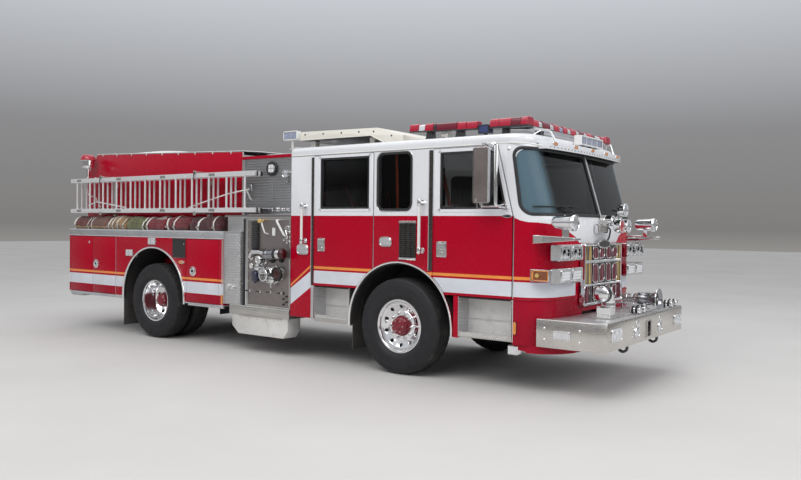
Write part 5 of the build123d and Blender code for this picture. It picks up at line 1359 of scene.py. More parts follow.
# chrome surround and cross bars
outer = [(-534, 848), (534, 848), (520, 1060), (520, 1494), (-520, 1494), (-520, 1060)]
P.frame(rounded(outer, [30, 30, 4, 24, 24, 4], 5), 20, "x", 3956, 4009, CHROME, 5)
for z0, z1, hw, x1 in ((1040, 1064, 524, 4006), (1284, 1314, 516, 4006), (1466, 1494, 516, 4002)):
    P.box(3962, x1, -hw, hw, z0, z1, CHROME, 7)
P.frame(rounded([(-548, 840), (548, 840), (524, 1058), (-524, 1058)], 34, 6), 14, "x", 3990, 4012, CHROME, 5)
oval = [(175 * math.cos(2 * math.pi * i / 40), 1483 + 47 * math.sin(2 * math.pi * i / 40)) for i in range(40)]
P.prism(oval, "x", 3988, 4011, CHROME, 4)
P.prism([(y * 0.84, 1483 + (z - 1483) * 0.74) for y, z in oval], "x", 4004, 4013, BLACK_GLOSS, 1)
o = P.done("nose_grille", "chassis", "chrome")
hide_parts("grille")

# ------------------------------------------------------------------ bumper
BUMPER = finish_mat("bumper_stainless", (0.66, 0.635, 0.60), 0.24, metal=1.0, var=0.06, var_scale=2.2, rvar=0.08, rscale=30, stretch=(0.5, 0.5, 8.0), bump=0.05, bscale=90, bdist=0.0004, dark=((0.50, 0.47, 0.43), 2.5, 0.5))
copy_node("front_bumper", "front_bumper_shell", lambda c, n: 1 if n.z > 0.7 and c.z > 735 else 0, [BUMPER, TREAD_XY], bevel=4.0, smooth=30)
P = Piece()
for s in (1, -1):
    # edge bead of the deck
    P.tube(bent([(3812, s * 1213, 756), (4416, s * 1213, 756), (4497, s * 1146, 756), (4497, s * 60, 756)], 20), 6, STEEL, 8)
    # marker lamp in the end, bolts
    pl = [(3989, 574), (4169, 574), (4169, 660), (3989, 660)]
    P.frame(rounded(pl, 20, 4), 13, "y", s * 1217.6, s * 1231, CHROME, 4)
    P.prism(rounded(inset(pl, 11), 12, 4), "y", s * 1217.6, s * 1229, LENS_CLEAR_X, 4)
    P.box(4074, 4084, s * 1218, s * 1231, 588, 646, CHROME, 1)
    for x, z in ((3894, 563), (3894, 675), (4260, 563), (4260, 675)):
        P.lathe((x, s * 1217.8, z), (0, s, 0), [(0, 13), (3, 13), (5, 11), (9, 6), (10, 0)], ALU_BRIGHT, 12)
    # outer lamp of the face: two lenses in one bezel
    y0, y1 = (-1052, -786) if s < 0 else (866, 1112)
    z0, z1 = (566, 696) if s < 0 else (556, 676)
    pl = [(y0, z0), (y1, z0), (y1, z1), (y0, z1)]
    P.frame(rounded(pl, 26, 5), 16, "x", 4503, 4517, CHROME, 4)
    P.prism(rounded(inset(pl, 14), 14, 4), "x", 4503, 4512, LENS_CLEAR, 3)
    P.box(4508, 4515, (y0 + y1) / 2 - 5, (y0 + y1) / 2 + 5, z0 + 14, z1 - 14, CHROME, 2)
    for q in (0.27, 0.73):
        P.lathe((4510, y0 + (y1 - y0) * q, (z0 + z1) / 2), (1, 0, 0), [(0, 38), (3, 36), (5, 28), (5, 0)], LENS_PLAIN, 24)
    for yy in (y0 - 22, y1 + 22):
        for zz in (z0 + 16, z1 - 16):
            P.lathe((4504.6, yy, zz), (1, 0, 0), [(0, 8), (3, 8), (5, 4), (5, 0)], STEEL, 10)
    # round lamp and its hooded cap
    yc, zc = (-349, 596) if s < 0 else (372, 588)
    P.lathe((4504, yc, zc), (1, 0, 0), [(0, 66), (7, 66), (11, 62), (12, 54), (9, 50)], CHROME, 32)
    P.lathe((4504, yc, zc), (1, 0, 0), [(3, 52), (8, 40), (10, 20), (11, 0)], LENS_PLAIN, 28)
    P.lathe((4504, yc + 12, zc + 92), (1, 0, 0), [(0, 34), (6, 33), (9, 26), (10, 0)], CHROME, 20)
    for yy, zz in ((yc - 96, zc - 40), (yc - 96, zc + 60), (yc + 96, zc - 40), (yc + 96, zc + 60)):
        P.lathe((4504.6, yy, zz), (1, 0, 0), [(0, 12), (4, 12), (7, 7), (7, 0)], ALU_BRIGHT, 10)
# slot frame in the middle
P.frame([(-52, 514), (82, 514), (82, 696), (-52, 696)], 12, "x", 4503, 4512, STEEL, 3)
P.box(4470, 4480, -40, 70, 526, 684, BLACK, 1)
for i in range(4):
    P.box(4480, 4488, -40, 70, 545 + i * 40, 551 + i * 40, STEEL, 1)
# lids and rails let into the deck
for y0, y1 in ((-560, -140), (480, 640)):
    P.frame([(4090, y0), (4400, y0), (4400, y1), (4090, y1)], 16, "z", 755, 766, STEEL, 2)
    P.box(4104, 4386, y0 + 14, y1 - 14, 755, 763, TREAD_XY, 2)
    P.box(4370, 4384, (y0 + y1) / 2 - 40, (y0 + y1) / 2 + 40, 762, 772, CHROME, 3)
P.done("bumper_trim", "chassis", "chrome")

# ------------------------------------------------------------------ suction elbow
P = Piece()
EX, EY, EZ = 4315.0, -715.0, 1005.0
P.box(EX - 72, EX + 72, EY - 72, EY + 72, 755.5, 874, CHROME, 7)
P.box(EX - 82, EX + 82, EY - 82, EY + 82, 755.5, 772, STEEL, 4)
for dx in (-60, 60):
    for dy in (-60, 60):
        P.lathe((EX + dx, EY + dy, 874), (0, 0, 1), [(-2, 11), (8, 11), (10, 8), (10, 0)], STEEL, 6)
NX, NY = 4335.0, -682.0
P.lathe((NX, NY, 872), (0, 0, 1), [(0, 60), (14, 60), (18, 56), (40, 54), (46, 58), (60, 58), (66, 52)], CHROME, 36)
ax = Vector((-0.25, -0.968246, 0.0))
st = Vector((NX, NY, EZ)) - ax * 22
P.tube(bent([(NX, NY, 915), (NX, NY, EZ), tuple(st + ax * 112)], 90, 8), 52, CHROME, 32)
P.lathe(st, ax, [(60, 66), (64, 76), (84, 78), (90, 70)], CHROME, 36)
P.lathe(st, ax, [(88, 70), (90, 83), (98, 85), (112, 85), (118, 82), (120, 70)], BLACK, 36)
P.lathe(st, ax, [(118, 70), (120, 80), (126, 82), (150, 82), (156, 78), (168, 60), (172, 30), (174, 0)], CHROME, 36)
P.lathe(st, ax, [(136, 80), (137, 85), (144, 85), (145, 80)], BLACK, 36)
side_v = ax.cross(Vector((0, 0, 1)))
for a in (35, 155, 275):
    c = math.radians(a)
    d = side_v * math.cos(c) + Vector((0, 0, 1)) * math.sin(c)
    P.cyl(st + ax * 128 + d * 66, d, 12, 30, BLACK, 12, 3)
d = side_v * 0.4 + Vector((0, 0, 1)) * 0.9
P.tube([st + ax * 100 + d * 70, st + ax * 116 + d * 88, st + ax * 146 + d * 96], [10, 8, 7], BLACK, 8)
# cap chain
P.tube(bent([tuple(st + ax * 150 + Vector((0, 0, -78))), tuple(st + ax * 120 + Vector((0, 0, -118))), (EX + 60, EY + 60, 874)], 30, 6), 4, STEEL, 6)
o = P.done("suction_elbow_fitting", "chassis", "chrome")
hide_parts("suction_elbow")

# ------------------------------------------------------------------ siren and deck couplings
P = Piece()
P.box(4256, 4414, 306, 414, 755.5, 778, CHROME, 5)
P.lathe((4335, 360, 776), (0, 0, 1), [(0, 44), (6, 44), (10, 36), (40, 32), (56, 38)], CHROME, 24)
A = (4085, 360, 885)
P.lathe(A, (1, 0, 0), [(0, 0), (0, 22), (6, 40), (14, 49), (30, 51), (60, 51), (64, 47), (70, 47), (74, 51), (120, 51), (124, 46), (132, 46), (136, 52), (170, 56), (178, 62)], CHROME, 36)
P.lathe(A, (1, 0, 0), [(176, 60), (182, 66), (236, 68), (252, 66), (262, 64), (320, 66), (350, 72), (370, 82), (388, 99), (400, 113), (408, 118), (411, 114), (406, 106)], SIREN_METAL, 44)
P.lathe(A, (1, 0, 0), [(396, 111), (401, 119.5), (410, 119.5), (411, 116)], CHROME, 44)
P.lathe(A, (1, 0, 0), [(406, 107), (396, 92), (380, 76), (378, 0)], SIREN_METAL, 44)
# black slats in the bell's mouth: painted shade of its hollow
for k in range(10):
    a = 2 * math.pi * k / 10
    P.box(4085 + 378, 4085 + 388, 360 - 3, 360 + 3, 885 + 16, 885 + 68, BLACK_GLOSS, 1, turn=Matrix.Rotation(a, 3, "X"), at=(4463, 360, 885))
# black bars round the bell's body: painted shade lines of its grooves
for k in range(12):
    a = 2 * math.pi * k / 12
    P.box(4085 + 266, 4085 + 316, 360 - 5, 360 + 5, 885 + 62, 885 + 68, BLACK_GLOSS, 1, turn=Matrix.Rotation(a, 3, "X"), at=(4300, 360, 885))
P.lathe((4463, 360, 885), (1, 0, 0), [(0, 18), (14, 16), (20, 8), (21, 0)], CHROME, 20)
for x, y in ((4400, -90), (4400, 60), (4435, 860), (4435, 1030)):
    q = (x - 60, y, 800)
    P.box(x - 26, x + 26, y - 26, y + 26, 755.5, 790, CHROME, 5)
    P.lathe(q, (1, 0, 0), [(0, 30), (0, 38), (4, 40), (20, 40), (24, 36)], CHROME, 28)
    P.lathe(q, (1, 0, 0), [(22, 36), (24, 43), (40, 43), (42, 36)], BLACK, 28)
    P.lathe(q, (1, 0, 0), [(42, 34), (44, 40), (62, 40), (66, 34)], CHROME, 28)
    P.lathe(q, (1, 0, 0), [(64, 34), (66, 43.5), (82, 43.5), (84, 34)], BLACK, 28)
    P.lathe(q, (1, 0, 0), [(82, 34), (86, 41), (106, 42), (114, 36), (118, 20), (119, 0)], CHROME, 28)
    for a in (20, 110, 200, 290):
        c = math.radians(a)
        P.cyl((x + 14, y + 38 * math.cos(c), 800 + 38 * math.sin(c)), (0, math.cos(c), math.sin(c)), 7, 9, BLACK, 8, 2)
# low rails from the siren back to the nose
for y, z in ((250, 800), (470, 800)):
    P.tube(bent([(4040, y, 757), (4040, y, z + 40), (4250, y + 10, z + 30), (4300, y + 10, 757)], 30, 5), 11, CHROME, 10)
o = P.done("deck_fitting_group", "chassis", "chrome")
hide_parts("deck_fittings")

# ------------------------------------------------------------------ mirrors
MIRROR_BACK = finish_mat("mirror_shell", (0.46, 0.40, 0.385), 0.14, metal=0.9, var=0.16, var_scale=4, rvar=0.07, rscale=18, bump=0.04, bscale=120, bdist=0.0005)
for side, s in sides:
    P = Piece()
    P.prism(rounded([(3190, 1890), (3365, 1890), (3365, 2450), (3190, 2450)], 18, 4), "y", s * 1390, s * 1429, MIRROR_BACK, 7)
    P.box(3186, 3194, s * 1393, s * 1426, 1902, 2438, SEAL, 2)
    P.box(3183, 3187, s * 1396, s * 1423, 1912, 2428, LENS_PLAIN, 1)
    P.lathe((3226, s * 1428.5, 1922), (0, s, 0), [(0, 16), (1, 15), (1.4, 10), (1.5, 0)], CHROME, 20)
    P.box(3345, 3368, s * 1388, s * 1428, 1900, 2440, ALU, 4)
    for z in (1884, 2456):
        P.box(3262, 3300, s * 1398, s * 1420, z - 14, z + 14, CHROME, 3)
    for dx in (0, 26):
        loop = [(3448 - dx * 0.5, s * 1224, 1852 + dx), (3448 - dx * 0.5, s * 1408, 1852 + dx * 0.3), (3448 - dx, s * 1408, 2484 - dx * 0.3), (3312 + dx * 0.5, s * 1408, 2484 - dx * 0.3), (3312 + dx * 0.5, s * 1224, 2452)]
        P.tube(bent(loop, 36, 5), 10, CHROME, 10)
    P.tube(bent([(3282, s * 1408, 1872), (3282, s * 1408, 1856), (3448, s * 1408, 1856)], 12, 4), 9, CHROME, 10)
    P.tube(bent([(3282, s * 1408, 2466), (3282, s * 1408, 2482), (3330, s * 1408, 2482)], 12, 4), 9, CHROME, 10)
    for x, z in ((3448, 1852), (3312, 2452), (3435, 1878)):
        P.box(x - 22, x + 22, s * 1220.4, s * 1232, z - 26, z + 26, CHROME, 4)
    P.tube(bent([(3230, s * 1408, 1890), (3230, s * 1408, 1836), (3282, s * 1408, 1836), (3282, s * 1408, 1856)], 14, 4), 4, CHROME, 6)
    ov = [(3470 + 56 * math.cos(2 * math.pi * i / 28), 1764 + 17 * math.sin(2 * math.pi * i / 28)) for i in range(28)]
    P.frame(ov, 7, "y", s * 1219.8, s * 1227, CHROME, 2)
    P.prism(inset(ov, 5), "y", s * 1219.8, s * 1223, BLACK, 1)
    o = P.done(f"{side}_mirror_head", body_of_node(f"{side}_mirror"), "chrome")
    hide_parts(f"{side}_mirror")
# replaces: left_mirror right_mirror

# ------------------------------------------------------------------ roof lamps
# replaces: front_bumper warning_lights roof_box
for m in (RED, RED_SHADED):
    for nd in m.node_tree.nodes:
        if nd.type == "BSDF_PRINCIPLED":
            nd.inputs["Specular IOR Level"].default_value = 0.14
FOOT = finish_mat("bar_foot", (0.030, 0.030, 0.033), 0.42, coat=0.2, var=0.14, rvar=0.10, bump=0.08, bscale=120, bdist=0.0006)
LENS_MAROON = wave_mat("lens_maroon", (0.17, 0.003, 0.020), 0.16, 0.0, 0, 0.014, 0.22, 0.0008, coat=0.5)
LENS_BRIGHT = wave_mat("lens_bright_red", (0.46, 0.004, 0.032), 0.14, 0.0, 0, 0.014, 0.22, 0.0008, coat=0.6)
LENS_WHITE = wave_mat("lens_white", (0.80, 0.82, 0.85), 0.10, 0.35, 0, 0.012, 0.25, 0.0008, coat=1.0)


def dome(cx, z0, w, h, k=5):
    """Section of a warning light lens: a low arch with rolled lower edges."""
    r = min(w, h) * 0.42
    p = rounded([(cx - w / 2, z0 + h), (cx - w / 2 - 3, z0), (cx + w / 2 + 3, z0), (cx + w / 2, z0 + h)], [r, 4, 4, r], k)
    return p


P = Piece()
# bar across the front of the roof
P.prism(rounded([(3478, 2662), (3622, 2662), (3618, 2684), (3482, 2684)], 5, 3), "y", -957, 957, ALU, 2)
P.prism(rounded([(3486, 2684), (3614, 2684), (3614, 2692), (3486, 2692)], 2, 2), "y", -950, 950, FOOT, 1)
ys = [-956, -826, -742, -560, -470, -330, -236, -120, -34, 110, 200, 330, 420, 560, 650, 826, 956]
mts = [LENS_BRIGHT, LENS_WHITE, LENS_MAROON, LENS_WHITE, LENS_BRIGHT, LENS_BLUE_GREY, LENS_BRIGHT, LENS_WHITE, LENS_BRIGHT, LENS_WHITE, LENS_MAROON, LENS_WHITE, LENS_BRIGHT, LENS_MAROON, LENS_WHITE, LENS_BRIGHT]
for i, mt in enumerate(mts):
    low = 10 if mt in (LENS_WHITE, LENS_BLUE_GREY) else 0
    P.prism(dome(3550, 2688, 126 - low, 77 - low), "y", ys[i] + 3, ys[i + 1] - 3, mt, 3)
    P.prism(dome(3550, 2686, 120, 66), "y", ys[i] - 2.5, ys[i] + 2.5, FOOT, 1)
for y in (-900, -695, 0, 695, 900):
    P.box(3484, 3500, y - 16, y + 16, 2676, 2690, STEEL, 2)
for s in (1, -1):
    P.prism([(3506, 2600.5), (3604, 2600.5), (3590, 2620), (3584, 2664), (3526, 2664), (3520, 2620)], "y", s * 650, s * 740, FOOT, 4)
    for dx in (3516, 3594):
        P.lathe((dx, s * 695, 2600.5), (0, 0, 1), [(0, 9), (6, 9), (8, 6), (8, 0)], STEEL, 6)
    # corner module: long dome with black base and end cap
    P.box(3188, 3622, s * 960, s * 1107, 2669, 2692, FOOT, 6)
    P.prism([(3304, 2600.5), (3376, 2600.5), (3368, 2672), (3312, 2672)], "y", s * 990, s * 1060, FOOT, 4)
    segs = [(3189, 3296, LENS_BRIGHT), (3300, 3436, LENS_BRIGHT), (3440, 3540, LENS_MAROON), (3544, 3622, LENS_BRIGHT)]
    for i, (x0, x1, mt) in enumerate(segs):
        prof = rounded([(s * 962, 2773), (s * 958, 2688), (s * 1109, 2688), (s * 1102, 2773)], [30, 4, 4, 44], 6)
        P.prism(prof, "x", x0, x1, mt, 5)
        if i:
            P.prism(rounded([(s * 961, 2767), (s * 958, 2690), (s * 1106, 2690), (s * 1098, 2767)], [28, 3, 3, 40], 5), "x", x0 - 4, x0, FOOT, 0.5)
    # blue flood behind it
    P.prism([(3094, 2600.5), (3118, 2600.5), (3114, 2640), (3098, 2640)], "y", s * 1010, s * 1060, FOOT, 3)
    P.box(3046, 3168, s * 978, s * 1074, 2628, 2719, NAVY, 12)
    P.frame(rounded([(3042, 2625), (3172, 2625), (3172, 2722), (3042, 2722)], 16, 4), 11, "y", s * 1068, s * 1093, FOOT, 3)
    P.prism(rounded([(3052, 2635), (3162, 2635), (3162, 2712), (3052, 2712)], 10, 3), "y", s * 1078, s * 1089, LENS_BLUE, 4)
    for k in range(5):
        P.box(3052 + k * 24, 3060 + k * 24, s * 976, s * 980, 2636, 2710, FOOT, 1)
    # side bar: leans a little forward, in segments
    def zb(x):
        return 2702 - 22 * (x - 2165) / 870.0
    segs = [(2167, 2286, LENS_BRIGHT, 0), (2290, 2370, LENS_WHITE, 8), (2374, 2482, LENS_BRIGHT, 0), (2486, 2516, FOOT, 4), (2520, 2786, LENS_MAROON, 0), (2790, 2900, LENS_BRIGHT, 0), (2904, 3033, LENS_BRIGHT, 0)]
    for i, (x0, x1, mt, low) in enumerate(segs):
        z0 = zb((x0 + x1) / 2)
        prof = rounded([(s * (988 + low / 2), z0 + 84 - low), (s * 986, z0 + 4), (s * 1104, z0 + 4), (s * (1100 - low / 2), z0 + 84 - low)], [26, 4, 4, 34], 5)
        P.prism(prof, "x", x0, x1, mt, 5)
        P.prism(rounded([(s * 988, z0 + 10), (s * 988, z0 - 8), (s * 1102, z0 - 8), (s * 1102, z0 + 10)], 3, 2), "x", x0 - 3, x1 + 3, FOOT, 2)
    for x0, x1 in ((2370, 2460), (2755, 2845)):
        P.prism([(x0 - 14, 2600.5), (x1 + 14, 2600.5), (x1 - 4, 2640), (x1 - 8, 2694), (x0 + 8, 2694), (x0 + 4, 2640)], "y", s * 1000, s * 1080, FOOT, 6)
        P.box(x0 - 18, x1 + 18, s * 994, s * 1086, 2600.5, 2606, STEEL, 2)
    # small horn between the feet
    P.box(2590, 2650, s * 1015, s * 1065, 2600.5, 2612, IVORY, 3)
    P.box(2610, 2630, s * 1030, s * 1050, 2606, 2640, IVORY, 3)
    P.lathe((2560, s * 1040, 2650), (1, 0, 0), [(0, 0), (0, 16), (8, 20), (40, 20), (60, 22), (90, 34), (94, 34), (88, 26), (88, 0)], IVORY, 24)
    # flood on its post at the back corner of the roof
    P.tube(bent([(325, s * 862, 2572), (325, s * 862, 2622), (325, s * 1055, 2622), (325, s * 1055, 2718)], 26, 5), 17, WHITE_PLAIN, 14)
    P.box(296, 354, s * 838, s * 888, 2570.5, 2582, WHITE_PLAIN, 3)
    P.box(296, 352, s * 884, s * 1078, 2602, 2610, WHITE_PLAIN, 2)
    P.prism(rounded([(210, 2716), (442, 2716), (442, 2824), (210, 2824)], 14, 4), "y", s * 1016, s * 1094, WHITE_PLAIN, 7)
    for k in range(9):
        P.box(226 + k * 24, 232 + k * 24, s * 1010.5, s * 1022, 2726, 2814, WHITE_PLAIN, 1)
    P.frame(rounded([(206, 2712), (446, 2712), (446, 2828), (206, 2828)], 12, 3), 13, "y", s * 1088, s * 1109, WHITE_PLAIN, 4)
    for k in range(3):
        P.prism(rounded([(220 + k * 71, 2726), (286 + k * 71, 2726), (286 + k * 71, 2814), (220 + k * 71, 2814)], 8, 3), "y", s * 1090, s * 1103, LENS_BLUE_GREY, 3)
    P.box(312, 338, s * 1044, s * 1066, 2702, 2722, FOOT, 3)
    # rear beacon
    bx, by = -4228.0, s * 1050.0
    P.box(bx - 18, bx + 18, s * 901, s * 1060, 2374, 2398, CHROME, 4)
    P.tube(bent([(bx, s * 902, 2390), (bx + 40, s * 930, 2368), (-3735, s * 930, 2366)], 30, 4), 13, CHROME, 12)
    P.box(-3760, -3712, s * 900.5, s * 945, 2350, 2382, STEEL, 3)
    P.lathe((bx, by, 2372), (0, 0, 1), [(0, 0), (0, 34), (8, 34), (12, 24), (150, 24), (154, 40), (163, 44)], CHROME, 24)
    P.lathe((bx, by, 2535), (0, 0, 1), [(0, 40), (0, 92), (5, 95), (40, 95), (44, 90), (72, 90), (76, 95), (108, 95), (112, 108), (118, 112)], CHROME, 40)
    P.lathe((bx, by, 2652), (0, 0, 1), [(0, 104), (0, 116), (4, 118), (14, 118), (18, 112), (46, 108), (70, 98), (84, 78), (91, 44), (93, 0)], LENS_BRIGHT, 40)
    for k in range(8):
        a = 2 * math.pi * k / 8
        P.lathe((bx + 112 * math.cos(a), by + 112 * math.sin(a), 2652), (0, 0, 1), [(-2, 4), (16, 4), (18, 0)], STEEL, 6)
# flood on the brow
P.frame([(-250, 2552), (350, 2552), (350, 2655), (-250, 2655)], 12, "x", 3748, 3834, WHITE_PLAIN, 5)
P.box(3750, 3790, -240, 340, 2560, 2647, WHITE_PLAIN, 5)
for k in range(4):
    y0 = -236 + k * 145
    P.prism(rounded([(y0, 2564), (y0 + 137, 2564), (y0 + 137, 2643), (y0, 2643)], 10, 3), "x", 3788, 3824, LENS_BLUE_GREY, 4)
    P.box(3786, 3828, y0 + 139, y0 + 143, 2562, 2645, WHITE_PLAIN, 1)
P.box(3767, 3813, 22, 78, 2527, 2556, FOOT, 4)
for y in (-120, 220):
    P.box(3772, 3806, y - 14, y + 14, 2524, 2556, FOOT, 4)
# tube guards from the corners of the bar down to the brow
for s in (1, -1):
    P.tube(bent([(3300, s * 1012, 2666), (3560, s * 962, 2656), (3736, s * 832, 2648), (3790, s * 792, 2527)], 34, 6), 11, CHROME, 12)
    P.tube([(3664, s * 885, 2651), (3480, s * 1205, 2446)], 8, CHROME, 10)
    P.lathe((3478, s * 1214, 2443), (0, s, 0.2), [(-6, 20), (3, 20), (6, 12), (6, 0)], CHROME, 16)
    P.lathe((3790, s * 792, 2526), (0, 0, 1), [(0, 22), (5, 22), (8, 12), (8, 0)], CHROME, 16)
# marker lamps and rivets on the brow's edge
for i in range(-13, 14):
    y = i * 72.0
    x = 3852 - 62 * (y / 1010) ** 2
    P.lathe((x - 0.6, y, 2468), (1, 0, 0), [(-2, 7), (2, 7), (3.6, 4), (4, 0)], FOOT, 10)
for y in (-850, -420, 0, 420, 850):
    x = 3852 - 62 * (y / 1010) ** 2
    P.prism(rounded([(y - 46, 2490), (y + 46, 2490), (y + 46, 2518), (y - 46, 2518)], 10, 4), "x", x - 6, x + 12, LENS_AMBER, 5)
    P.frame(rounded([(y - 50, 2486), (y + 50, 2486), (y + 50, 2522), (y - 50, 2522)], 12, 4), 6, "x", x - 6, x + 8, CHROME, 2)
o = P.done("roof_lamps", "chassis", "red_lens")
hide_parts("warning_lights")

# ------------------------------------------------------------------ roof rail and box
P = Piece()
for s in (1, -1):
    P.tube(bent([(476, s * 1216, 2500), (3500, s * 1216, 2500), (3640, s * 1180, 2492), (3764, s * 1060, 2470)], 120, 6), 8, WHITE_PLAIN, 10)
    P.tube(bent([(480, s * 1130, 2596), (3440, s * 1130, 2596), (3560, s * 1090, 2590)], 80, 5), 7, WHITE_PLAIN, 8)
    for x in range(620, 3300, 220):
        P.lathe((x, s * 1165, 2592), (0, s * 0.55, 0.83), [(-2, 8), (2, 8), (4, 4), (4, 0)], WHITE_PLAIN, 8)
    # dark strip under the drip rail: a painted shadow line under the rail
    P.box(476, 3340, s * 1218.5, s * 1221, 2485.5, 2491, FOOT, 0.5)
    # roof grab rail and cable cover
    P.tube(bent([(1120, s * 700, 2600), (1120, s * 700, 2634), (1980, s * 700, 2634), (1980, s * 700, 2600)], 24, 5), 11, CHROME, 10)
P.box(700, 2000, -40, 40, 2600.2, 2612, TREAD_XY, 3)
for y in (-520, 520):
    P.box(2300, 2860, y - 190, y + 190, 2600.2, 2616, TREAD_XY, 4)
    P.box(2310, 2330, y - 60, y + 60, 2614, 2634, CHROME, 4)
P.lathe((2560, 0, 2600), (0, 0, 1), [(0, 60), (8, 60), (14, 40), (20, 36), (22, 0)], FOOT, 28)
P.tube([(2560, 0, 2620), (2556, 0, 2740), (2552, 0, 2820)], [5, 3, 2], FOOT, 8)
P.done("roof_rails", "chassis", "white_paint")

copy_node("roof_box", "roof_box_shell", lambda c, n: 1 if (n.z < -0.3 and c.x < 1790) else 0, [IVORY, FOOT], bevel=7.0, smooth=36)
P = Piece()
for s in (1, -1):
    P.tube([(474, s * 1081, 2706), (1598, s * 1081, 2700), (1796, s * 1081, 2608)], 6, IVORY, 8)
    for x, z in ((560, 2770), (860, 2764), (1150, 2758), (1420, 2752), (1640, 2742), (1900, 2680)):
        P.lathe((x, s * 1079.8, z), (0, s, 0), [(-1, 11), (3, 11), (6, 7), (7, 0)], FOOT, 12)
    P.box(556, 644, s * 896, s * 984, 2600.3, 2608, STEEL, 3)
    P.box(1496, 1584, s * 896, s * 984, 2600.3, 2608, STEEL, 3)
for i in range(9):
    P.lathe((530, -960 + i * 240, 2807), (0.02, 0, 1), [(-3, 10), (2, 10), (4, 6), (4, 0)], FOOT, 10)
    P.box(700, 1640, -962 + i * 240, -954 + i * 240, 2790, 2801, IVORY, 3, turn=Matrix.Rotation(0.0202, 3, "Y"), at=(1170, 0, 2796))
P.done("roof_box_fittings", "chassis", "dark_plastic")

# ------------------------------------------------------------------ pump house
# replaces: pump_house pump_valves running_boards ladders suction_hoses tow_eyes
PANEL_BROWN = finish_mat("panel_satin", (0.225, 0.200, 0.195), 0.34, metal=0.55, var=0.10, var_scale=2.5, rvar=0.10, rscale=24, bump=0.05, bscale=120, bdist=0.0004, coat=0.25, dark=((0.15, 0.135, 0.13), 5, 0.5))
RIB_GREY = finish_mat("ribbed_panel", (0.40, 0.405, 0.415), 0.36, metal=0.8, var=0.10, var_scale=3.0, rvar=0.10, rscale=30, stretch=(5.0, 0.3, 0.3), bump=0.06, bscale=110, bdist=0.0004)
CAP_NAVY = finish_mat("cap_navy", (0.018, 0.020, 0.055), 0.25, metal=0.6, var=0.15, rvar=0.08, bump=0.05, bscale=120, bdist=0.0005, coat=0.6)
CAP_RED = finish_mat("cap_dark_red", (0.050, 0.006, 0.009), 0.28, metal=0.4, var=0.15, rvar=0.08, bump=0.05, bscale=120, bdist=0.0005, coat=0.6)


def pump_paint(c, n):
    if c.z > 1776 and abs(c.y) > 880:
        return 1 if c.z < 2528 else 2
    if c.z > 1776:
        return 3 if n.z > 0.7 else 1
    if c.x < -420:
        return 4
    if 1748 < c.z < 1777:
        return 5
    return 0


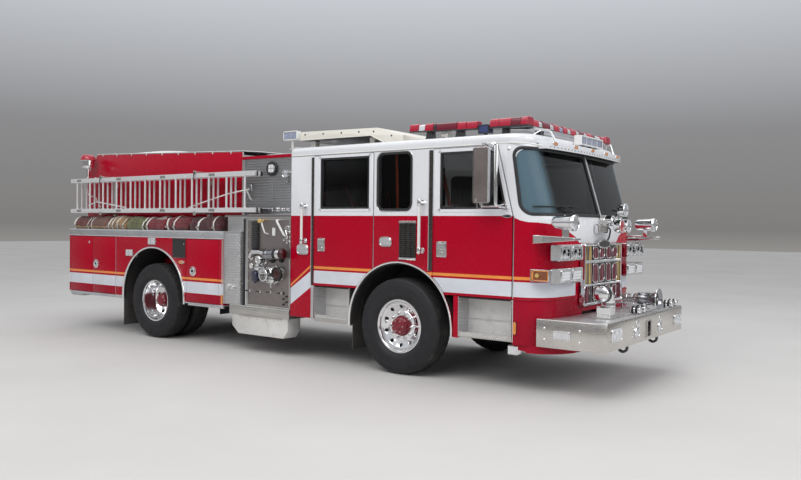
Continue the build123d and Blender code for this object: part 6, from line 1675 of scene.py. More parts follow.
copy_node("pump_house", "pump_house_panels", pump_paint, [PANEL_BROWN, RIB_GREY, RED, TREAD_XY, TREAD_XZ, BLACK], planes=[((0, 0, 2528), (0, 0, 1), lambda c: c.z > 1776)], bevel=3.0)
P = Piece()
for s in (1, -1):
    # slats of the upper module
    for i in range(20):
        z = 1812 + i * 36
        if z > 2510:
            break
        P.prism([(s * 900.3, z), (s * 908, z + 5), (s * 909, z + 17), (s * 900.3, z + 24)], "x", -690, 428, RIB_GREY, 1.5)
    P.box(-760, -700, s * 900.2, s * 912, 1778, 2528, ALU_BRIGHT, 3)
    P.box(430, 448, s * 900.2, s * 910, 1778, 2528, RIB_GREY, 2)
    P.prism([(s * 900.2, 2530), (s * 914, 2534), (s * 914, 2566), (s * 900.2, 2568)], "x", -762, 448, RED, 3)
    # round lamp
    q = (-182, s * 900, 2388)
    P.lathe(q, (0, s, 0), [(0, 96), (26, 96), (36, 88), (38, 70), (30, 60)], BLACK, 36)
    P.lathe(q, (0, s, 0), [(28, 64), (32, 60), (33, 0)], LENS_PLAIN, 28)
    for dx in (-1, 1):
        for dz in (-1, 1):
            P.box(q[0] + dx * 24 - 20, q[0] + dx * 24 + 20, s * 932, s * 940, q[2] + dz * 26 - 22, q[2] + dz * 26 + 22, WHITE_PLAIN, 4)
    q = (104, s * 900, 2312)
    P.lathe(q, (0, s, 0), [(0, 40), (10, 40), (30, 46), (64, 52), (70, 50), (66, 44)], CHROME, 28)
    P.lathe(q, (0, s, 0), [(60, 44), (66, 28), (67, 0)], LENS_PLAIN, 24)
    P.tube(bent([(104, s * 925, 2262), (104, s * 925, 2210), (60, s * 905, 2190)], 20, 4), 7, CHROME, 8)
    # thin rods, handles and the rail with its fittings
    for z0, z1 in ((2200, 2060), (2030, 1960)):
        P.tube([(-170, s * 924, z0), (-170, s * 924, z1)], 6, CHROME, 8)
        P.box(-178, -162, s * 900, s * 926, z0 - 16, z0 - 2, CHROME, 2)
    P.tube(bent([(-640, s * 905, 2128), (-640, s * 938, 2120), (-560, s * 938, 1990), (-556, s * 905, 1980)], 14, 4), 9, WHITE_PLAIN, 10)
    P.tube(bent([(-560, s * 905, 2190), (-560, s * 930, 2186), (-548, s * 930, 2110), (-548, s * 905, 2106)], 12, 4), 8, CHROME, 10)
    P.tube([(-690, s * 940, 1860), (-140, s * 940, 1860)], 12, CHROME, 12)
    for x in (-680, -420, -150):
        P.tube(bent([(x, s * 902, 1838), (x, s * 934, 1838), (x, s * 940, 1860)], 12, 3), 9, CHROME, 8)
        P.lathe((x, s * 900.4, 1838), (0, s, 0), [(0, 20), (4, 20), (6, 14)], CHROME, 16)
    for x, r in ((-80, 26), (20, 20), (110, 15)):
        P.lathe((x, s * 900.4, 1850), (0, s, 0), [(0, r + 8), (6, r + 8), (10, r), (34, r), (38, r - 5), (38, 0)], CHROME, 20)
    # edge ledge with its bright strip
    P.box(-330, 449, s * 1150, s * 1206, 1734, 1747, ALU_BRIGHT, 3)
    P.box(-330, 449, s * 910, s * 1204, 1776.2, 1782, TREAD_XY, 2)
    # frame of the lower panel
    P.frame([(-334, 602), (448, 602), (448, 1730), (-334, 1730)], 22, "y", s * 1199, s * 1208, STEEL, 2)
    P.box(-352, -336, s * 1150, s * 1212, 604, 1728, ALU_BRIGHT, 3)
    P.box(-429, -353, s * 1120, s * 1180, 604, 1728, BLACK, 2)
    for x in (-308, 424):
        for z in range(660, 1720, 132):
            P.lathe((x, s * 1200, z), (0, s, 0), [(-1, 8), (3, 8), (5, 5), (5, 0)], STEEL, 10)
    # upright corrugated duct
    ring = []
    for i in range(30):
        z = 1700 - i * 12
        ring += [(z, 70 if i % 2 else 60)]
    P.lathe((-170, s * 1196, 0), (0, 0, 1), [(1708, 30)] + ring + [(1340, 52), (1300, 44)], FOOT, 28)
    P.box(-250, -90, s * 1200, s * 1214, 1700, 1722, STEEL, 3)
    # hand controls: ball, rods and plate
    P.lathe((-36, s * 1202, 1700), (0, s, 0), [(0, 14), (40, 12), (52, 26), (66, 30), (80, 24), (88, 0)], GOLD, 20)
    P.tube(bent([(-30, s * 1244, 1690), (20, s * 1262, 1612), (50, s * 1256, 1545), (52, s * 1200, 1535)], 26, 4), 10, WHITE_PLAIN, 10)
    P.tube(bent([(236, s * 1202, 1712), (250, s * 1252, 1704), (330, s * 1258, 1600), (384, s * 1250, 1520), (386, s * 1202, 1510)], 26, 4), 14, WHITE_PLAIN, 12)
    P.tube(bent([(392, s * 1202, 1590), (396, s * 1240, 1584), (430, s * 1240, 1500), (430, s * 1202, 1490)], 18, 4), 12, CHROME, 10)
    for x, z in ((400, 1620), (418, 1560), (372, 1470), (424, 1440)):
        P.lathe((x, s * 1200, z), (0, s, 0), [(0, 24), (6, 24), (10, 16), (30, 14), (34, 20), (46, 20), (48, 0)], CHROME, 16)
    P.prism(rounded([(126, 1514), (178, 1514), (178, 1614), (126, 1614)], 6, 3), "y", s * 1200, s * 1205, WHITE_PLAIN, 1)
    for z in (1522, 1606):
        P.lathe((152, s * 1204, z), (0, s, 0), [(0, 5), (2, 5), (3, 0)], STEEL, 8)
    # gauges and pull handles
    gx = [(-250, 1120), (-250, 1230)] if s < 0 else [(300, 1660), (300, 1540), (-20, 1420), (90, 1420), (200, 1420), (310, 1420)]
    for i, (x, z) in enumerate(gx):
        r = 44 if s > 0 else 30
        P.lathe((x, s * 1200, z), (0, s, 0), [(0, r + 6), (10, r + 6), (14, r), (12, r - 4)], CHROME, 28)
        P.lathe((x, s * 1200, z), (0, s, 0), [(11, r - 3), (11, 0)], WHITE_PLAIN, 28)
        P.box(x - 2, x + 2, s * 1211, s * 1213, z - 4, z + r - 12, BLACK, 0.5, turn=Matrix.Rotation(0.7 + i * 0.5, 3, "Y"), at=(x, s * 1212, z))
        for k in range(9):
            a = math.radians(-120 + 30 * k)
            P.box(x - 1.2, x + 1.2, s * 1211, s * 1212.6, z + r - 11, z + r - 4, BLACK, 0.2, turn=Matrix.Rotation(a, 3, "Y"), at=(x, s * 1212, z))
    for i in range(7 if s > 0 else 4):
        x, z = (-280 + i * 100, 1330) if s > 0 else (-280 + i * 190, 800)
        P.lathe((x, s * 1200, z), (0, s, 0), [(0, 18), (4, 18), (6, 8), (44, 7)], CHROME, 14)
        P.tube([(x - 26, s * 1248, z), (x + 26, s * 1248, z)], 9, BLACK_GLOSS, 10)
    # drain row
    for i in range(5):
        x = 340 + (i % 2) * 54
        P.lathe((x, s * 1200, 660 + i * 34), (0, s, 0), [(0, 13), (10, 13), (14, 9), (26, 9), (28, 0)], BLACK, 12)
    # perforated side panel behind the controls, with its knobs
    P.frame([(-764, 602), (-432, 602), (-432, 1558), (-764, 1558)], 14, "y", s * 1219.5, s * 1226, STEEL, 2)
    for x, z in ((-640, 842), (-560, 826)):
        P.lathe((x, s * 1220, z), (0, s, 0), [(0, 30), (6, 30), (10, 20), (24, 18), (30, 26), (44, 26), (50, 18), (51, 0)], CHROME, 22)
    for z in range(640, 1540, 110):
        for x in (-748, -448):
            P.lathe((x, s * 1225, z), (0, s, 0), [(0, 6), (2, 6), (3, 0)], STEEL, 8)
# top: tread deck with a round outlet and hose well rails
P.lathe((60, 0, 2570), (0, 0, 1), [(0, 150), (14, 150), (20, 120), (60, 92), (74, 92), (80, 80)], CHROME, 36)
P.lathe((60, 0, 2570), (0, 0, 1), [(70, 90), (90, 88), (96, 60), (97, 0)], CAP_NAVY, 32)
for y in (-600, 600):
    P.tube(bent([(-600, y, 2570), (-600, y, 2606), (300, y, 2606), (300, y, 2570)], 20, 4), 12, CHROME, 10)
P.done("pump_panel_fittings", "chassis", "stainless")

P = Piece()
for s in (1, -1):
    # main intake: open bore with a strainer at its foot
    q = (60, s * 1200, 1015)
    P.lathe(q, (0, s, 0), [(0, 104), (10, 104), (14, 98), (34, 96), (40, 88), (60, 80), (70, 78), (96, 78), (100, 74), (100, 58), (40, 57.5), (4, 57.5)], CHROME, 44)
    P.lathe(q, (0, s, 0), [(3, 57.5), (4, 30), (4, 0)], STEEL, 32)
    for k in range(6):
        a = 2 * math.pi * k / 6 + 0.3
        P.lathe((60 + 90 * math.cos(a), s * 1210, 1015 + 90 * math.sin(a)), (0, s, 0), [(0, 10), (8, 10), (10, 7), (10, 0)], STEEL, 6)
        P.box(60 - 6, 60 + 6, s * 1270, s * 1290, 1015 + 74, 1015 + 92, CHROME, 3, turn=Matrix.Rotation(a, 3, "Y"), at=(60, s * 1280, 1015))
    for k in range(-2, 3):
        for j in range(-2, 3):
            if k * k + j * j < 6:
                P.lathe((60 + k * 18, s * 1203.5, 1015 + j * 18), (0, s, 0), [(0, 6), (1.5, 6), (1.5, 4), (0.5, 4), (0.5, 0)], BLACK, 10)
    # discharges: x, z, radius, reach, body, cap, turn down
    for x, z, r, reach, body, cap in ((-30, 1205, 52, 110, CHROME, CHROME),):
        q = (x, s * 1200, z)
        P.lathe(q, (0, s, 0), [(0, r + 14), (6, r + 14), (10, r), (reach * 0.35, r - 6), (reach * 0.42, r), (reach * 0.5, r), (reach * 0.54, r - 5)], body, 32)
        P.lathe(q, (0, s, 0), [(reach * 0.5, r - 6), (reach * 0.54, r + 2), (reach * 0.66, r + 2), (reach * 0.70, r - 5)], BLACK, 32)
        P.lathe(q, (0, s, 0), [(reach * 0.68, r - 4), (reach * 0.72, r), (reach * 0.93, r), (reach, r - 10), (reach, r - 22), (reach - 3, r - 26), (reach - 3, 0)], cap, 32)
        for a in (0.4, 2.5, 4.6):
            P.cyl((x + (r - 4) * math.cos(a), s * (1200 + reach * 0.8), z + (r - 4) * math.sin(a)), (math.cos(a), 0, math.sin(a)), 9, 16, cap, 12, 3)
    # bright elbow with its lever and the small cap below
    P.tube(bent([(-232, s * 1240, 1250), (-170, s * 1266, 1300), (-40, s * 1274, 1306), (90, s * 1282, 1284)], 60, 6), 27, CHROME, 16)
    P.lathe((-232, s * 1240, 1250), (-0.6, 0, -0.75), [(-8, 31), (14, 33), (22, 28), (22, 0)], CHROME, 22)
    P.lathe((-66, s * 1200, 1108), (0, s, 0), [(0, 46), (6, 46), (12, 36), (60, 34), (66, 42), (84, 42), (90, 32), (91, 0)], CHROME, 28)
    # long outlet along the panel on its two branches, capped at the front
    P.lathe((138, s * 1200, 1232), (0, s, 0.5), [(-20, 62), (6, 62), (12, 44), (90, 42)], FOOT, 28)
    P.lathe((296, s * 1200, 1236), (0, s, 0.5), [(-20, 54), (6, 54), (12, 38), (90, 36)], BLACK, 28)
    q, ax = (66, s * 1284, 1270), (1, 0, 0.07)
    P.lathe(q, ax, [(0, 0), (0, 34), (8, 44), (40, 58), (54, 60), (60, 65), (74, 65), (80, 60), (130, 61), (190, 63), (196, 60)], SIREN_METAL, 36)
    P.lathe(q, ax, [(194, 58), (198, 68), (232, 69), (238, 60)], BLACK, 36)
    P.lathe(q, ax, [(236, 58), (242, 64), (292, 64), (298, 58)], CHROME, 36)
    P.lathe(q, ax, [(296, 56), (300, 67), (338, 68), (350, 62), (362, 44), (364, 20), (364, 0)], CAP_RED, 36)
    P.lathe(q, ax, [(318, 66), (322, 72), (334, 72), (338, 66)], BLACK, 36)
    for a in (0.6, 2.1, 3.7, 5.3):
        P.cyl((66 + 215, s * 1284 + 66 * math.cos(a), 1285 + 66 * math.sin(a)), (0, math.cos(a), math.sin(a)), 9, 14, BLACK, 12, 3)
    # large cap turned down and back, and the dark wide one in front
    q, ax = (-92, s * 1200, 1008), (-0.22, s, -0.22)
    P.lathe(q, ax, [(-20, 62), (8, 62), (14, 52), (34, 52), (38, 62), (52, 62)], CHROME, 32)
    P.lathe(q, ax, [(48, 60), (52, 76), (88, 78), (98, 70), (104, 40), (105, 0)], CAP_NAVY, 36)
    for a in (0.5, 2.6, 4.7):
        P.cyl((-92 - 14 + 74 * math.cos(a), s * 1270, 992 + 74 * math.sin(a)), (math.cos(a), 0, math.sin(a)), 10, 14, CAP_NAVY, 12, 3)
    q = (280, s * 1200, 1036)
    P.lathe(q, (0, s, 0), [(0, 74), (8, 74), (14, 58), (42, 56), (46, 60), (54, 60)], STEEL, 32)
    P.lathe(q, (0, s, 0), [(50, 58), (54, 86), (86, 88), (92, 82), (92, 66), (84, 62), (84, 0)], BLACK, 36)
    P.lathe(q, (0, s, 0), [(83, 60), (86, 56), (88, 30), (90, 0)], CAP_RED, 28)
    P.lathe((208, s * 1200, 962), (0, s, 0), [(0, 40), (8, 40), (14, 28), (60, 27), (64, 40), (92, 40), (96, 32), (97, 0)], CHROME, 26)
    P.tube(bent([(172, s * 1240, 930), (176, s * 1268, 912), (176, s * 1268, 866)], 18, 4), 13, CHROME, 12)
    P.lathe((172, s * 1200, 930), (0, s, 0), [(0, 24), (8, 24), (12, 16), (44, 16)], CHROME, 18)
    P.lathe((196, s * 1200, 1108), (0, s, 0), [(0, 30), (10, 30), (14, 20), (34, 18), (38, 26), (50, 26), (52, 0)], CHROME, 20)
o = P.done("pump_valve_group", "chassis", "chrome")
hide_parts("pump_valves")

# ------------------------------------------------------------------ running boards and tow eyes
copy_node("running_boards", "running_board_boxes", lambda c, n: (1 if n.z > 0.7 and c.z > 560 else (2 if c.z < 482 else 0)), [STEEL, TREAD_XY, STEP_LIGHT], bevel=5.0)
P = Piece()
for s in (1, -1):
    P.box(-636, 446, s * 1196, s * 1224, 588, 601, ALU_BRIGHT, 3)
    for i in range(7):
        P.prism(rounded([(-330 + i * 96, s * 1080), (-246 + i * 96, s * 1080), (-246 + i * 96, s * 1176), (-330 + i * 96, s * 1176)], 12, 3), "z", 595, 606, BLACK, 2)
        for k in range(4):
            P.box(-324 + i * 96, -252 + i * 96, s * (1092 + k * 22), s * (1098 + k * 22), 605, 609, BLACK, 1)
    P.box(-636, 446, s * 1223, s * 1229, 560, 574, STEEL, 2)
    P.box(-636, 446, s * 1223, s * 1229, 500, 514, STEEL, 2)
    # hinge and catch of the box under the board
    P.tube([(-460, s * 1218, 470), (330, s * 1218, 470)], 8, STEEL, 8)
    for x in (-300, 180):
        P.box(x - 30, x + 30, s * 1214, s * 1222, 250, 286, CHROME, 3)
    for x in range(-420, 330, 150):
        P.lathe((x, s * 1214.5, 440), (0, s, 0), [(-1, 9), (3, 9), (5, 5), (5, 0)], STEEL, 10)
P.done("running_board_trim", "chassis", "tread_plate")
copy_node("tow_eyes", "tow_eye_plates", lambda c, n: 0, [BLACK_GLOSS], bevel=4.0)

# ------------------------------------------------------------------ side body details
P = Piece()
for s in (1, -1):
    # panel behind the arch with its frame
    P.box(-1830, -1558, s * 1219, s * 1226, 1180, 1442, BLACK_GLOSS, 3)
    P.frame([(-1834, 1176), (-1554, 1176), (-1554, 1446), (-1834, 1446)], 8, "y", s * 1219.5, s * 1229, FOOT, 2)
    P.lathe((-1585, s * 1226, 1370), (0, s, 0), [(0, 9), (4, 9), (6, 5), (6, 0)], STEEL, 12)
    # amber marker
    ov = [(-1645 + 62 * math.cos(2 * math.pi * i / 28), 1117 + 24 * math.sin(2 * math.pi * i / 28)) for i in range(28)]
    P.prism(ov, "y", s * 1219.5, s * 1228, CHROME, 3)
    P.prism(inset(ov, 7), "y", s * 1226, s * 1238, LENS_AMBER, 5)
    P.box(-1594, -1566, s * 1220, s * 1236, 1104, 1132, CHROME, 4)
    # square lamps over the arch
    for x, z, w, h in ((-2300, 1396, 86, 50), (-2838, 1213, 84, 48)):
        P.box(x - w, x + w, s * 1218, s * 1240, z - h, z + h, CHROME, 9)
        P.prism(rounded([(x - w + 12, z - h + 11), (x + w - 12, z - h + 11), (x + w - 12, z + h - 11), (x - w + 12, z + h - 11)], 8, 3), "y", s * 1238, s * 1248, LENS_WHITE, 4)
        P.box(x - 3, x + 3, s * 1244, s * 1251, z - h + 9, z + h - 9, CHROME, 1)
        for dx in (-w - 4, w + 4):
            P.lathe((x + dx, s * 1220, z), (0, s, 0), [(-1, 8), (3, 8), (5, 0)], STEEL, 8)
    # strips on the body's front corner
    P.box(-800, -780, s * 1219.5, s * 1224, 580, 1440, CHROME, 2)
    P.box(-812, -776, s * 1219.5, s * 1226, 590, 712, LENS_AMBER, 2)
    P.box(-812, -776, s * 1219.5, s * 1226, 716, 812, REFLECT_WHITE, 2)
    # rail mouldings
    for z in (1456, 1548):
        P.tube([(-4458, s * 1221, z), (-770, s * 1221, z)], 5, ALU_BRIGHT, 8)
    for x in range(-4380, -800, 300):
        P.lathe((x, s * 1220, 1502), (0, s, 0), [(-1, 9), (3, 9), (5, 5), (5, 0)], STEEL, 10)
    P.tube([(-4458, s * 1222, 560), (-3010, s * 1222, 560)], 6, ALU_BRIGHT, 8)
    P.tube([(-1530, s * 1222, 560), (-770, s * 1222, 560)], 6, ALU_BRIGHT, 8)
    P.box(-4440, -3030, s * 1190, s * 1216, 526, 553, ALU, 3)
    P.box(-1500, -770, s * 1190, s * 1216, 526, 553, ALU, 3)
    # tail: lamp clusters, steps, grab rails
    for k, (z, mt) in enumerate(((760, LENS_BRIGHT), (890, LENS_AMBER), (1020, LENS_WHITE), (1180, LENS_BRIGHT))):
        P.frame(rounded([(s * 880, z), (s * 1130, z), (s * 1130, z + 112), (s * 880, z + 112)], 14, 3), 12, "x", -4472, -4459, CHROME, 3)
        P.prism(rounded([(s * 890, z + 10), (s * 1120, z + 10), (s * 1120, z + 102), (s * 890, z + 102)], 10, 3), "x", -4470, -4459, mt, 4)
    P.tube(bent([(-4459, s * 840, 980), (-4498, s * 840, 980), (-4498, s * 840, 1530), (-4459, s * 840, 1530)], 24, 5), 14, CHROME, 12)
    P.tube(bent([(-4459, s * 620, 980), (-4498, s * 620, 980), (-4498, s * 620, 1530), (-4459, s * 620, 1530)], 24, 5), 14, CHROME, 12)
    for z in (640, 860):
        P.box(-4500, -4459, s * 640, s * 820, z - 8, z + 8, TREAD_XY, 3)
        P.box(-4500, -4494, s * 640, s * 820, z - 20, z + 8, STEEL, 2)
    P.box(-4468, -4459, s * 1160, s * 1212, 600, 1440, REFLECT_WHITE, 2)
    P.tube([(-4496, -s * 0 + s * 1148, 520), (-4230, s * 1148, 520)], 8, STEEL, 8)
P.box(-4503, -4494, -1146, 1146, 496, 548, STEEL, 3)
for i in range(11):
    P.box(-4502, -4210, -1090 + i * 218 - 40, -1090 + i * 218 + 40, 554, 560, BLACK, 2)
for i in range(22):
    P.lathe((-4503, -1100 + i * 104.8, 508), (-1, 0, 0), [(0, 6), (1.5, 6), (2, 0)], STEEL, 8)
P.done("body_trim", "chassis", "chrome")

for side, s in sides:
    for nm, x, z in (("middle", -3715, 1020), ("forward", -1393, 1000), ("rear", -3900, 1352)):
        P = Piece()
        q = (x, s * 1219.5, z)
        if nm != "rear":
            P.lathe(q, (0, s, 0), [(0, 66), (6, 66), (10, 60), (10, 50), (3, 46), (2, 0)], CHROME, 36)
            P.lathe(q, (0, s, 0), [(2.5, 44), (3, 0)], BLACK, 28)
            P.tube(bent([(x - 34, s * 1226, z - 18), (x - 30, s * 1234, z + 26), (x + 30, s * 1234, z + 26), (x + 34, s * 1226, z - 18)], 14, 4), 7, CHROME, 10)
            P.tube([(x - 36, s * 1226, z - 20), (x + 36, s * 1226, z - 20)], 8, CHROME, 10)
            P.lathe((x, s * 1220, z + 34), (0, s, 0), [(2, 10), (9, 10), (11, 6), (11, 0)], STEEL, 14)
        else:
            P.lathe(q, (0, s, 0), [(0, 20), (5, 20), (8, 14), (9, 0)], CHROME, 24)
        P.done(f"{nm}_{side}_locker_catch", f"{nm}_{side}_locker_door", "chrome")
P = Piece()
P.lathe((-4478, 0, 780), (-1, 0, 0), [(-8, 60), (0, 60), (6, 54), (4, 44), (2, 0)], CHROME, 32)
P.tube([(-4483, -34, 790), (-4483, 34, 790)], 8, CHROME, 10)
for y in (-480, 0, 480):
    P.box(-4482, -4470, y - 50, y + 50, 1462, 1482, STEEL, 3)
P.frame([(-552, 730), (552, 730), (552, 1472), (-552, 1472)], 10, "x", -4483, -4474, CHROME, 2)
P.done("rear_locker_catch", "rear_locker_door", "chrome")

# ------------------------------------------------------------------ ladders
RAIL_AL = finish_mat("ladder_rail", (0.80, 0.80, 0.81), 0.36, metal=0.45, var=0.05, var_scale=3, rvar=0.10, rscale=40, stretch=(0.3, 4, 4), bump=0.05, bscale=120, bdist=0.0004)
P = Piece()
for n, (yo, x0, x1, rungs, first) in enumerate(((-1180, -4505, -225, 12, 0), (-1100, -4440, -280, 11, 0), (-1020, -4440, -280, 11, 0))):
    yi = yo + 35
    for z0, z1, up in ((1810, 1872, 1), (2288, 2350, -1)):
        # channel rail: web and two flanges, with end caps
        P.box(x0 + 4, x1 - 4, yo + 2, yo + 9, z0 + 4, z1 - 4, RAIL_AL, 1.5)
        P.box(x0 + 2, x1 - 2, yo, yi, z1 - 9, z1, RAIL_AL, 3)
        P.box(x0 + 2, x1 - 2, yo, yi, z0, z0 + 9, RAIL_AL, 3)
        P.box(x0 + 4, x1 - 4, yo - 0.6, yo + 3, z0 + 24, z0 + 38, RAIL_AL, 1.5)
        for xe in (x0, x1 - 18):
            P.box(xe, xe + 18, yo, yi, z0, z1, BLACK if n else RAIL_AL, 4)
        if n == 0:
            for xx in range(int(x0) + 240, int(x1), 1067):
                P.box(xx - 60, xx + 60, yo - 0.8, yo + 2, z0 + 12, z0 + 50, ALU_BRIGHT, 1)
    for i in range(rungs):
        x = -4344 + 355.6 * i
        if x > x1 - 30:
            continue
        yc = (yo + yi) / 2 + 3
        prof = [(1866, 15)]
        for k in range(26):
            prof += [(1880 + k * 15.4, 13.4 if k % 2 else 15)]
        prof += [(2294, 15)]
        P.lathe((x, yc, 0), (0, 0, 1), prof, RAIL_AL, 14)
        for z, d in ((1872, 1), (2288, -1)):
            P.lathe((x, yc, z), (0, 0, d), [(-4, 19), (6, 19), (9, 15)], RAIL_AL, 14)
# hooks and halyard pieces between the ladders
P.tube(bent([(-4200, -1120, 2300), (-4080, -1125, 2090), (-3900, -1120, 2050), (-3760, -1118, 1900)], 50, 5), 8, STEEL, 8)
P.tube(bent([(-4180, -1062, 1930), (-3960, -1060, 1986), (-3500, -1060, 1930), (-3180, -1058, 1890)], 50, 5), 10, WHITE_PLAIN, 8)
P.tube(bent([(-1700, -1056, 1880), (-1400, -1056, 1950), (-900, -1056, 2060), (-460, -1056, 2120)], 60, 5), 9, WHITE_PLAIN, 8)
for x in (-3700, -1450):
    for z0, z1 in ((1785, 1810), (2350, 2374)):
        P.box(x, x + 60, -1184, -902, z0 + 1, z1 - 1, STEEL, 4)
        P.box(x + 4, x + 56, -1186, -1180.5, z0 - 14, z1 + 14, STEEL, 2)
    P.box(x, x + 60, -938, -901, 1700, 2374, STEEL, 5)
    P.box(x - 20, x + 80, -906, -900.4, 1740, 1800, STEEL, 3)
    P.box(x - 20, x + 80, -906, -900.4, 2200, 2260, STEEL, 3)
    P.tube(bent([(x + 30, -1186, 2362), (x + 30, -1196, 2362), (x + 30, -1196, 2250)], 8, 3), 6, BLACK, 8)
o = P.done("ladder_set", "chassis", "ladder_aluminium")
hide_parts("ladders")

# ------------------------------------------------------------------ hard suction hoses
P = Piece()
for y in (1000, 1125):
    prof = [(-4170, 54)]
    n = 116
    for i in range(n):
        x = -4130 + i * 25.2
        prof += [(x, 50.5), (x + 7, 55.5), (x + 16, 55.5)]
    prof += [(-1190, 54)]
    P.lathe((0, y, 1622), (1, 0, 0), prof, FOOT, 20)
    for xe, d in ((-4200, 1), (-1150, -1)):
        P.lathe((xe, y, 1622), (d, 0, 0), [(0, 34), (0, 50), (6, 57), (30, 57.5), (34, 50), (64, 50), (68, 56), (90, 56), (94, 52)], CHROME, 28)
        for a in (0.3, 1.87, 3.44, 5.0):
            P.cyl((xe + d * 18, y + 52 * math.cos(a), 1622 + 52 * math.sin(a)), (0, math.cos(a), math.sin(a)), 9, 7, CHROME, 10, 2)
for x in (-4000, -2700, -1400):
    P.box(x, x + 50, 932, 1193, 1560.5, 1572, STEEL, 3)
    for y in (1000, 1125):
        pl = [(y + 60 * math.cos(math.radians(a)), 1622 + 60 * math.sin(math.radians(a))) for a in range(-172, -7, 12)]
        pl += [(y + 60, 1576), (y + 58, 1564), (y - 58, 1564), (y - 60, 1576)]
        P.prism(pl[:14] + [(y + 58, 1564), (y - 58, 1564)], "x", x + 4, x + 46, STEEL, 2)
        P.tube([(x + 25, y + 58.5 * math.cos(math.radians(a)), 1622 + 58.5 * math.sin(math.radians(a))) for a in range(-10, 191, 10)], 4, BLACK, 6)
o = P.done("hard_suction_hoses", "chassis", "hose_rubber")
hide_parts("suction_hoses")

# bright edge strip in front of the middle locker door
P = Piece()
for s in (1, -1):
    P.box(-3200, -3194, s * 1218, s * 1222, 576, 1440, ALU, 1)
P.done("locker_edge_strips", "chassis", "polished_aluminium")

# ------------------------------------------------------------------ padded pieces
# replaces: hose_bundles seats hose_bed_cover
from mathutils import noise as mnoise
from mathutils.bvhtree import BVHTree


def applied(o):
    """The mesh of an object with its modifiers made final."""
    dg = bpy.context.evaluated_depsgraph_get()
    me = bpy.data.meshes.new_from_object(o.evaluated_get(dg))
    old = o.data
    mats = list(old.materials)
    o.modifiers.clear()
    o.data = me
    me.materials.clear()
    for mt in mats:
        me.materials.append(mt)
    return me


def swell(rows, frames=16):
    """Remeshes each piece evenly and blows it up a little as cloth; rows are (piece, voxel, pressure, cap) in metres."""
    rest = {}
    for o, voxel, pressure, cap in rows:
        r = o.modifiers.new("remesh", "REMESH")
        r.mode = "VOXEL"
        r.voxel_size = voxel
        me = applied(o)
        rest[o.name] = [v.co.copy() for v in me.vertices]
    for o, voxel, pressure, cap in rows:
        c = o.modifiers.new("cloth", "CLOTH")
        st = c.settings
        st.quality = 4
        st.mass = 0.3
        st.tension_stiffness = 14
        st.compression_stiffness = 14
        st.shear_stiffness = 5
        st.bending_stiffness = 0.4
        st.use_pressure = True
        st.uniform_pressure_force = pressure
        st.effector_weights.gravity = 0
        c.collision_settings.use_collision = False
        c.collision_settings.use_self_collision = False
        c.point_cache.frame_start = 1
        c.point_cache.frame_end = frames
    sc = bpy.context.scene
    for f in range(1, frames + 1):
        sc.frame_set(f)
    for o, voxel, pressure, cap in rows:
        me = applied(o)
        for v, was in zip(me.vertices, rest[o.name]):
            d = v.co - was
            if d.length > cap:
                v.co = was + d.normalized() * cap
    sc.frame_set(1)
    for o, *_ in rows:
        o.data.update()


def loft(sections, mat):
    """A closed form through rings of equal length."""
    P = Piece()
    n = len(sections[0])
    V = [p for s in sections for p in s]
    F = [[i * n + j, i * n + (j + 1) % n, (i + 1) * n + (j + 1) % n, (i + 1) * n + j] for i in range(len(sections) - 1) for j in range(n)]
    F += [list(range(n))[::-1], [(len(sections) - 1) * n + j for j in range(n)]]
    P.add(V, F, mat)
    return P


HOSE_BM = hose_mat("hose_brown_maroon", (0.135, 0.030, 0.026))
HOSE_DK = hose_mat("hose_dark_maroon", (0.075, 0.012, 0.018))
# pale hose colour laid on the top of bundle 5: a painted highlight where light falls on its top
HOSE_PALE_HIGHLIGHT = hose_mat("hose_pale_highlight", (0.36, 0.30, 0.29))
BUNDLES = [(-4400, -3960, HOSE_BM, HOSE_TAN), (-3940, -3480, HOSE_BROWN, HOSE_TAN), (-3460, -3020, HOSE_TAN, HOSE_TAN), (-3000, -2560, HOSE_OLIVE, HOSE_OLIVE),
           (-2540, -2080, HOSE_MAROON, HOSE_MAROON), (-2060, -1560, HOSE_MAROON, HOSE_DK), (-1540, -900, HOSE_DK, HOSE_DK)]
SECTION = [(-1193, 1562), (-1195, 1650), (-1122, 1762), (-1000, 1768), (-927, 1690), (-927, 1562)]


def hose_form(x0, x1, mat, k):
    base = rounded(SECTION, [22, 50, 60, 60, 50, 22], 5)
    cy, cz = -1060, 1650
    rings = []
    n = 18
    for i in range(n + 1):
        t = i / n
        x = x0 + 7 + (x1 - x0 - 14) * t
        e = min(t, 1 - t) * (x1 - x0)
        pinch = 0.90 + 0.07 * min(1.0, e / 70.0) ** 0.6
        swing = 0.010 * math.sin(3.1 * t + k * 1.7)
        ring = []
        for y, z in base:
            ring.append((x, cy + (y - cy) * (pinch + swing), max(1562.0, cz + (z - cz) * (pinch - swing) - 3)))
        rings.append(ring)
    return loft(rings, mat)


hoses = []
for k, (x0, x1, mt, low) in enumerate(BUNDLES):
    o = hose_form(x0, x1, mt, k).done(f"hose_bundle_{k + 1}", "chassis", "canvas")
    o.data.materials.append(low)
    o.data.materials.append(HOSE_PALE_HIGHLIGHT)
    hoses.append((o, 0.0105, 5.0, 0.012))

SEAT_ROWS = [(2640, 1, 745, 1302), (2640, 1, -745, 1302), (2420, -1, 800, 1302), (2420, -1, -800, 1302), (560, 1, 880, 1002), (560, 1, 0, 1002), (560, 1, -880, 1002)]
pads = []


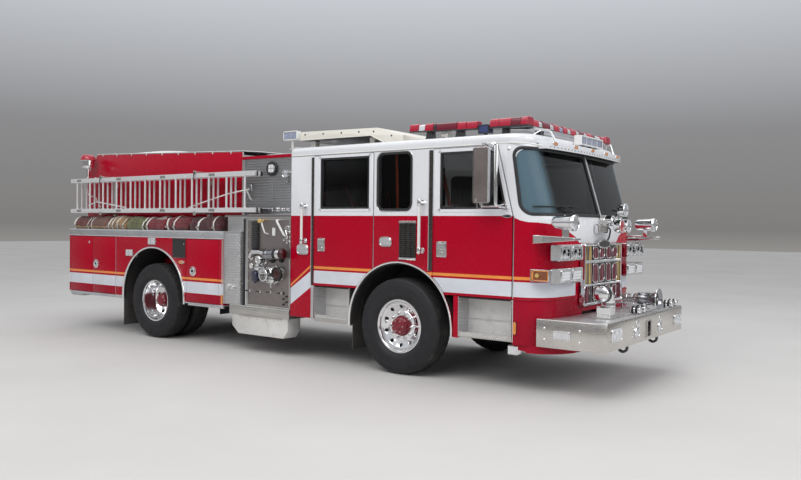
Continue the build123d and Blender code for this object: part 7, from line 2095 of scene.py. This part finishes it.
def pad_form(x0, x1, y0, y1, z0, z1, along):
    """A boxed pad, a little smaller than its place, with crowned faces; along is its thin axis."""
    lo, hi = Vector((min(x0, x1), y0, z0)), Vector((max(x0, x1), y1, z1))
    c, h = (lo + hi) / 2, (hi - lo) / 2
    u, v = [a for a in range(3) if a != along]
    rings = []
    m = 10
    for i in range(m + 1):
        w = -1 + 2 * i / m
        ring = []
        round_w = (1 - abs(w) ** 3.2) ** 0.4
        shrink = 18 * (1 - round_w) + 10
        hu, hv = h[u] - shrink, h[v] - shrink
        pts = rounded([(-hu, -hv), (hu, -hv), (hu, hv), (-hu, hv)], 55, 5)
        for a, b in pts:
            # the sides pull in between the corners
            side = 1 - 0.020 * (1 - (abs(a) / hu) ** 2) * (abs(b) / hv) - 0.020 * (1 - (abs(b) / hv) ** 2) * (abs(a) / hu)
            p = [0, 0, 0]
            p[u], p[v], p[along] = c[u] + a * side, c[v] + b * side, c[along] + w * (h[along] - 9)
            ring.append(tuple(p))
        rings.append(ring)
    return loft(rings, SEAT)


for i, (x, f, y, z) in enumerate(SEAT_ROWS):
    b = 300 if z < 1200 else 60
    top = z + b + (860 if z < 1200 or f > 0 else 860)
    a = pad_form(x + f * 121, x + f * 519, y - 238, y + 238, z + b, z + b + 129, 2).done(f"seat_{i + 1}_cushion", "chassis", "seat_cover")
    c = pad_form(x + f * 1, x + f * 119, y - 238, y + 238, z + b + 101, top - 2, 0).done(f"seat_{i + 1}_back", "chassis", "seat_cover")
    pads += [(a, 0.015, 3.0, 0.008), (c, 0.015, 3.0, 0.008)]
swell(hoses + pads)

trees = []
for k, (o, *_) in enumerate(hoses):
    me = o.data
    x0, x1, mt, low = BUNDLES[k]
    nrm = [v.normal.copy() for v in me.vertices]
    for v, n in zip(me.vertices, nrm):
        c = v.co * 1000
        d = 0.0
        # layers of folded hose: grooves along the pack, and folds over its top
        for zs in (1606, 1652, 1698, 1742):
            zz = c.z - zs - 6 * math.sin(c.x * 0.011 + k)
            d -= 7.5 * math.exp(-(zz / 7.5) ** 2) * min(1.0, abs(n.y) * 1.6)
        d += 9.0 * mnoise.noise(Vector((c.x * 0.010 + k * 9, c.y * 0.010, c.z * 0.014))) - 2.5
        d -= max(0.0, n.z) * (9.0 + 9.0 * math.sin(c.x * 0.0135 + k * 2.1))
        d += 2.5 * math.sin(c.x * 0.072 + 1.3 * math.sin(c.z * 0.03 + k)) * max(0.0, n.z)
        if c.z < 1575 and n.z < -0.3:
            d = 0.0
        v.co += n * d * MM
        v.co.z = max(v.co.z, 1.5605)
        v.co.y = min(max(v.co.y, -1.1985), -0.9215)
    for pl in me.polygons:
        c = pl.center * 1000
        pl.material_index = 1 if c.z < 1607 + 6 * math.sin(c.x * 0.011 + k) and abs(pl.normal.z) < 0.8 else 0
        # top faces of bundle 5 take the pale hose colour: a painted highlight on its top
        if k == 4 and c.z > 1716 + 5 * math.sin(c.x * 0.012) and -2330 < c.x + 0.6 * (c.z - 1740) < -2110:
            pl.material_index = 2
        pl.use_smooth = True
    me.update()
    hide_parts("hose_bundles")
    bm = bmesh.new()
    bm.from_mesh(me)
    trees.append(BVHTree.FromBMesh(bm))
    bm.free()

for k, (o, *_) in enumerate(pads):
    me = o.data
    x, f, y, z = SEAT_ROWS[k // 2]
    back = k % 2
    nrm = [v.normal.copy() for v in me.vertices]
    for v, n in zip(me.vertices, nrm):
        c = v.co * 1000
        face = n.x * f if back else n.z
        if face > 0.3:
            d = 0.0
            for ys in (-150, 150):
                d -= 7 * math.exp(-((c.y - y - ys) / 11.0) ** 2)
            if back:
                for zs in (300, 520):
                    d -= 6 * math.exp(-((c.z - z - (300 if z < 1200 else 60) - zs) / 11.0) ** 2) * (1 if abs(c.y - y) < 150 else 0)
            v.co += n * d * face * MM
        v.co += n * 1.2 * MM * mnoise.noise(c * 0.02)
    for pl in me.polygons:
        pl.use_smooth = True
    me.update()
    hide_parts("seats")

# straps round the packs, snapped to their surface
P = Piece()


def strap_round(x, w, lean, mat, thick=3.0):
    ring = []
    m = 44
    for i in range(m):
        a = 2 * math.pi * i / m
        dy, dz = math.cos(a), math.sin(a)
        row = []
        for e in (-0.5, 0.5):
            best = None
            for q in (0.0, 0.22, -0.22):
                zc = 1.655
                xx = (x + e * w + lean * dz * 90 + q * w) * MM
                for t in trees:
                    hit = t.ray_cast(Vector((xx, -1.060 + dy * 0.4, zc + dz * 0.4)), Vector((0, -dy, -dz)), 0.40)
                    if hit[0] is not None:
                        r = (Vector((xx, -1.060, zc)) - hit[0]).length * 1000
                        best = r if best is None else max(best, r)
            row.append(best)
        r = max([q for q in row if q is not None] or [110.0])
        ring.append((a, r))
    V = []
    for i, (a, r) in enumerate(ring):
        r = max(r, 0.5 * (ring[i - 1][1] + ring[(i + 1) % m][1]) - 1.0)
        dy, dz = math.cos(a), math.sin(a)
        for rr in (r + 0.6, r + 0.6 + thick):
            for e in (-0.5, 0.5):
                V.append((x + e * w + lean * dz * 90, min(max(-1060 + dy * rr, -1204.0), -903.0), max(1655 + dz * rr, 1560.3)))
    F = []
    for i in range(m):
        j = (i + 1) % m
        a, b = i * 4, j * 4
        F += [[a, b, b + 1, a + 1], [a + 2, a + 3, b + 3, b + 2], [a, a + 2, b + 2, b], [a + 1, b + 1, b + 3, a + 3]]
    P.add(V, F, mat)


STRAP_W = wave_mat("strap_white", (0.80, 0.79, 0.76), 0.70, 0.0, 0, 0.005, 0.4, 0.0006, dark=0.2, second=(2, 0.005, True))
for x, w, lean, mt in ((-4366, 44, 0.10, STRAP), (-3995, 16, 0.2, STRAP_W), (-3905, 16, 0.2, STRAP_W), (-3440, 34, 0.35, STRAP_W), (-3330, 22, 0.35, STRAP_W), (-3210, 30, 0.30, STRAP), (-3060, 20, 0.3, STRAP),
                       (-2575, 30, 0.3, STRAP_W), (-2470, 34, 0.35, STRAP_W), (-2010, 30, -0.35, STRAP_W), (-1850, 26, 0.35, STRAP_W), (-1330, 40, 0.45, STRAP_W), (-1010, 26, 0.1, STRAP)):
    strap_round(x, w, lean, mt)
    P.box(x - w * 0.8, x + w * 0.8, -1207, -1198, 1592, 1622, STEEL, 3)
P.done("hose_straps", "chassis", "canvas")

# pedestals, piping and belts of the seats
P = Piece()
for i, (x, f, y, z) in enumerate(SEAT_ROWS):
    b = 300 if z < 1200 else 60
    P.box(min(x + f * 40, x + f * 480), max(x + f * 40, x + f * 480), y - 200, y + 200, z + 0.5, z + b - 8, FOOT, 8)
    P.box(min(x + f * 10, x + f * 500), max(x + f * 10, x + f * 500), y - 225, y + 225, z + b - 12, z + b + 2, STEEL, 4)
    for k in (0, 1):
        o = pads[2 * i + k][0]
        bm = bmesh.new()
        bm.from_mesh(o.data)
        t = BVHTree.FromBMesh(bm)
        bm.free()
        if k == 0:
            loop = rounded([(x + f * 130, y - 228), (x + f * 512, y - 228), (x + f * 512, y + 228), (x + f * 130, y + 228)], 60, 6)
            loop = [Vector((px, py, z + b + 112)) for px, py in loop]
        else:
            loop = rounded([(y - 228, z + b + 112), (y + 228, z + b + 112), (y + 228, z + b + 850), (y - 228, z + b + 850)], 60, 6)
            loop = [Vector((x + f * 108, py, pz)) for py, pz in loop]
        path = []
        for j, p in enumerate(loop):
            q = loop[(j + 1) % len(loop)]
            for r in range(5 if (q - p).length > 60 else 1):
                c = p.lerp(q, r / (5 if (q - p).length > 60 else 1))
                hit = t.find_nearest(c * MM)
                path.append(tuple(hit[0] * 1000 + hit[1] * 1.5))
        P.tube(path, 4, BLACK_GLOSS, 6, closed=True)
    # shoulder belt, buckle and stalk
    xs = x + f * 124
    pts = [(xs - f * 2, y + 150, z + b + 800), (xs + f * 3, y + 60, z + b + 520), (xs + f * 8, y - 150, z + b + 190), (x + f * 170, y - 236, z + b + 140)]
    for p, q in zip(pts, pts[1:]):
        p, q = Vector(p), Vector(q)
        V = []
        for c in (p, q):
            for dy, dx in ((-22, 0), (22, 0), (22, 3), (-22, 3)):
                V.append((c.x + f * dx, c.y + dy, c.z))
        P.add(V, [[0, 1, 2, 3][::-1], [4, 5, 6, 7], [0, 1, 5, 4], [1, 2, 6, 5], [2, 3, 7, 6], [3, 0, 4, 7]], BELT)
    P.box(xs - 10, xs + 10, y + 128, y + 172, z + b + 790, z + b + 824, BLACK, 4)
    P.box(x + f * 170 - 16, x + f * 170 + 16, y - 246, y - 228, z + b + 96, z + b + 152, BLACK, 4)
    # head pad and bottle clip on the back
    P.box(min(x + f * 100, x + f * 122), max(x + f * 100, x + f * 122), y - 90, y + 90, z + b + 640, z + b + 660, FOOT, 4)
# belts between their arms on pillar or wall and the seats, and a strap across the crew window
for s in (1, -1):
    for pts, w in ((((2571, 990, 2264), (2673, 989, 1867), (2767, 988, 1500)), 42),
                   (((672, 440, 2180), (768, 402, 1893), (905, 252, 1450)), 40),
                   (((2028, 1146, 2478), (2052, 1146, 1812)), 34)):
        for p, q in zip(pts, pts[1:]):
            V = []
            for c in (p, q):
                for dx, dy in ((-w / 2, 0), (w / 2, 0), (w / 2, 3), (-w / 2, 3)):
                    V.append((c[0] + dx, s * (c[1] + dy), c[2]))
            P.add(V, [[0, 1, 2, 3][::-1], [4, 5, 6, 7], [0, 1, 5, 4], [1, 2, 6, 5], [2, 3, 7, 6], [3, 0, 4, 7]], BELT)
    P.box(2545, 2575, s * 984, s * 1161, 2252, 2280, BLACK, 5)
    P.box(2546, 2600, s * 980, s * 998, 2248, 2284, BLACK, 4)
    P.box(2742, 2792, s * 978, s * 994, 1470, 1520, BLACK, 5)
    P.box(519, 690, s * 424, s * 456, 2172, 2198, BLACK, 5)
    P.box(880, 930, s * 238, s * 262, 1420, 1470, BLACK, 5)
    P.box(2004, 2054, s * 1138, s * 1162, 2464, 2498, BLACK, 4)
    P.box(2028, 2076, s * 1138, s * 1162, 1782, 1826, BLACK, 4)
o = P.done("seat_frames_and_belts", "chassis", "dark_plastic")
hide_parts("seats")

# ------------------------------------------------------------------ hose bed cover
TOP = [(-776, 2644, 2668), (-2300, 2693, 2742), (-3085, 2718, 2822), (-4190, 2752, 2784)]


def cover_row(x):
    return interp([(-r[0], r[1]) for r in TOP], -x), interp([(-r[0], r[2]) for r in TOP], -x)


rows = []
NY = 36
for i in range(49):
    x = -776 - (4190 - 776) * i / 48
    lo, hi = cover_row(x)
    sag = 0.0
    for (a, *_), (b, *_) in zip(TOP, TOP[1:]):
        if b <= x <= a:
            sag = math.sin(math.pi * (x - a) / (b - a)) ** 2
    row = []
    for j in range(NY + 1):
        y = -898 + 1796 * j / NY
        u = abs(y) / 898
        z = lo + (hi - lo) * (1 - u * u) + 5.5 - 7 * sag * (1 - u ** 4)
        z += 3.2 * math.sin(x * 0.03 + y * 0.011) * math.sin(math.pi * u) * u
        z += 2.2 * mnoise.noise(Vector((x * 0.004, y * 0.006, 1.0))) * (1 - u ** 6)
        row.append((x, y, z))
    rows.append(row)
for i in range(1, 8):
    t = i / 8
    row = []
    for j in range(NY + 1):
        y = -898 + 1796 * j / NY
        u = abs(y) / 898
        c = (1 - u * u)
        row.append((-4197 - 266 * t + 3 * c * t, y, 2757 - 312 * t + 30 * c * (1 - t) ** 1.5 + 2.0 * math.sin(y * 0.02 + 3 * t)))
    rows.append(row)
for i in range(18):
    z = 2440 - (2440 - 1702) * i / 17
    row = []
    for j in range(NY + 1):
        y = -898 + 1796 * j / NY
        fold = 2.6 * math.sin(y * 0.021 + 0.6 * math.sin(z * 0.01)) * min(1.0, (2440 - z) / 200) + 1.5 * mnoise.noise(Vector((y * 0.01, z * 0.004, 2.0)))
        row.append((-4468 + fold, y, z))
    rows.append(row)
P = Piece()
n = NY + 1
P.add([p for r in rows for p in r], [[i * n + j, i * n + j + 1, (i + 1) * n + j + 1, (i + 1) * n + j] for i in range(len(rows) - 1) for j in range(NY)], VINYL)
cover = P.done("hose_bed_cover_sheet", "chassis", "white_vinyl")
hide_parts("hose_bed_cover")
for pl in cover.data.polygons:
    pl.use_smooth = True
P = Piece()
for j in (0, NY):
    sg = -1 if j == 0 else 1
    P.tube([(r[j][0], r[j][1] + sg * 0.5, r[j][2] + 1) for r in rows], 5, VINYL, 8)
P.tube([(p[0] + 2, p[1], p[2] + 2) for p in rows[0]], 5, VINYL, 8)
P.tube([(p[0] - 1, p[1], p[2]) for p in rows[-1]], 6, VINYL, 8)
hem = P.done("hose_bed_cover_hem", "chassis", "white_vinyl")
P = Piece()
for s in (1, -1):
    for i in range(9):
        x = -1000 - i * 380
        lo, hi = cover_row(x)
        P.lathe((x, s * 900, lo - 22), (0, s, 0), [(-1, 12), (4, 12), (7, 8), (7, 0)], CHROME, 16)
        P.box(x - 11, x + 11, s * 900.5, s * 905, lo - 24, lo + 8, STRAP, 1)
    for i in range(3):
        P.box(-4474, -4470, s * (260 + i * 240) - 16, s * (260 + i * 240) + 16, 1712, 1990, STRAP, 1)
        P.box(-4478, -4470, s * (260 + i * 240) - 22, s * (260 + i * 240) + 22, 1820, 1850, STEEL, 2)
P.done("hose_bed_cover_fasteners", "chassis", "chrome")

for m in (GLASS, GLASS_DARK):
    for nd in m.node_tree.nodes:
        if nd.type == "BSDF_PRINCIPLED":
            nd.inputs["Specular IOR Level"].default_value = 0.24
# the wrapped ends of the windscreen get a pale blue colour and let less light through: a painted reflection of the sky
nt = GLASS.node_tree
p = next(nd for nd in nt.nodes if nd.type == "BSDF_PRINCIPLED")
x, y, z = split(nt, coords(nt))[:3]
front = map_range(nt, x, 3.20, 3.30, 0.0, 1.0)
end = math_node(nt, "MULTIPLY", map_range(nt, math_node(nt, "ABSOLUTE", y, 0.0), 0.90, 1.03, 0.0, 1.0), front)
src = p.inputs["Base Color"].links[0].from_socket
tint = mix_color(nt, front, (0.30, 0.305, 0.31), src)
link(nt, mix_color(nt, end, tint, (0.17, 0.27, 0.33)), p.inputs["Base Color"])
link(nt, map_range(nt, end, 0.0, 1.0, 1.0, 0.45), p.inputs["Transmission Weight"])
